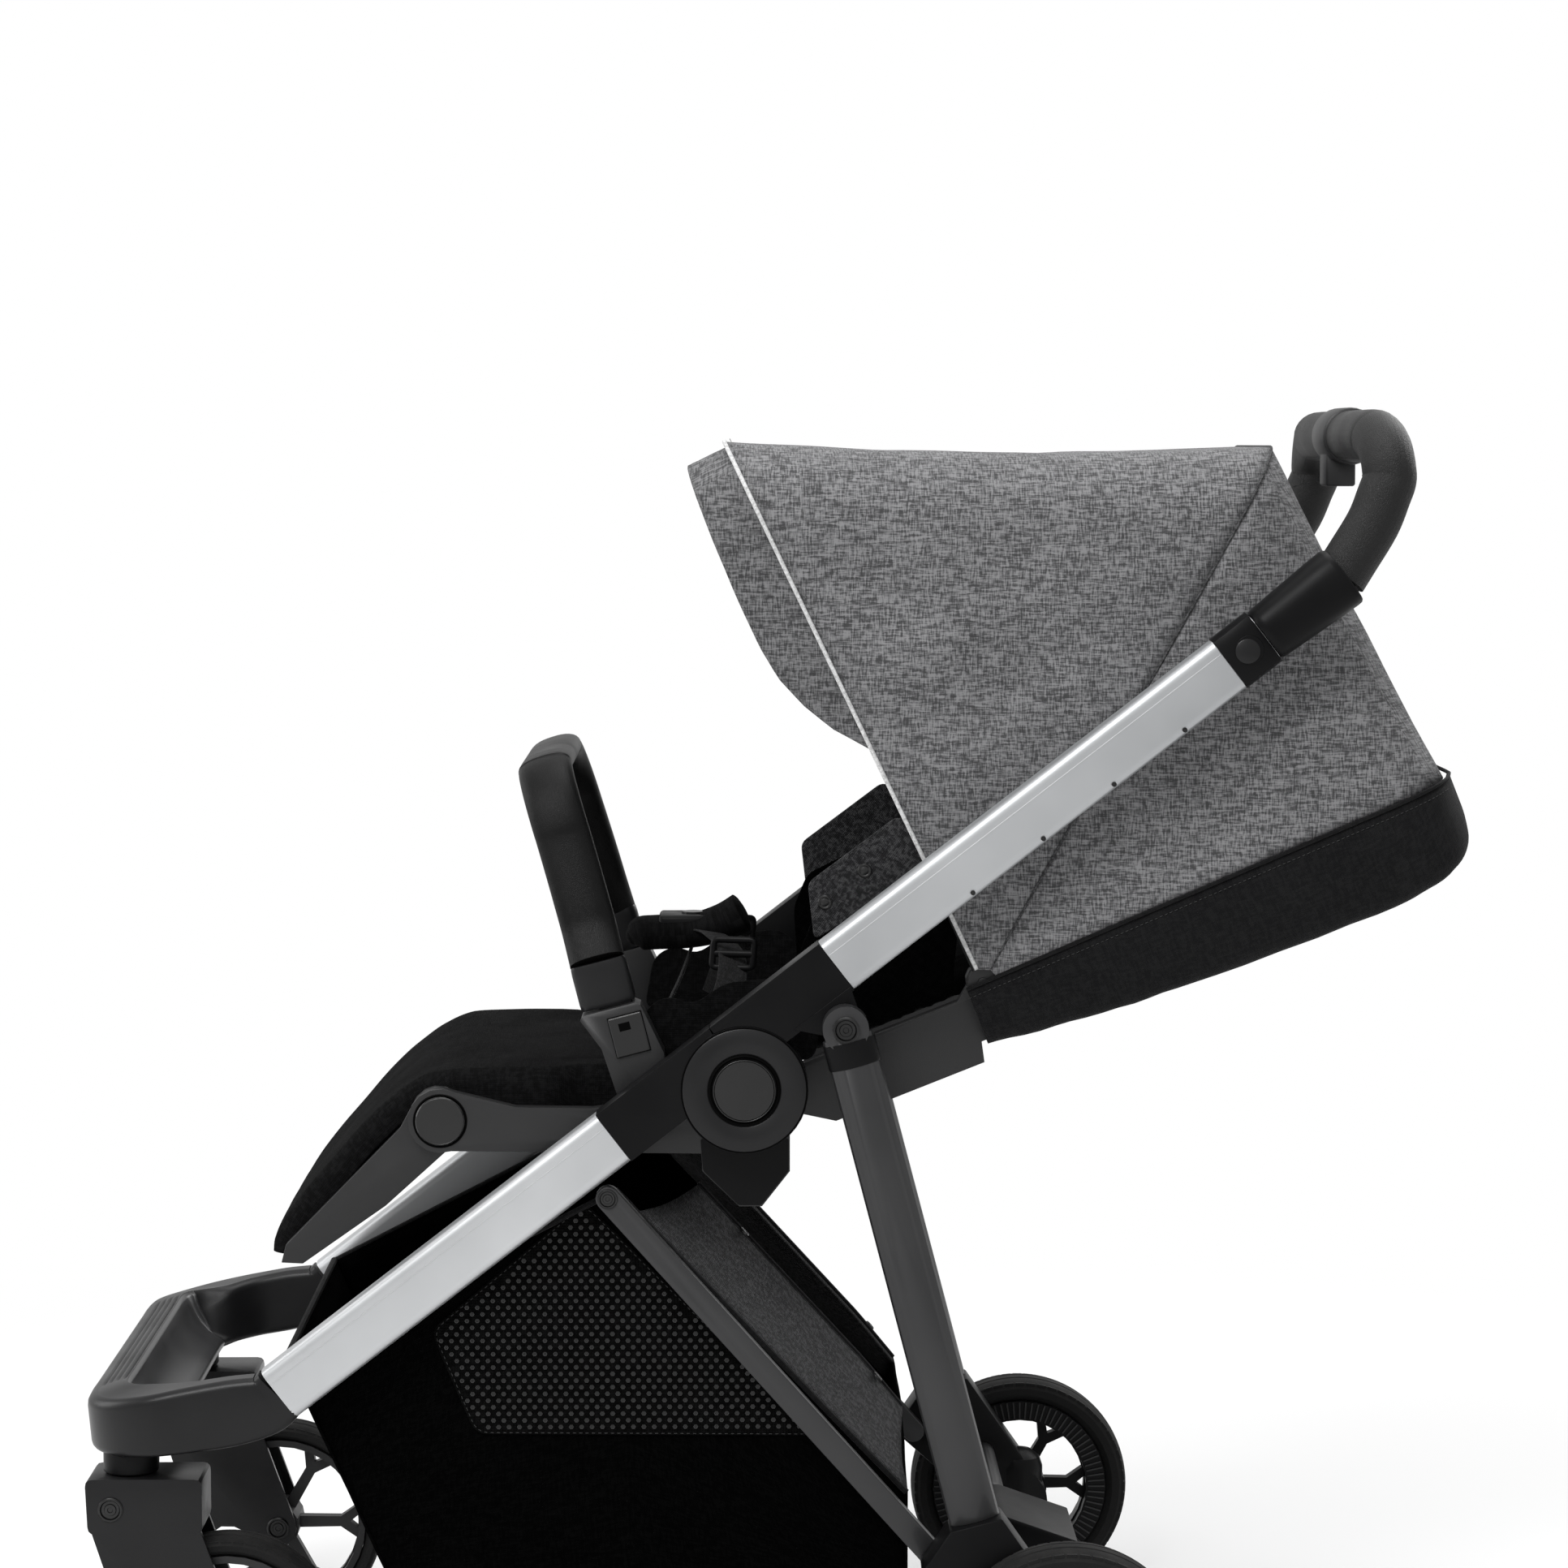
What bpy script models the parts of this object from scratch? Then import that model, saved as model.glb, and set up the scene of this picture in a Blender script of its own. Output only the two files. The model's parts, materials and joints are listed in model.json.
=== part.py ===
import bpy
import bmesh
from math import asin, atan2, cos, degrees, pi, radians, sin, tan
from mathutils import Matrix, Vector

# Pushchair with a folding frame, a reclining seat and a swivelling front.
# Metres and degrees. X points to the handle, Y to the child's right-hand side, Z up.
# Side-view points (x, z) are measured from the hub axis, on which the frame folds.
HUB_X = -0.0291
HUB_HEIGHT = 0.541
FIT = 0.0003

# Half widths across, each taken from the piece inside it
SEAT_PAD_HALF = 0.1655
PAD_GAP = 0.0005
LEG_REST_ARM = 0.014
SEAT_ARM = 0.0135
LEG_REST_INNER = SEAT_PAD_HALF + PAD_GAP
SEAT_ARM_INNER = LEG_REST_INNER + LEG_REST_ARM
SEAT_ARM_OUTER = SEAT_ARM_INNER + SEAT_ARM
SOCKET_OUTER = SEAT_ARM_OUTER + 0.0055
SOCKET_INNER = SOCKET_OUTER - 0.031
GRAB_PLANE = SOCKET_INNER + 0.011
GRAB_TOP_PLANE = GRAB_PLANE - 0.031
ADAPTER_INNER = SEAT_ARM_OUTER - 0.0285
RAIL_OUTER = ADAPTER_INNER - 0.003
RAIL_INNER = RAIL_OUTER - 0.015
BACK_PAD_HALF = RAIL_INNER - PAD_GAP
SHELL_HALF = RAIL_OUTER + 0.0155
CANOPY_HALF = SHELL_HALF
CHEEK_INNER = SEAT_ARM_OUTER + 0.0027
HUB_INNER = CHEEK_INNER + 0.0051
BOSS_INNER = HUB_INNER + 0.0067
HUB_OUTER = HUB_INNER + 0.0287
PIN_END = ADAPTER_INNER + 0.006
TUBE_PLANE = HUB_INNER + 0.0137
GRIP_PLANE = TUBE_PLANE - 0.010
STRUT_INNER = TUBE_PLANE - 0.006
LEG_INNER = HUB_OUTER + 0.002
FOOT_INNER = LEG_INNER - 0.0095
FOOT_OUTER = LEG_INNER + 0.030
REAR_WHEEL_PLANE = FOOT_OUTER + 0.028
FRONT_WHEEL_PLANE = TUBE_PLANE - 0.025
BASKET_HALF = TUBE_PLANE - 0.0145
BASKET_HEM_HALF = BASKET_HALF - 0.1105

# Main tubes, along one sloping line that passes above the hub axis
FRAME_ANGLE = 37.7
TUBE_OFFSET = 0.0325
TUBE_DEPTH = 0.0455
TUBE_WIDTH = 0.028
TUBE_WALL = 0.002
TUBE_CORNER = 0.009
LOWER_TUBE_START = -0.436
LOWER_TUBE_END = -0.104
UPPER_TUBE_START = 0.116
UPPER_TUBE_END = 0.500
PLUG_LENGTH = 0.030

# Hub joint
HUB_STEP = 0.0006
BOSS_RADIUS = 0.050
CHEEK_RADIUS = 0.045
SEAM_S = 0.008
CAP_RADIUS = 0.024
CAP_HEIGHT = 0.0035
PIN_RADIUS = 0.008

# Handle
COLLAR_LENGTH = 0.0345
COLLAR_DISC_RADIUS = 0.011
STEM_START = 0.250
STEM_WALL = 0.0018
STEM_CLEARANCE = 0.0004
SLEEVE_RADIUS_START = 0.022
SLEEVE_RADIUS_END = 0.0255
SLEEVE_LENGTH = 0.074
GRIP_RADIUS = 0.021
GRIP_TOP = (0.497, 0.508)
GRIP_CORNER = 0.055
RELEASE_SIZE = (0.024, 0.040, 0.028)
RELEASE_TRAVEL = 0.004

# Legs, feet and struts
LEG_TOP = (0.0785, 0.0505)
LEG_BOTTOM = (0.180, -0.337)
LEG_THICKNESS = 0.022
LEG_DEPTH = 0.040
LEG_WALL = 0.002
LEG_EYE_RADIUS = 0.018
LEG_PIN_RADIUS = 0.006
FOOT_PIVOT = (0.152, -0.377)
SUSPENSION_RADIUS = 0.0215
SUSPENSION_HEIGHT = 0.090
AXLE_TUBE_POINT = (0.215, -0.400)
AXLE_TUBE_RADIUS = 0.010
STRUT_TOP = (-0.107, -0.087)
STRUT_WIDTH = 0.019
STRUT_THICKNESS = 0.012
STRUT_PIN_RADIUS = 0.004
PEDAL_WIDTH = 0.110
PEDAL_REACH = 0.062

# Wheels
REAR_WHEEL = (0.251, -0.443)
REAR_WHEEL_RADIUS = 0.098
REAR_TYRE_WIDTH = 0.044
REAR_RIM_OUTER = 0.0785
REAR_RIM_OPENING = 0.061
REAR_BARREL_RADIUS = 0.024
REAR_BARREL_OUT = 0.018
FRONT_WHEEL = (-0.410, -0.4505)
FRONT_WHEEL_RADIUS = 0.0905
FRONT_TYRE_WIDTH = 0.040
FRONT_RIM_OUTER = 0.0757
FRONT_RIM_OPENING = 0.070
FRONT_BARREL_RADIUS = 0.018
RIM_SPOKES = 6
SPOKE_WIDTH = 0.009
SPOKE_THICKNESS = 0.010
WHEEL_STEPS = 32
AXLE_RADIUS = 0.006

# Casters and foot bar
SWIVEL_X = -0.486
SWIVEL_RADIUS = 0.009
SOCKET_RADIUS = 0.022
SOCKET_BOTTOM = -0.3095
CROWN_TOP = -0.310
CROWN_BOTTOM = -0.354
CROWN_FRONT = -0.519
CROWN_REAR = -0.427
FORK_GAP = 0.047
FORK_WALL = 0.005
BAR_Z = -0.267
BAR_FRONT = -0.5225
BAR_DEPTH = 0.066
BAR_HEIGHT = 0.050
TREAD_SLOPE = (0.0315, 0.038)

# Basket
BASKET_WALL = 0.003
BASKET_FLOOR = -0.427
BASKET_FRONT_TOP = (-0.362, -0.219)
BASKET_FRONT_BOTTOM_X = -0.267
BASKET_REAR_BOTTOM_X = 0.129
BASKET_TOP_FRONT = (-0.100, -0.084)
BASKET_SIDE_EDGE = [(0.129, -0.327), (0.071, -0.267), (-0.085, -0.102)]
BASKET_HEM = [(0.129, -0.2834), (0.097, -0.245), (-0.037, -0.099)]

# Seat
ADAPTER_RADIUS = 0.030
ADAPTER_BOTTOM = -0.098
LEG_REST_PIVOT = (-0.2395, -0.0297)
LEG_REST_BOSS = 0.0255
LEG_REST_END = (-0.358, -0.137)
LEG_REST_PIN = 0.006
KNEE_BUTTON_RADIUS = 0.0195
KNEE_BUTTON_HEIGHT = 0.003
SEAT_PAN_Z = -0.040
SEAT_PAN_START = 0.032
SEAT_PAN_THICKNESS = 0.004
SEAT_PAD_TOP = 0.006
SEAT_PAD_REAR = -0.038
SEAT_PAD_FRONT = -0.262

# Grab bar, which slides up out of its sockets
BAR_LEAN = 14.5
SOCKET_TOP = (-0.1065, 0.060)
SOCKET_OUTLINE = [(-0.1285, 0.0500), (-0.1270, 0.0540), (-0.0860, 0.0646), (-0.0815, 0.0630),
                  (-0.0630, 0.0250), (-0.0600, -0.0230), (-0.0950, -0.0230), (-0.1120, 0.0280)]
SOCKET_DEPTH = 0.042
GRAB_HEIGHT = 0.199
GRAB_WIDTH = 0.044
GRAB_THICKNESS = 0.022
GRAB_CORNER = 0.055
GRAB_BEND = 0.006
TENON_WIDTH = 0.026
TENON_THICKNESS = 0.015
TENON_SHIFT = 0.005
GRAB_BUTTON_SIZE = (0.027, 0.006, 0.032)
GRAB_BUTTON_POINT = (-0.0904, 0.0396)

# Backrest, along a line through the hub axis
BACK_ANGLE = 21.7
RAIL_LOW = -0.0437
RAIL_SKIRT = (0.055, 0.182, -0.060)
RAIL_HIGH = -0.007
RAIL_END = 0.560
RAIL_EYE = 0.020
STUB_RADIUS = 0.010
SHELL_WALL = 0.0025
SHELL_CORNER = 0.050
SHELL_STATIONS = [(0.190, 0.0, -0.0470), (0.245, 0.0, -0.0540), (0.310, 0.0, -0.0600),
                  (0.378, 0.0, -0.0635), (0.515, 0.0, -0.0655), (0.560, 0.0, -0.0620),
                  (0.590, 0.0085, -0.0540), (0.606, 0.0265, -0.0430), (0.613, 0.0505, -0.0300)]
SHELL_ROUND = 5
SHELL_TOP = 0.034
LEVER_PIVOT = (0.6153, 0.004)
LEVER_SIZE = (0.003, 0.070, 0.026)
SHELL_EDGE = 0.010
BACK_PAD_TOP = 0.018
BACK_PAD_FRONT = 0.032
BACK_PAD_REAR = 0.536
BACK_PAD_STEP = (0.200, 0.262)
BACK_PAD_BOTTOM = -0.0472

# Canopy, whose two bows turn on one pivot on the backrest rails
BOW_PIVOT = (0.189, 0.077)
FRONT_BOW_ANGLE = 115.6
FRONT_BOW_BEHIND = 1.0
FRONT_BOW_LENGTH = 0.473
REAR_BOW_ANGLE = 61.2
REAR_BOW_LENGTH = 0.482
HEM_ANGLE = 23.3
HEM_LENGTH = 0.403
FABRIC = 0.0025
CANOPY_CORNER = 0.070
BOW_WIDTH = 0.004
BOW_DEPTH = 0.008
BOW_EYE_RADIUS = 0.012
BOW_PIN_RADIUS = 0.004
BOW_GAP = 0.0005
REAR_BOW_UNDER = 0.0062
HEM_START = 0.016
SEAM_GAP = 0.0012
VISOR_START = 0.215
VISOR_REACH = [0.003, 0.028, 0.040, 0.044, 0.043, 0.042, 0.040, 0.038, 0.036, 0.034, 0.033, 0.032]

# Harness
BUCKLE_POINT = (-0.042, 0.104)
BUCKLE_SIZE = (0.056, 0.046, 0.018)
BUCKLE_BUTTON_RADIUS = 0.009
STRAP_WIDTH = 0.030
STRAP_THICKNESS = 0.003

COLOURS = {
    "anodised aluminium": ((0.62, 0.63, 0.65), 0.35, 0.9),
    "black plastic": ((0.022, 0.022, 0.024), 0.5, 0.0),
    "black metal": ((0.03, 0.03, 0.032), 0.4, 0.6),
    "grip leather": ((0.012, 0.012, 0.013), 0.6, 0.0),
    "rubber": ((0.02, 0.02, 0.021), 0.8, 0.0),
    "grey fabric": ((0.17, 0.17, 0.175), 0.95, 0.0),
    "black fabric": ((0.012, 0.012, 0.013), 0.95, 0.0),
}

Y_AXIS = Vector((0, 1, 0))
SIDES = {"left": -1, "right": 1}


def new_collection(name):
    made = bpy.data.collections.new(name)
    bpy.context.scene.collection.children.link(made)
    return made


for leftover in list(bpy.data.objects):
    bpy.data.objects.remove(leftover, do_unlink=True)
PARTS = new_collection("pushchair")
CUTTERS = new_collection("cutters")
CARRIERS = {}


def paint(name):
    made = bpy.data.materials.get(name)
    if made:
        return made
    colour, roughness, metallic = COLOURS[name]
    made = bpy.data.materials.new(name)
    made.use_nodes = True
    shader = made.node_tree.nodes["Principled BSDF"]
    shader.inputs["Base Color"].default_value = (*colour, 1)
    shader.inputs["Roughness"].default_value = roughness
    shader.inputs["Metallic"].default_value = metallic
    return made


def add_carrier(name, point, parent=None):
    """An empty on a joint's axis, which carries the pieces that turn or slide there."""
    empty = bpy.data.objects.new(name + " axis", None)
    PARTS.objects.link(empty)
    spot = Vector(point)
    if parent:
        empty.parent = CARRIERS[parent][0]
        empty.location = spot - CARRIERS[parent][1]
    else:
        empty.location = Vector((HUB_X, 0, HUB_HEIGHT)) + spot
    CARRIERS[name] = (empty, spot)


def as_object(name, shape, carrier, home):
    empty, spot = CARRIERS[carrier]
    bmesh.ops.translate(shape, verts=shape.verts, vec=-spot)
    mesh = bpy.data.meshes.new(name)
    shape.to_mesh(mesh)
    shape.free()
    made = bpy.data.objects.new(name, mesh)
    home.objects.link(made)
    made.parent = empty
    return made


def add(name, shape, colour, carrier, bevel=None):
    """A part of the pushchair: its mesh, its colour and the empty that carries it."""
    part = as_object(name, shape, carrier, PARTS)
    part.data.materials.append(paint(colour))
    part.data.shade_smooth()
    part.data.set_sharp_from_angle(angle=radians(35))
    part["carrier"] = carrier
    if bevel:
        edge = part.modifiers.new("soft edges", "BEVEL")
        edge.width = bevel
        edge.segments = 2
        edge.limit_method = "ANGLE"
        edge.angle_limit = radians(50)
    return part


def combine(part, shape, operation):
    tool = as_object(part.name + " tool", shape, part["carrier"], CUTTERS)
    tool.hide_render = True
    tool.display_type = "WIRE"
    step = part.modifiers.new(operation.lower(), "BOOLEAN")
    step.operation = operation
    step.solver = "EXACT"
    step.object = tool


def cut(part, *shapes):
    for shape in shapes:
        combine(part, shape, "DIFFERENCE")


def join(part, *shapes):
    for shape in shapes:
        combine(part, shape, "UNION")


def turn(point, angle):
    """A side-view point turned about the hub axis, anticlockwise as seen from the left."""
    c, s = cos(radians(angle)), sin(radians(angle))
    return (point[0] * c - point[1] * s, point[0] * s + point[1] * c)


def on_tube(s, n=TUBE_OFFSET):
    return turn((s, n), FRAME_ANGLE)


def on_back(u, w):
    return turn((u, w), BACK_ANGLE)


def at(point, y=0.0):
    return Vector((point[0], y, point[1]))


def arc(centre, radius, start, end, steps):
    angles = [radians(start + (end - start) * k / steps) for k in range(steps + 1)]
    return [(centre[0] + radius * cos(a), centre[1] + radius * sin(a)) for a in angles]


def rounded(points, radius, steps=3):
    """The same outline with every corner cut back to a round one."""
    result = []
    for k, point in enumerate(points):
        corner = Vector(point)
        before = Vector(points[k - 1]) - corner
        after = Vector(points[(k + 1) % len(points)]) - corner
        reach = min(radius, 0.45 * before.length, 0.45 * after.length)
        first = corner + before.normalized() * reach
        last = corner + after.normalized() * reach
        for step in range(steps + 1):
            t = step / steps
            curve = first * (1 - t) ** 2 + corner * 2 * t * (1 - t) + last * t ** 2
            result.append((curve.x, curve.y))
    return result


def mesh_of(source):
    """The evaluated mesh of a helper object, with its doubles merged, and the helper removed."""
    bpy.context.view_layer.update()
    graph = bpy.context.evaluated_depsgraph_get()
    mesh = bpy.data.meshes.new_from_object(source.evaluated_get(graph))
    shape = bmesh.new()
    shape.from_mesh(mesh)
    bmesh.ops.remove_doubles(shape, verts=shape.verts, dist=0.00001)
    bmesh.ops.recalc_face_normals(shape, faces=shape.faces)
    bpy.data.objects.remove(source)
    bpy.data.meshes.remove(mesh)
    return shape


def plate(outline, low, high, holes=()):
    """A side-view outline, with any holes, made solid from y = low to y = high."""
    curve = bpy.data.curves.new("outline", "CURVE")
    curve.dimensions = "2D"
    curve.fill_mode = "BOTH"
    curve.extrude = abs(high - low) / 2
    for loop in (outline, *holes):
        spline = curve.splines.new("POLY")
        spline.points.add(len(loop) - 1)
        for knot, (x, z) in zip(spline.points, loop):
            knot.co = (x, z, 0, 1)
        spline.use_cyclic_u = True
    source = bpy.data.objects.new("outline", curve)
    CUTTERS.objects.link(source)
    shape = mesh_of(source)
    bpy.data.curves.remove(curve)
    upright = Matrix.Translation((0, (low + high) / 2, 0)) @ Matrix.Rotation(pi / 2, 4, "X")
    shape.transform(upright)
    return shape


def turned(profile, centre, direction, steps=24):
    """A profile of (radius, height) points, turned about a line through the centre."""
    mesh = bpy.data.meshes.new("profile")
    last = len(profile) - 1
    edges = [(k, k + 1) for k in range(last)]
    if profile[0][0] > 0:
        edges.append((last, 0))
    mesh.from_pydata([(r, 0, h) for r, h in profile], edges, [])
    source = bpy.data.objects.new("profile", mesh)
    CUTTERS.objects.link(source)
    screw = source.modifiers.new("turn", "SCREW")
    screw.steps = steps
    screw.render_steps = steps
    screw.use_merge_vertices = True
    screw.merge_threshold = 0.00001
    shape = mesh_of(source)
    bpy.data.meshes.remove(mesh)
    facing = Vector((0, 0, 1)).rotation_difference(Vector(direction)).to_matrix().to_4x4()
    shape.transform(Matrix.Translation(Vector(centre)) @ facing)
    return shape


def rod(start, end, radius, steps=16):
    """A round bar from one point to another."""
    start, end = Vector(start), Vector(end)
    facing = Vector((0, 0, 1)).rotation_difference(end - start).to_matrix().to_4x4()
    shape = bmesh.new()
    bmesh.ops.create_cone(shape, cap_ends=True, segments=steps, radius1=radius, radius2=radius,
                          depth=(end - start).length,
                          matrix=Matrix.Translation((start + end) / 2) @ facing)
    return shape


def block(centre, size, angle=0.0):
    """A box, leaning by an angle in the side view, anticlockwise as seen from the left."""
    shape = bmesh.new()
    lean = Matrix.Rotation(radians(-angle), 4, "Y")
    scale = Matrix.Diagonal((*size, 1))
    bmesh.ops.create_cube(shape, size=1, matrix=Matrix.Translation(Vector(centre)) @ lean @ scale)
    return shape


def box_section(width, height, corner, steps=2):
    half_w, half_h = width / 2, height / 2
    corners = [(-half_w, -half_h), (half_w, -half_h), (half_w, half_h), (-half_w, half_h)]
    return rounded(corners, corner, steps)


def oval_section(width, height, steps=16):
    angles = [2 * pi * k / steps for k in range(steps)]
    return [(width / 2 * cos(a), height / 2 * sin(a)) for a in angles]


def loft(path, sections, up):
    """A solid through sections along a path. Sections are (across, up) points."""
    shape = bmesh.new()
    rings = []
    last = len(path) - 1
    for k, point in enumerate(path):
        tangent = (path[min(k + 1, last)] - path[max(k - 1, 0)]).normalized()
        across = tangent.cross(up).normalized()
        rise = across.cross(tangent)
        rings.append([shape.verts.new(point + across * a + rise * b) for a, b in sections[k]])
    count = len(sections[0])
    for near, far in zip(rings, rings[1:]):
        for k in range(count):
            follow = (k + 1) % count
            shape.faces.new((near[k], near[follow], far[follow], far[k]))
    shape.faces.new(rings[0])
    shape.faces.new(rings[-1])
    bmesh.ops.recalc_face_normals(shape, faces=shape.faces)
    return shape


def tube_bar(start, end, side, shrink=0.0, wall=0.0):
    """A length of the main tube's section, smaller all round by shrink and the wall."""
    less = 2 * (shrink + wall)
    section = box_section(TUBE_WIDTH - less, TUBE_DEPTH - less, TUBE_CORNER - less / 2)
    path = [at(on_tube(start), side * TUBE_PLANE), at(on_tube(end), side * TUBE_PLANE)]
    return loft(path, [section, section], at(turn((0, 1), FRAME_ANGLE)))


def between(side, low, high):
    """The y range of a layer on one side, in order."""
    return sorted((side * low, side * high))


def bow_line(angle, length, half, corner, start, arm_steps=2, steps=5):
    """Half of a bow: up its arm from the pivot, round the corner and to the middle."""
    direction = (cos(radians(angle)), sin(radians(angle)))
    shoulder = length - corner
    flat = [(start + (shoulder - start) * k / arm_steps, half) for k in range(arm_steps)]
    flat += [(shoulder + corner * sin(radians(90 * k / steps)),
              half - corner + corner * cos(radians(90 * k / steps))) for k in range(steps + 1)]
    flat.append((length, (half - corner) / 2))
    flat.append((length, 0.0))
    return [Vector((BOW_PIVOT[0] + direction[0] * r, y, BOW_PIVOT[1] + direction[1] * r))
            for r, y in flat]


def whole_bow(half_line):
    mirrored = [Vector((p.x, -p.y, p.z)) for p in half_line]
    return mirrored[:-1] + list(reversed(half_line))


def add_main_frame():
    for name, side in SIDES.items():
        tube = add("lower_tube_" + name, tube_bar(LOWER_TUBE_START, LOWER_TUBE_END, side),
                   "anodised aluminium", "chassis")
        cut(tube, tube_bar(LOWER_TUBE_START - PLUG_LENGTH, LOWER_TUBE_END + PLUG_LENGTH, side,
                           wall=TUBE_WALL))
        add_strut_ear(tube, side)
        tube = add("upper_tube_" + name, tube_bar(UPPER_TUBE_START, UPPER_TUBE_END, side),
                   "anodised aluminium", "fold")
        cut(tube, tube_bar(UPPER_TUBE_START - PLUG_LENGTH, UPPER_TUBE_END + PLUG_LENGTH, side,
                           wall=TUBE_WALL))
        add_hub(name, side)


def add_strut_ear(tube, side):
    """The ear under a lower tube and the pin on which a strut turns."""
    s_top = on_strut_line()
    low = TUBE_PLANE - TUBE_WIDTH / 2
    ear = [on_tube(s_top - 0.016, TUBE_OFFSET - TUBE_DEPTH / 2 + TUBE_WALL * 0.7),
           on_tube(s_top + 0.016, TUBE_OFFSET - TUBE_DEPTH / 2 + TUBE_WALL * 0.7)]
    foot = arc(STRUT_TOP, STRUT_WIDTH / 2, FRAME_ANGLE, FRAME_ANGLE - 180, 6)
    inner, outer = low + FIT, STRUT_INNER - FIT
    join(tube, plate([ear[0], ear[1], *foot], *between(side, inner, outer)))
    pin_end = STRUT_INNER + STRUT_THICKNESS + FIT
    join(tube, rod(at(STRUT_TOP, side * (outer - 0.002)), at(STRUT_TOP, side * pin_end),
                   STRUT_PIN_RADIUS, 12))


def on_strut_line():
    """How far along the main tube the strut's top pivot lies."""
    return turn(STRUT_TOP, -FRAME_ANGLE)[0]


def add_hub(name, side):
    low_n = TUBE_OFFSET - TUBE_DEPTH / 2
    high_n = TUBE_OFFSET + TUBE_DEPTH / 2
    outer = between(side, HUB_INNER, HUB_OUTER - HUB_STEP)
    arm = [on_tube(LOWER_TUBE_END + FIT, low_n), on_tube(-BOSS_RADIUS * 0.8, low_n),
           on_tube(0, 0), on_tube(SEAM_S, high_n), on_tube(LOWER_TUBE_END + FIT, high_n)]
    lower = add("lower_hub_" + name, plate(arm, *outer), "black plastic", "chassis")
    join(lower, rod(at((0, 0), side * BOSS_INNER), at((0, 0), side * HUB_OUTER),
                    BOSS_RADIUS, 40))
    cut(lower, rod(at((0, 0), side * (CHEEK_INNER - 0.01)),
                   at((0, 0), side * (BOSS_INNER + FIT)), CHEEK_RADIUS + FIT, 36))
    join(lower, tube_bar(LOWER_TUBE_END - PLUG_LENGTH + FIT, LOWER_TUBE_END + 0.004, side,
                         FIT, TUBE_WALL))
    bore = PIN_RADIUS + FIT
    inside, outside = CHEEK_INNER - 0.01, HUB_OUTER + 0.01
    cut(lower, rod(at((0, 0), side * inside), at((0, 0), side * outside), bore))

    arm = [on_tube(SEAM_S + 2 * FIT, low_n), on_tube(UPPER_TUBE_START - FIT, low_n),
           on_tube(UPPER_TUBE_START - FIT, high_n), on_tube(SEAM_S + 2 * FIT, high_n)]
    upper = add("upper_hub_" + name, plate(arm, *outer), "black plastic", "fold")
    cut(upper, rod(at((0, 0), side * (BOSS_INNER - FIT)), at((0, 0), side * outside),
                   BOSS_RADIUS + FIT, 40))
    join(upper, rod(at((0, 0), side * CHEEK_INNER), at((0, 0), side * (BOSS_INNER - 2 * FIT)),
                    CHEEK_RADIUS, 36))
    lug = [on_tube(0.060, low_n + 0.004), *arc(LEG_TOP, LEG_EYE_RADIUS * 0.9, 210, 345, 6),
           on_tube(UPPER_TUBE_START - 0.001, low_n + 0.004)]
    join(upper, plate(lug, *between(side, HUB_INNER + HUB_STEP, HUB_OUTER + HUB_STEP)))
    join(upper, tube_bar(UPPER_TUBE_START - 0.004, UPPER_TUBE_START + PLUG_LENGTH, side,
                         FIT, TUBE_WALL))
    cut(upper, rod(at((0, 0), side * inside), at((0, 0), side * outside), bore),
        rod(at(LEG_TOP, side * inside), at(LEG_TOP, side * outside), LEG_PIN_RADIUS + FIT, 16))

    cap_face = HUB_OUTER + FIT
    profile = [(0, cap_face + CAP_HEIGHT), (CAP_RADIUS - 0.001, cap_face + CAP_HEIGHT),
               (CAP_RADIUS, cap_face + CAP_HEIGHT - 0.001), (CAP_RADIUS, cap_face),
               (PIN_RADIUS, cap_face), (PIN_RADIUS, PIN_END), (0, PIN_END)]
    add("hub_pin_" + name, turned(profile, (0, 0, 0), (0, side, 0), 32), "black plastic",
        "chassis")


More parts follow.
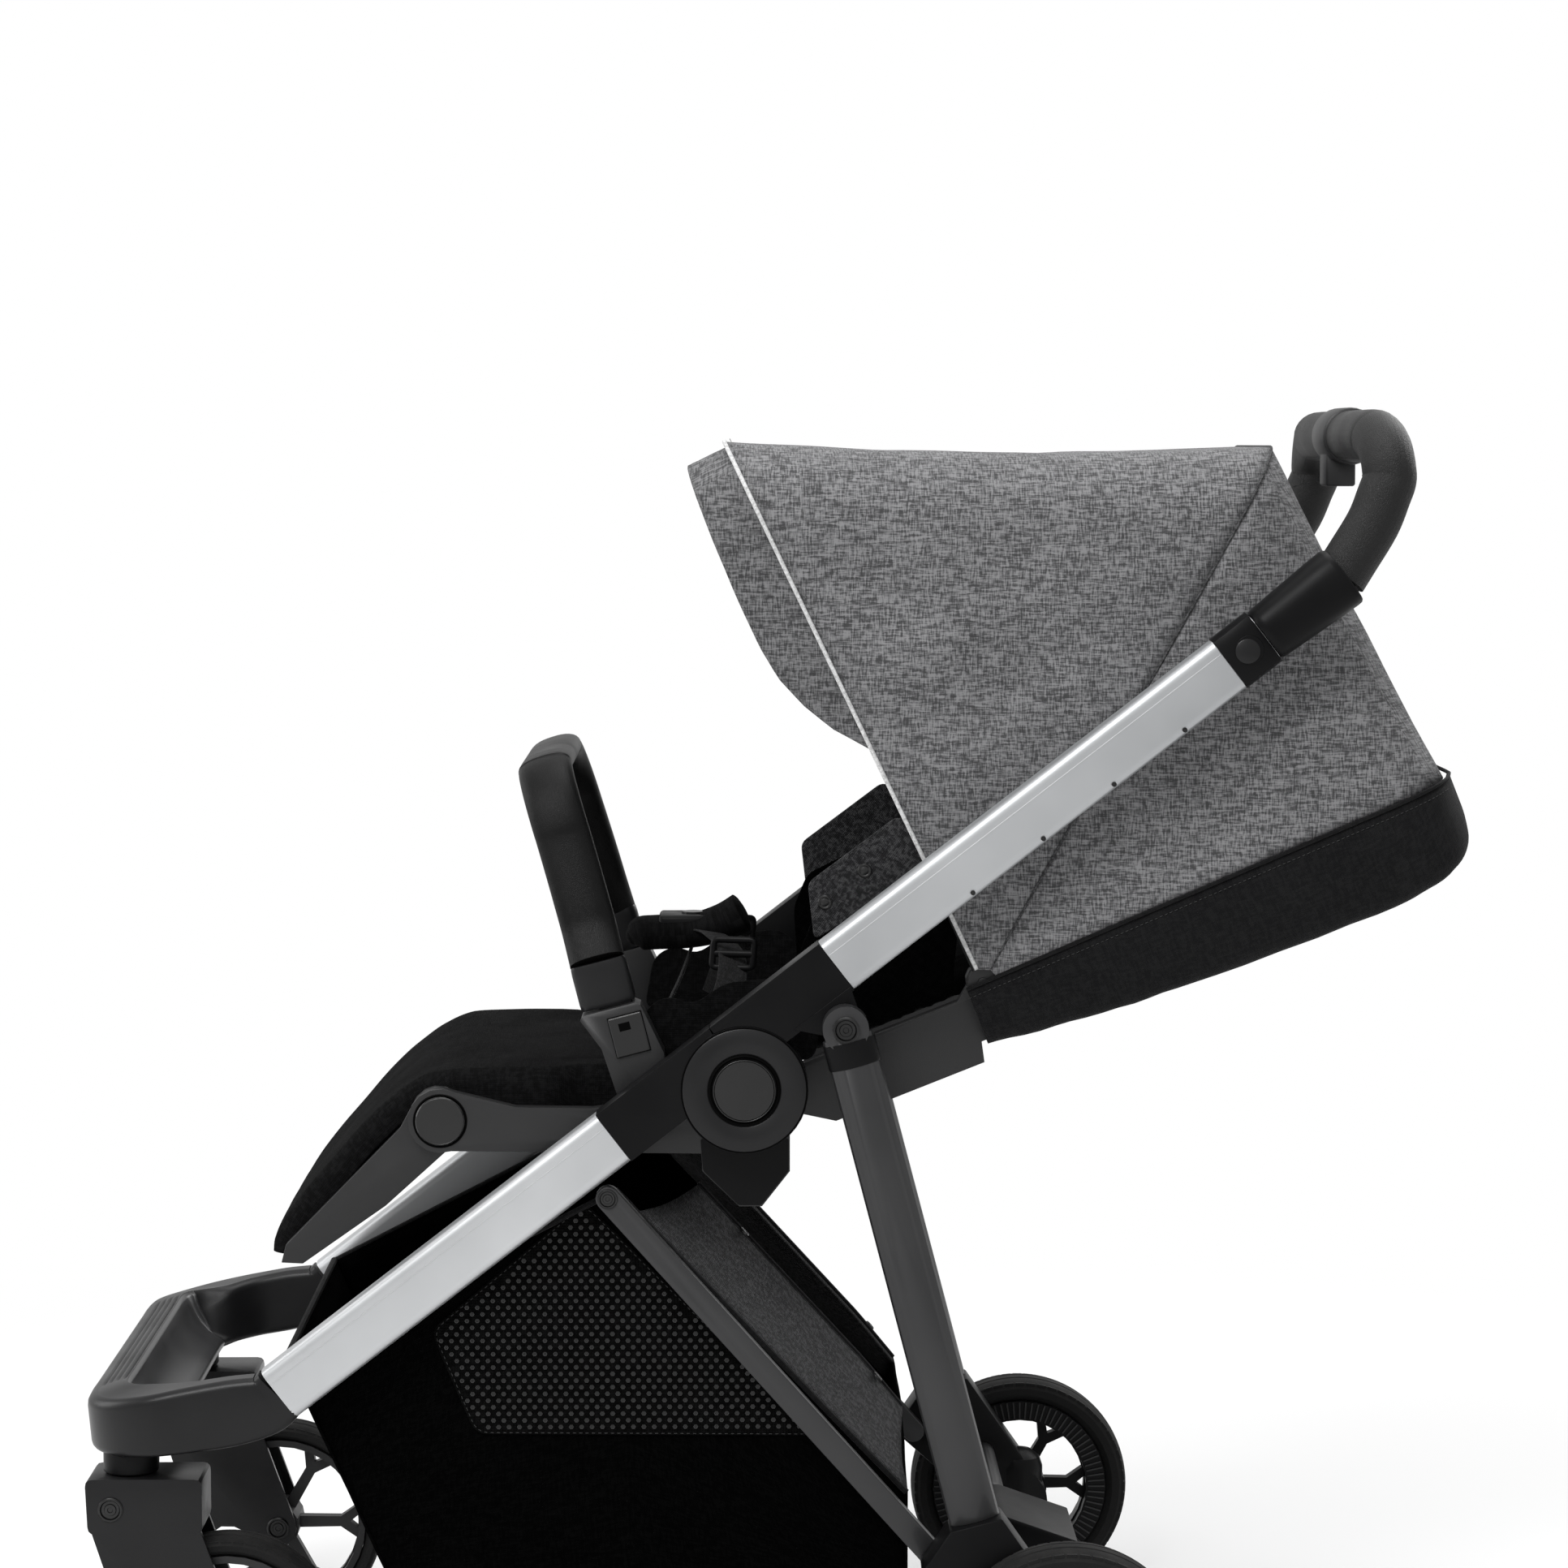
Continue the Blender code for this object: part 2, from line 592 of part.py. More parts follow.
def add_handle():
    release_top = GRIP_TOP[1] - GRIP_RADIUS + 0.012
    release_centre = (GRIP_TOP[0] - 0.006, release_top - 0.004 - RELEASE_SIZE[2] / 2)
    for name, side in SIDES.items():
        collar = add("collar_" + name,
                     tube_bar(UPPER_TUBE_END + FIT, UPPER_TUBE_END + COLLAR_LENGTH, side,
                              -0.0008), "black plastic", "fold")
        cut(collar, tube_bar(UPPER_TUBE_END - 0.01, UPPER_TUBE_END + COLLAR_LENGTH + 0.01, side,
                             wall=TUBE_WALL))
        disc = on_tube(UPPER_TUBE_END + COLLAR_LENGTH * 0.56)
        join(collar, rod(at(disc, side * (TUBE_PLANE + TUBE_WIDTH / 2 - 0.0012)),
                         at(disc, side * (TUBE_PLANE + TUBE_WIDTH / 2 + 0.0018)),
                         COLLAR_DISC_RADIUS, 24))
        stem_end = UPPER_TUBE_END + COLLAR_LENGTH + 0.0005
        stem = add("handle_stem_" + name,
                   tube_bar(STEM_START, stem_end, side, STEM_CLEARANCE, TUBE_WALL),
                   "anodised aluminium", "handle")
        cut(stem, tube_bar(STEM_START - 0.01, stem_end + 0.01, side,
                           STEM_CLEARANCE + STEM_WALL, TUBE_WALL))
    sleeve_start = UPPER_TUBE_END + COLLAR_LENGTH + 0.001
    sleeve_end = sleeve_start + SLEEVE_LENGTH
    half = [(at(on_tube(sleeve_start), TUBE_PLANE), SLEEVE_RADIUS_START),
            (at(on_tube(sleeve_start + 0.004), TUBE_PLANE), SLEEVE_RADIUS_START + 0.001),
            (at(on_tube(sleeve_end), TUBE_PLANE - 0.001), SLEEVE_RADIUS_END),
            (at(on_tube(sleeve_end + 0.001), TUBE_PLANE - 0.001), GRIP_RADIUS),
            (Vector((0.4715, TUBE_PLANE - 0.0025, 0.4130)), GRIP_RADIUS),
            (Vector((0.4881, TUBE_PLANE - 0.0045, 0.4401)), GRIP_RADIUS),
            (Vector((0.4970, TUBE_PLANE - 0.0070, 0.4620)), GRIP_RADIUS)]
    bend = Vector((GRIP_TOP[0], GRIP_PLANE - GRIP_CORNER, GRIP_TOP[1] - GRIP_CORNER * 0.62))
    for k in range(7):
        a = radians(90 * k / 6)
        half.append((Vector((bend.x + 0.0045 * cos(a), bend.y + GRIP_CORNER * cos(a),
                             bend.z + GRIP_CORNER * 0.62 * sin(a))), GRIP_RADIUS))
    half.append((Vector((GRIP_TOP[0], GRIP_PLANE - 0.130, GRIP_TOP[1])), GRIP_RADIUS))
    mirrored = [(Vector((p.x, -p.y, p.z)), r) for p, r in half]
    whole = mirrored + [(at(GRIP_TOP), GRIP_RADIUS)] + list(reversed(half))
    grip = add("handle_bar",
               loft([p for p, r in whole], [oval_section(2 * r, 2 * r, 14) for p, r in whole],
                    Vector((0.615, 0, -0.789))), "grip leather", "handle")
    pocket = [size + 2 * 0.0005 for size in RELEASE_SIZE]
    pocket_height = RELEASE_TRAVEL + RELEASE_SIZE[2] + 0.0005
    pocket_z = release_centre[1] - RELEASE_SIZE[2] / 2 + pocket_height / 2
    cut(grip, block((release_centre[0], 0, pocket_z), (pocket[0], pocket[1], pocket_height)))
    add("handle_release", block(at(release_centre), RELEASE_SIZE), "black plastic",
        "handle_release", 0.002)


def add_legs():
    lean = Vector((LEG_BOTTOM[0] - LEG_TOP[0], LEG_BOTTOM[1] - LEG_TOP[1])).normalized()
    middle = LEG_INNER + LEG_THICKNESS / 2
    top = (LEG_TOP[0] + lean.x * 0.006, LEG_TOP[1] + lean.y * 0.006)
    plug = (LEG_BOTTOM[0] - lean.x * PLUG_LENGTH, LEG_BOTTOM[1] - lean.y * PLUG_LENGTH)
    hollow_top = (LEG_TOP[0] + lean.x * 0.04, LEG_TOP[1] + lean.y * 0.04)
    beyond = (LEG_BOTTOM[0] + lean.x * 0.01, LEG_BOTTOM[1] + lean.y * 0.01)
    over = (LEG_BOTTOM[0] + lean.x * 0.008, LEG_BOTTOM[1] + lean.y * 0.008)
    broad = at((-lean.y, lean.x))

    def oval_bar(start, end, shrink, side):
        section = oval_section(LEG_THICKNESS - 2 * shrink, LEG_DEPTH - 2 * shrink)
        return loft([at(start, side * middle), at(end, side * middle)], [section] * 2, broad)

    for name, side in SIDES.items():
        leg = add("rear_leg_" + name, oval_bar(top, LEG_BOTTOM, 0, side), "black metal", "legs")
        cut(leg, oval_bar(hollow_top, beyond, LEG_WALL, side))
        outer = LEG_INNER + LEG_THICKNESS
        join(leg, rod(at(LEG_TOP, side * LEG_INNER), at(LEG_TOP, side * (outer - 0.002)),
                      LEG_EYE_RADIUS, 24))
        join(leg, rod(at(LEG_TOP, side * (HUB_INNER + 0.002)),
                      at(LEG_TOP, side * (LEG_INNER + 0.004)), LEG_PIN_RADIUS, 16))

        half = LEG_DEPTH / 2 + 0.001
        foot_x, foot_z = LEG_BOTTOM[0] + lean.x * FIT, LEG_BOTTOM[1] + lean.y * FIT
        front = (foot_x + lean.y * half, foot_z - lean.x * half)
        back = (foot_x - lean.y * half, foot_z + lean.x * half)
        wheel = REAR_WHEEL
        outline = [front, *arc(FOOT_PIVOT, STRUT_WIDTH / 2 + 0.004, 130, 240, 5),
                   (wheel[0] - 0.040, wheel[1] - 0.004),
                   *arc(wheel, 0.022, 230, 400, 8), back]
        foot = add("foot_" + name, plate(outline, *between(side, FOOT_INNER, FOOT_OUTER)),
                   "black plastic", "legs", 0.003)
        join(foot, oval_bar(plug, over, LEG_WALL + FIT, side))
        bullet_top = SUSPENSION_HEIGHT / 2
        bullet_plane = FOOT_OUTER - SUSPENSION_RADIUS - 0.0005
        dome = [(SUSPENSION_RADIUS * cos(radians(a)), bullet_top - SUSPENSION_RADIUS * 0.8
                 + SUSPENSION_RADIUS * 0.8 * sin(radians(a))) for a in (90, 60, 30, 0)]
        base = [(r, -h) for r, h in reversed(dome)]
        bullet = [(max(r, 0.0) if 0 < k else 0.0, h) for k, (r, h) in enumerate(dome)]
        bullet += base[:-1] + [(0.0, base[-1][1])]
        join(foot, turned(bullet, at((wheel[0] - 0.003, wheel[1]), side * bullet_plane),
                          (0, 0, 1), 20))
        join(foot, rod(at(wheel, side * (FOOT_OUTER - 0.01)),
                       at(wheel, side * (REAR_WHEEL_PLANE + 0.01)), AXLE_RADIUS, 16))
        add_strut(name, side)
    end = FOOT_INNER - FIT
    add("rear_cross_tube", rod(at(AXLE_TUBE_POINT, -end), at(AXLE_TUBE_POINT, end),
                               AXLE_TUBE_RADIUS, 20), "black metal", "legs")
    pedal = [*arc(AXLE_TUBE_POINT, AXLE_TUBE_RADIUS + 0.005, 60, 300, 12),
             (AXLE_TUBE_POINT[0] + PEDAL_REACH, AXLE_TUBE_POINT[1] - 0.014),
             (AXLE_TUBE_POINT[0] + PEDAL_REACH, AXLE_TUBE_POINT[1] - 0.006)]
    bore = arc(AXLE_TUBE_POINT, AXLE_TUBE_RADIUS + FIT, 0, 342, 19)
    add("brake_pedal", plate(pedal, -PEDAL_WIDTH / 2, PEDAL_WIDTH / 2, [bore]),
        "black plastic", "brake")


def add_strut(name, side):
    run = Vector((FOOT_PIVOT[0] - STRUT_TOP[0], FOOT_PIVOT[1] - STRUT_TOP[1]))
    tilt = degrees(atan2(run.y, run.x))
    half = STRUT_WIDTH / 2
    outline = arc(STRUT_TOP, half, tilt + 90, tilt + 270, 8)
    outline += arc(FOOT_PIVOT, half, tilt - 90, tilt + 90, 8)
    bore = arc(STRUT_TOP, STRUT_PIN_RADIUS + FIT, 0, 330, 11)
    layer = between(side, STRUT_INNER, STRUT_INNER + STRUT_THICKNESS)
    add("strut_" + name, plate(outline, *layer, [bore]), "black metal", "struts")


def spoke_window(spoke, hub_radius, split, outer, width):
    """The opening between one spoke and the next. Each spoke forks at the split radius."""
    spread = (outer - split) * tan(radians(32))
    step = 360 / RIM_SPOKES

    def beside(number, along, offset):
        a = radians(step * number)
        return (along * cos(a) - offset * sin(a), along * sin(a) + offset * cos(a))

    inner_angle = degrees(asin((width / 2 + 0.0006) / hub_radius))
    outer_angle = degrees(asin((width / 2 + spread) / outer))
    first = step * spoke
    bottom = arc((0, 0), hub_radius, first + step - inner_angle, first + inner_angle, 2)
    top = arc((0, 0), outer, first + outer_angle, first + step - outer_angle, 3)
    return [*bottom, beside(spoke, split, width / 2), *top, beside(spoke + 1, split, -width / 2)]


def spoke_notch(spoke, split, outer, width):
    """The small opening in the fork at the end of a spoke."""
    start = split + width * 0.95
    reach = outer - start
    a = radians(360 / RIM_SPOKES * spoke)
    half = max((outer - split) * tan(radians(32)) - width * 0.45, 0.002)
    corners = [(start, 0.0), (start + reach, -half), (start + reach, half)]
    return [(r * cos(a) - y * sin(a), r * sin(a) + y * cos(a)) for r, y in corners]


def wheel_rim(rim, opening, width, barrel, barrel_in, barrel_out, plane, point, side, bore_depth):
    """The ring of a rim; its spoked disc and barrel are returned as shapes to join."""
    ring_half = width / 2 - 0.004
    centre = at(point, side * plane)
    ring = [(rim, ring_half), (rim, -ring_half), (opening, -ring_half), (opening, ring_half)]
    ring_shape = turned(ring, centre, (0, side, 0), WHEEL_STEPS)
    overlap = (rim - opening) * 0.4
    split = opening - 0.017
    windows = [spoke_window(k, barrel * 0.9, split, opening - 0.0015, SPOKE_WIDTH)
               for k in range(RIM_SPOKES)]
    windows += [spoke_notch(k, split, opening - 0.0015, SPOKE_WIDTH) for k in range(RIM_SPOKES)]
    moved = [[(x + point[0], z + point[1]) for x, z in loop] for loop in windows]
    disc = arc(point, opening + overlap, 0, 360 - 360 / WHEEL_STEPS, WHEEL_STEPS - 1)
    low, high = side * plane - SPOKE_THICKNESS / 2, side * plane + SPOKE_THICKNESS / 2
    bore = AXLE_RADIUS + FIT
    core = [(0, barrel_out), (barrel, barrel_out), (barrel, -barrel_in), (bore, -barrel_in)]
    core += [(bore, bore_depth), (0, bore_depth)]
    if bore_depth >= barrel_out:
        core = [(barrel, barrel_out), (barrel, -barrel_in), (bore, -barrel_in), (bore, barrel_out)]
    return ring_shape, plate(disc, low, high, moved), turned(core, centre, (0, side, 0), 16)


def tyre(radius, rim, width, plane, point, side):
    half = width / 2
    inner = rim + FIT
    profile = [(radius, half * 0.3), (radius, -half * 0.3), (radius - 0.004, -half * 0.75),
               (radius - 0.012, -half), (inner, -half), (inner, half), (radius - 0.012, half),
               (radius - 0.004, half * 0.75)]
    return turned(profile, at(point, side * plane), (0, side, 0), WHEEL_STEPS)


def add_wheel(kind, name, side, point, plane, radius, rim, opening, width, barrel, barrel_in,
              barrel_out, bore_depth):
    carrier = kind + "_wheel_" + name
    add(kind + "_tyre_" + name, tyre(radius, rim, width, plane, point, side), "rubber", carrier)
    ring, disc, core = wheel_rim(rim, opening, width, barrel, barrel_in, barrel_out, plane,
                                 point, side, bore_depth)
    wheel = add(kind + "_rim_" + name, ring, "black plastic", carrier)
    join(wheel, disc, core)
    bore = AXLE_RADIUS + FIT
    cut(wheel, rod(at(point, side * (plane - barrel_in - 0.01)),
                   at(point, side * (plane + min(bore_depth, barrel_out + 0.01))), bore))


def add_wheels():
    for name, side in SIDES.items():
        add_wheel("rear", name, side, REAR_WHEEL, REAR_WHEEL_PLANE, REAR_WHEEL_RADIUS,
                  REAR_RIM_OUTER, REAR_RIM_OPENING, REAR_TYRE_WIDTH, REAR_BARREL_RADIUS,
                  REAR_WHEEL_PLANE - FOOT_OUTER - FIT, REAR_BARREL_OUT, 0.0115)
        barrel_half = FORK_GAP / 2 - 0.0005
        add_wheel("front", name, side, FRONT_WHEEL, FRONT_WHEEL_PLANE, FRONT_WHEEL_RADIUS,
                  FRONT_RIM_OUTER, FRONT_RIM_OPENING, FRONT_TYRE_WIDTH, FRONT_BARREL_RADIUS,
                  barrel_half, barrel_half, 1.0)


def add_forks():
    for name, side in SIDES.items():
        middle = side * FRONT_WHEEL_PLANE
        half = FORK_GAP / 2 + FORK_WALL
        crown = [(CROWN_FRONT, CROWN_TOP), (CROWN_REAR, CROWN_TOP), (CROWN_REAR, CROWN_BOTTOM),
                 (CROWN_FRONT + 0.002, CROWN_BOTTOM)]
        fork = add("caster_fork_" + name,
                   plate(rounded(crown, 0.006), middle - half, middle + half),
                   "black plastic", "caster_" + name)
        cheek = [(CROWN_FRONT + 0.004, CROWN_BOTTOM + 0.004), (CROWN_FRONT + 0.030, -0.430),
                 *arc(FRONT_WHEEL, 0.016, 225, 380, 8), (CROWN_REAR - 0.002, CROWN_BOTTOM + 0.004)]
        for wall in (-1, 1):
            inner = middle + wall * FORK_GAP / 2
            outer = middle + wall * half
            join(fork, plate(cheek, *sorted((inner, outer - wall * 0.0001))))
        axle_half = half - 0.001
        join(fork, rod(at(FRONT_WHEEL, middle - axle_half), at(FRONT_WHEEL, middle + axle_half),
                       AXLE_RADIUS, 16))
        join(fork, rod(Vector((SWIVEL_X, middle, CROWN_TOP - 0.004)),
                       Vector((SWIVEL_X, middle, CROWN_TOP + 0.030)), SWIVEL_RADIUS, 20))


def tread_section(width, height, slope):
    """A bar's section whose upper front corner is cut back to a sloping tread."""
    outline = box_section(width, height, TUBE_CORNER)
    edge = Vector((-width / 2, height / 2 - max(slope[1], 0.004)))
    top = Vector((-width / 2 + max(slope[0], 0.004), height / 2))
    return outline[:-3] + [tuple(top), tuple((edge + top) / 2), tuple(edge)]


def add_foot_bar():
    """The front foot bar: a wide tread whose arms run back into the lower tubes."""
    start = on_tube(LOWER_TUBE_START - FIT)
    centre_x = BAR_FRONT + BAR_DEPTH / 2
    half = [(at(start, TUBE_PLANE), TUBE_WIDTH, TUBE_DEPTH, 0),
            (at(on_tube(LOWER_TUBE_START - 0.016), TUBE_PLANE), TUBE_WIDTH, 0.048, 0),
            (Vector((-0.402, TUBE_PLANE, BAR_Z + 0.011)), TUBE_WIDTH, 0.053, 0),
            (Vector((-0.4325, TUBE_PLANE - 0.0025, BAR_Z + 0.006)), 0.0335, 0.052, 0),
            (Vector((-0.4575, TUBE_PLANE - 0.0097, BAR_Z + 0.002)), 0.0484, BAR_HEIGHT, 0.1),
            (Vector((-0.4760, TUBE_PLANE - 0.0222, BAR_Z)), 0.0600, BAR_HEIGHT, 0.5),
            (Vector((-0.4868, TUBE_PLANE - 0.0375, BAR_Z)), BAR_DEPTH, BAR_HEIGHT, 0.9),
            (Vector((centre_x, TUBE_PLANE - 0.057, BAR_Z)), BAR_DEPTH, BAR_HEIGHT, 1),
            (Vector((centre_x, TUBE_PLANE - 0.135, BAR_Z)), BAR_DEPTH, BAR_HEIGHT, 1)]
    mirrored = [(Vector((p.x, -p.y, p.z)), w, h, share) for p, w, h, share in half]
    whole = mirrored + list(reversed(half))
    sections = [tread_section(w, h, [share * size for size in TREAD_SLOPE])
                for p, w, h, share in whole]
    bar = add("foot_bar", loft([station[0] for station in whole], sections, Vector((0, 0, 1))),
              "black plastic", "chassis")
    for side in SIDES.values():
        middle = side * FRONT_WHEEL_PLANE
        join(bar, rod(Vector((SWIVEL_X, middle, SOCKET_BOTTOM)),
                      Vector((SWIVEL_X, middle, BAR_Z)), SOCKET_RADIUS, 24))
        join(bar, tube_bar(LOWER_TUBE_START - 0.006, LOWER_TUBE_START + PLUG_LENGTH, side,
                           FIT, TUBE_WALL))
        cut(bar, rod(Vector((SWIVEL_X, middle, SOCKET_BOTTOM - 0.01)),
                     Vector((SWIVEL_X, middle, CROWN_TOP + 0.030 + FIT)),
                     SWIVEL_RADIUS + FIT, 20))


def basket_form(inset, floor, lift):
    """The basket's outer or inner form: upright sides that fold in to a hem at the rear."""
    def outline(edge, raised):
        points = [(BASKET_FRONT_TOP[0] + inset, BASKET_FRONT_TOP[1] - raised),
                  (BASKET_FRONT_BOTTOM_X + inset, floor), (BASKET_REAR_BOTTOM_X - inset, floor)]
        points += [(x - inset, z - raised) for x, z in edge]
        points.append((BASKET_TOP_FRONT[0] - inset, BASKET_TOP_FRONT[1] - raised))
        return points

    half = BASKET_HALF - inset
    hem = outline(BASKET_HEM, inset - lift)
    side = outline(BASKET_SIDE_EDGE, inset)
    stations = [(-half, side), (-BASKET_HEM_HALF, hem), (BASKET_HEM_HALF, hem), (half, side)]
    path = [Vector((0, y, 0)) for y, points in stations]
    form = loft(path, [points for y, points in stations], Vector((0, 0, 1)))
    bmesh.ops.triangulate(form, faces=form.faces)
    return form


def add_basket():
    wall = BASKET_WALL
    basket = add("basket", basket_form(0.0, BASKET_FLOOR, 0.0), "black fabric", "chassis")
    cut(basket, basket_form(wall, BASKET_FLOOR + wall, 0.0))
    front = BASKET_FRONT_TOP[0] + wall
    rear = BASKET_TOP_FRONT[0] - 0.008
    mouth = [(front, 0.0), (front, BASKET_FRONT_TOP[1] - 0.02), (-0.300, -0.300),
             (rear, -0.300), (rear, 0.0)]
    cut(basket, plate(mouth, -BASKET_HALF + 2 * wall, BASKET_HALF - 2 * wall))
    hem = [(rear - 0.010, 0.0), (rear - 0.010, -0.250), (0.110, -0.285), (0.1195, -0.276),
           (0.110, 0.0)]
    cut(basket, plate(hem, -BASKET_HEM_HALF + 0.002, BASKET_HEM_HALF - 0.002))


def add_seat():
    pan_bottom = SEAT_PAN_Z - SEAT_PAN_THICKNESS / 2
    pan_front = LEG_REST_PIVOT[0] + SEAT_PAN_START
    pan = block(((pan_front + SEAT_PAD_REAR) / 2, 0, SEAT_PAN_Z),
                (SEAT_PAD_REAR - pan_front, 2 * SEAT_ARM_INNER + 0.006, SEAT_PAN_THICKNESS))
    frame = add("seat_frame", pan, "black plastic", "chassis")
    lean = radians(90 + BAR_LEAN)
    slide = Vector((cos(lean), 0, sin(lean)))
    outside = SEAT_ARM_OUTER + 0.02
    for side in SIDES.values():
        arm = [*arc(LEG_REST_PIVOT, LEG_REST_BOSS, 62, 290, 10), (-0.190, pan_bottom - 0.012),
               (-0.030, pan_bottom - 0.014), (0.010, -0.030), (-0.020, -0.008),
               (-0.120, -0.020), (-0.180, -0.019)]
        join(frame, plate(arm, *between(side, SEAT_ARM_INNER, SEAT_ARM_OUTER)))
        adapter = [*arc((0, 0), ADAPTER_RADIUS, 0, 180, 10), (-0.035, -0.038), (-0.033, -0.070),
                   (-0.004, ADAPTER_BOTTOM), (0.014, ADAPTER_BOTTOM), (0.036, -0.070),
                   (0.036, -0.038)]
        join(frame, plate(adapter, *between(side, ADAPTER_INNER, SEAT_ARM_OUTER + 0.0006)))
        join(frame, rod(at((0, 0), side * (RAIL_INNER + 0.0006)),
                        at((0, 0), side * (ADAPTER_INNER + 0.002)), STUB_RADIUS, 20))
        join(frame, plate(SOCKET_OUTLINE, *between(side, SOCKET_INNER, SOCKET_OUTER)))
        hollow = tenon_place(side) - slide * (SOCKET_DEPTH / 2 - 0.010)
        cut(frame, block(hollow, (TENON_WIDTH + 2 * FIT, TENON_THICKNESS + 2 * FIT,
                                  SOCKET_DEPTH + 0.02), BAR_LEAN))
        width, height, tall = GRAB_BUTTON_SIZE
        recess = grab_button_centre(side)
        recess.y = side * (SOCKET_OUTER - 0.0065 + 0.01)
        cut(frame, block(recess, (width + 0.0008, 0.020, tall + 0.0008), BAR_LEAN))
        cut(frame, rod(at((0, 0), side * (PIN_END - 0.0013)), at((0, 0), side * outside),
                       PIN_RADIUS + FIT))
        cut(frame, rod(at(LEG_REST_PIVOT, side * (SEAT_ARM_OUTER - 0.0035)),
                       at(LEG_REST_PIVOT, side * outside), KNEE_BUTTON_RADIUS + FIT, 28),
            rod(at(LEG_REST_PIVOT, side * (SEAT_ARM_INNER - 0.005)),
                at(LEG_REST_PIVOT, side * outside), LEG_REST_PIN + FIT, 16))
    pad_bottom = SEAT_PAN_Z + SEAT_PAN_THICKNESS / 2 + FIT
    pad = [(SEAT_PAD_FRONT, -0.013), (-0.230, -0.016), (-0.205, pad_bottom),
           (SEAT_PAD_REAR, pad_bottom), (SEAT_PAD_REAR, SEAT_PAD_TOP),
           (-0.215, SEAT_PAD_TOP), (-0.245, 0.000)]
    add("seat_pad", plate(rounded(pad, 0.006), -SEAT_PAD_HALF, SEAT_PAD_HALF), "black fabric",
        "chassis", 0.003)
    add_leg_rest()
    add_grab_bar(slide)
    add_harness()


def add_leg_rest():
    run = Vector((LEG_REST_END[0] - LEG_REST_PIVOT[0], LEG_REST_END[1] - LEG_REST_PIVOT[1]))
    tilt = degrees(atan2(run.y, run.x))
    ahead = run.normalized()
    over = Vector((ahead.y, -ahead.x))

    def along(distance, height):
        spot = Vector(LEG_REST_PIVOT) + ahead * distance + over * height
        return (spot.x, spot.y)

    arm = [*arc(LEG_REST_PIVOT, LEG_REST_BOSS, tilt - 60, tilt - 300, 12),
           along(run.length * 0.5, -0.022), along(run.length, -0.012),
           along(run.length + 0.012, 0.0), along(run.length, 0.008), along(0.030, 0.016)]
    outer = SEAT_ARM_INNER - FIT
    layer = between(-1, LEG_REST_INNER, outer)
    frame = add("leg_rest_frame", plate(arm, *layer), "black plastic", "leg_rest")
    join(frame, plate(arm, LEG_REST_INNER, outer))
    board = [along(0.040, -0.006), along(run.length, -0.006), along(run.length, -0.002),
             along(0.040, -0.002)]
    join(frame, plate(board, -LEG_REST_INNER - 0.002, LEG_REST_INNER + 0.002))
    for name, side in SIDES.items():
        cut(frame, rod(at(LEG_REST_PIVOT, side * (LEG_REST_INNER - 0.01)),
                       at(LEG_REST_PIVOT, side * (SEAT_ARM_INNER + 0.01)), LEG_REST_PIN + FIT, 16))
        pin_end = LEG_REST_INNER + 0.0035
        face = SEAT_ARM_OUTER
        profile = [(0, face + KNEE_BUTTON_HEIGHT),
                   (KNEE_BUTTON_RADIUS - 0.001, face + KNEE_BUTTON_HEIGHT),
                   (KNEE_BUTTON_RADIUS, face + KNEE_BUTTON_HEIGHT - 0.001),
                   (KNEE_BUTTON_RADIUS, face), (LEG_REST_PIN, face), (LEG_REST_PIN, pin_end),
                   (0, pin_end)]
        add("leg_rest_button_" + name,
            turned(profile, at(LEG_REST_PIVOT), (0, side, 0), 28), "black plastic",
            "leg_rest_button_" + name)
    pad = [along(0.034, -0.0017), along(run.length + 0.010, -0.0017),
           along(run.length + 0.016, 0.004), along(0.113, 0.021), along(0.066, 0.031),
           along(0.030, 0.028)]
    add("leg_rest_pad", plate(rounded(pad, 0.006), -SEAT_PAD_HALF, SEAT_PAD_HALF),
        "black fabric", "leg_rest", 0.003)


def grab_button_centre(side):
    return at(GRAB_BUTTON_POINT, side * (SOCKET_OUTER - 0.0005))


def tenon_place(side):
    return at((SOCKET_TOP[0] + TENON_SHIFT, SOCKET_TOP[1] + TENON_SHIFT * 0.26),
              side * GRAB_PLANE)


def add_grab_bar(slide):
    foot = at(SOCKET_TOP, GRAB_PLANE)
    inward = GRAB_PLANE - GRAB_TOP_PLANE
    height = GRAB_HEIGHT - GRAB_THICKNESS / 2
    corner_start = height - GRAB_CORNER

    def station(y, rise):
        return at(SOCKET_TOP, y) + slide * rise - Vector((GRAB_BEND * (rise / height) ** 2, 0, 0))

    half = [foot + slide * 0.0008, foot + slide * 0.010]
    half += [station(GRAB_PLANE - inward * share, corner_start * share) for share in (0.35, 0.7)]
    for k in range(6):
        a = radians(90 * k / 5)
        half.append(station(GRAB_TOP_PLANE - GRAB_CORNER + GRAB_CORNER * cos(a),
                            corner_start + GRAB_CORNER * sin(a)))
    mirrored = [Vector((p.x, -p.y, p.z)) for p in half]
    whole = mirrored + [station(0.0, height)] + list(reversed(half))
    across = Vector((slide.z, 0, -slide.x))
    section = box_section(GRAB_THICKNESS, GRAB_WIDTH, 0.010)
    bar = add("grab_bar", loft(whole, [section] * len(whole), across), "grip leather",
              "grab_bar")
    for name, side in SIDES.items():
        tenon = tenon_place(side) - slide * (SOCKET_DEPTH / 2 - FIT - 0.0035)
        join(bar, block(tenon, (TENON_WIDTH, TENON_THICKNESS, SOCKET_DEPTH + 0.006), BAR_LEAN))
        add("grab_button_" + name, block(grab_button_centre(side), GRAB_BUTTON_SIZE, BAR_LEAN),
            "black plastic", "grab_button_" + name, 0.001)


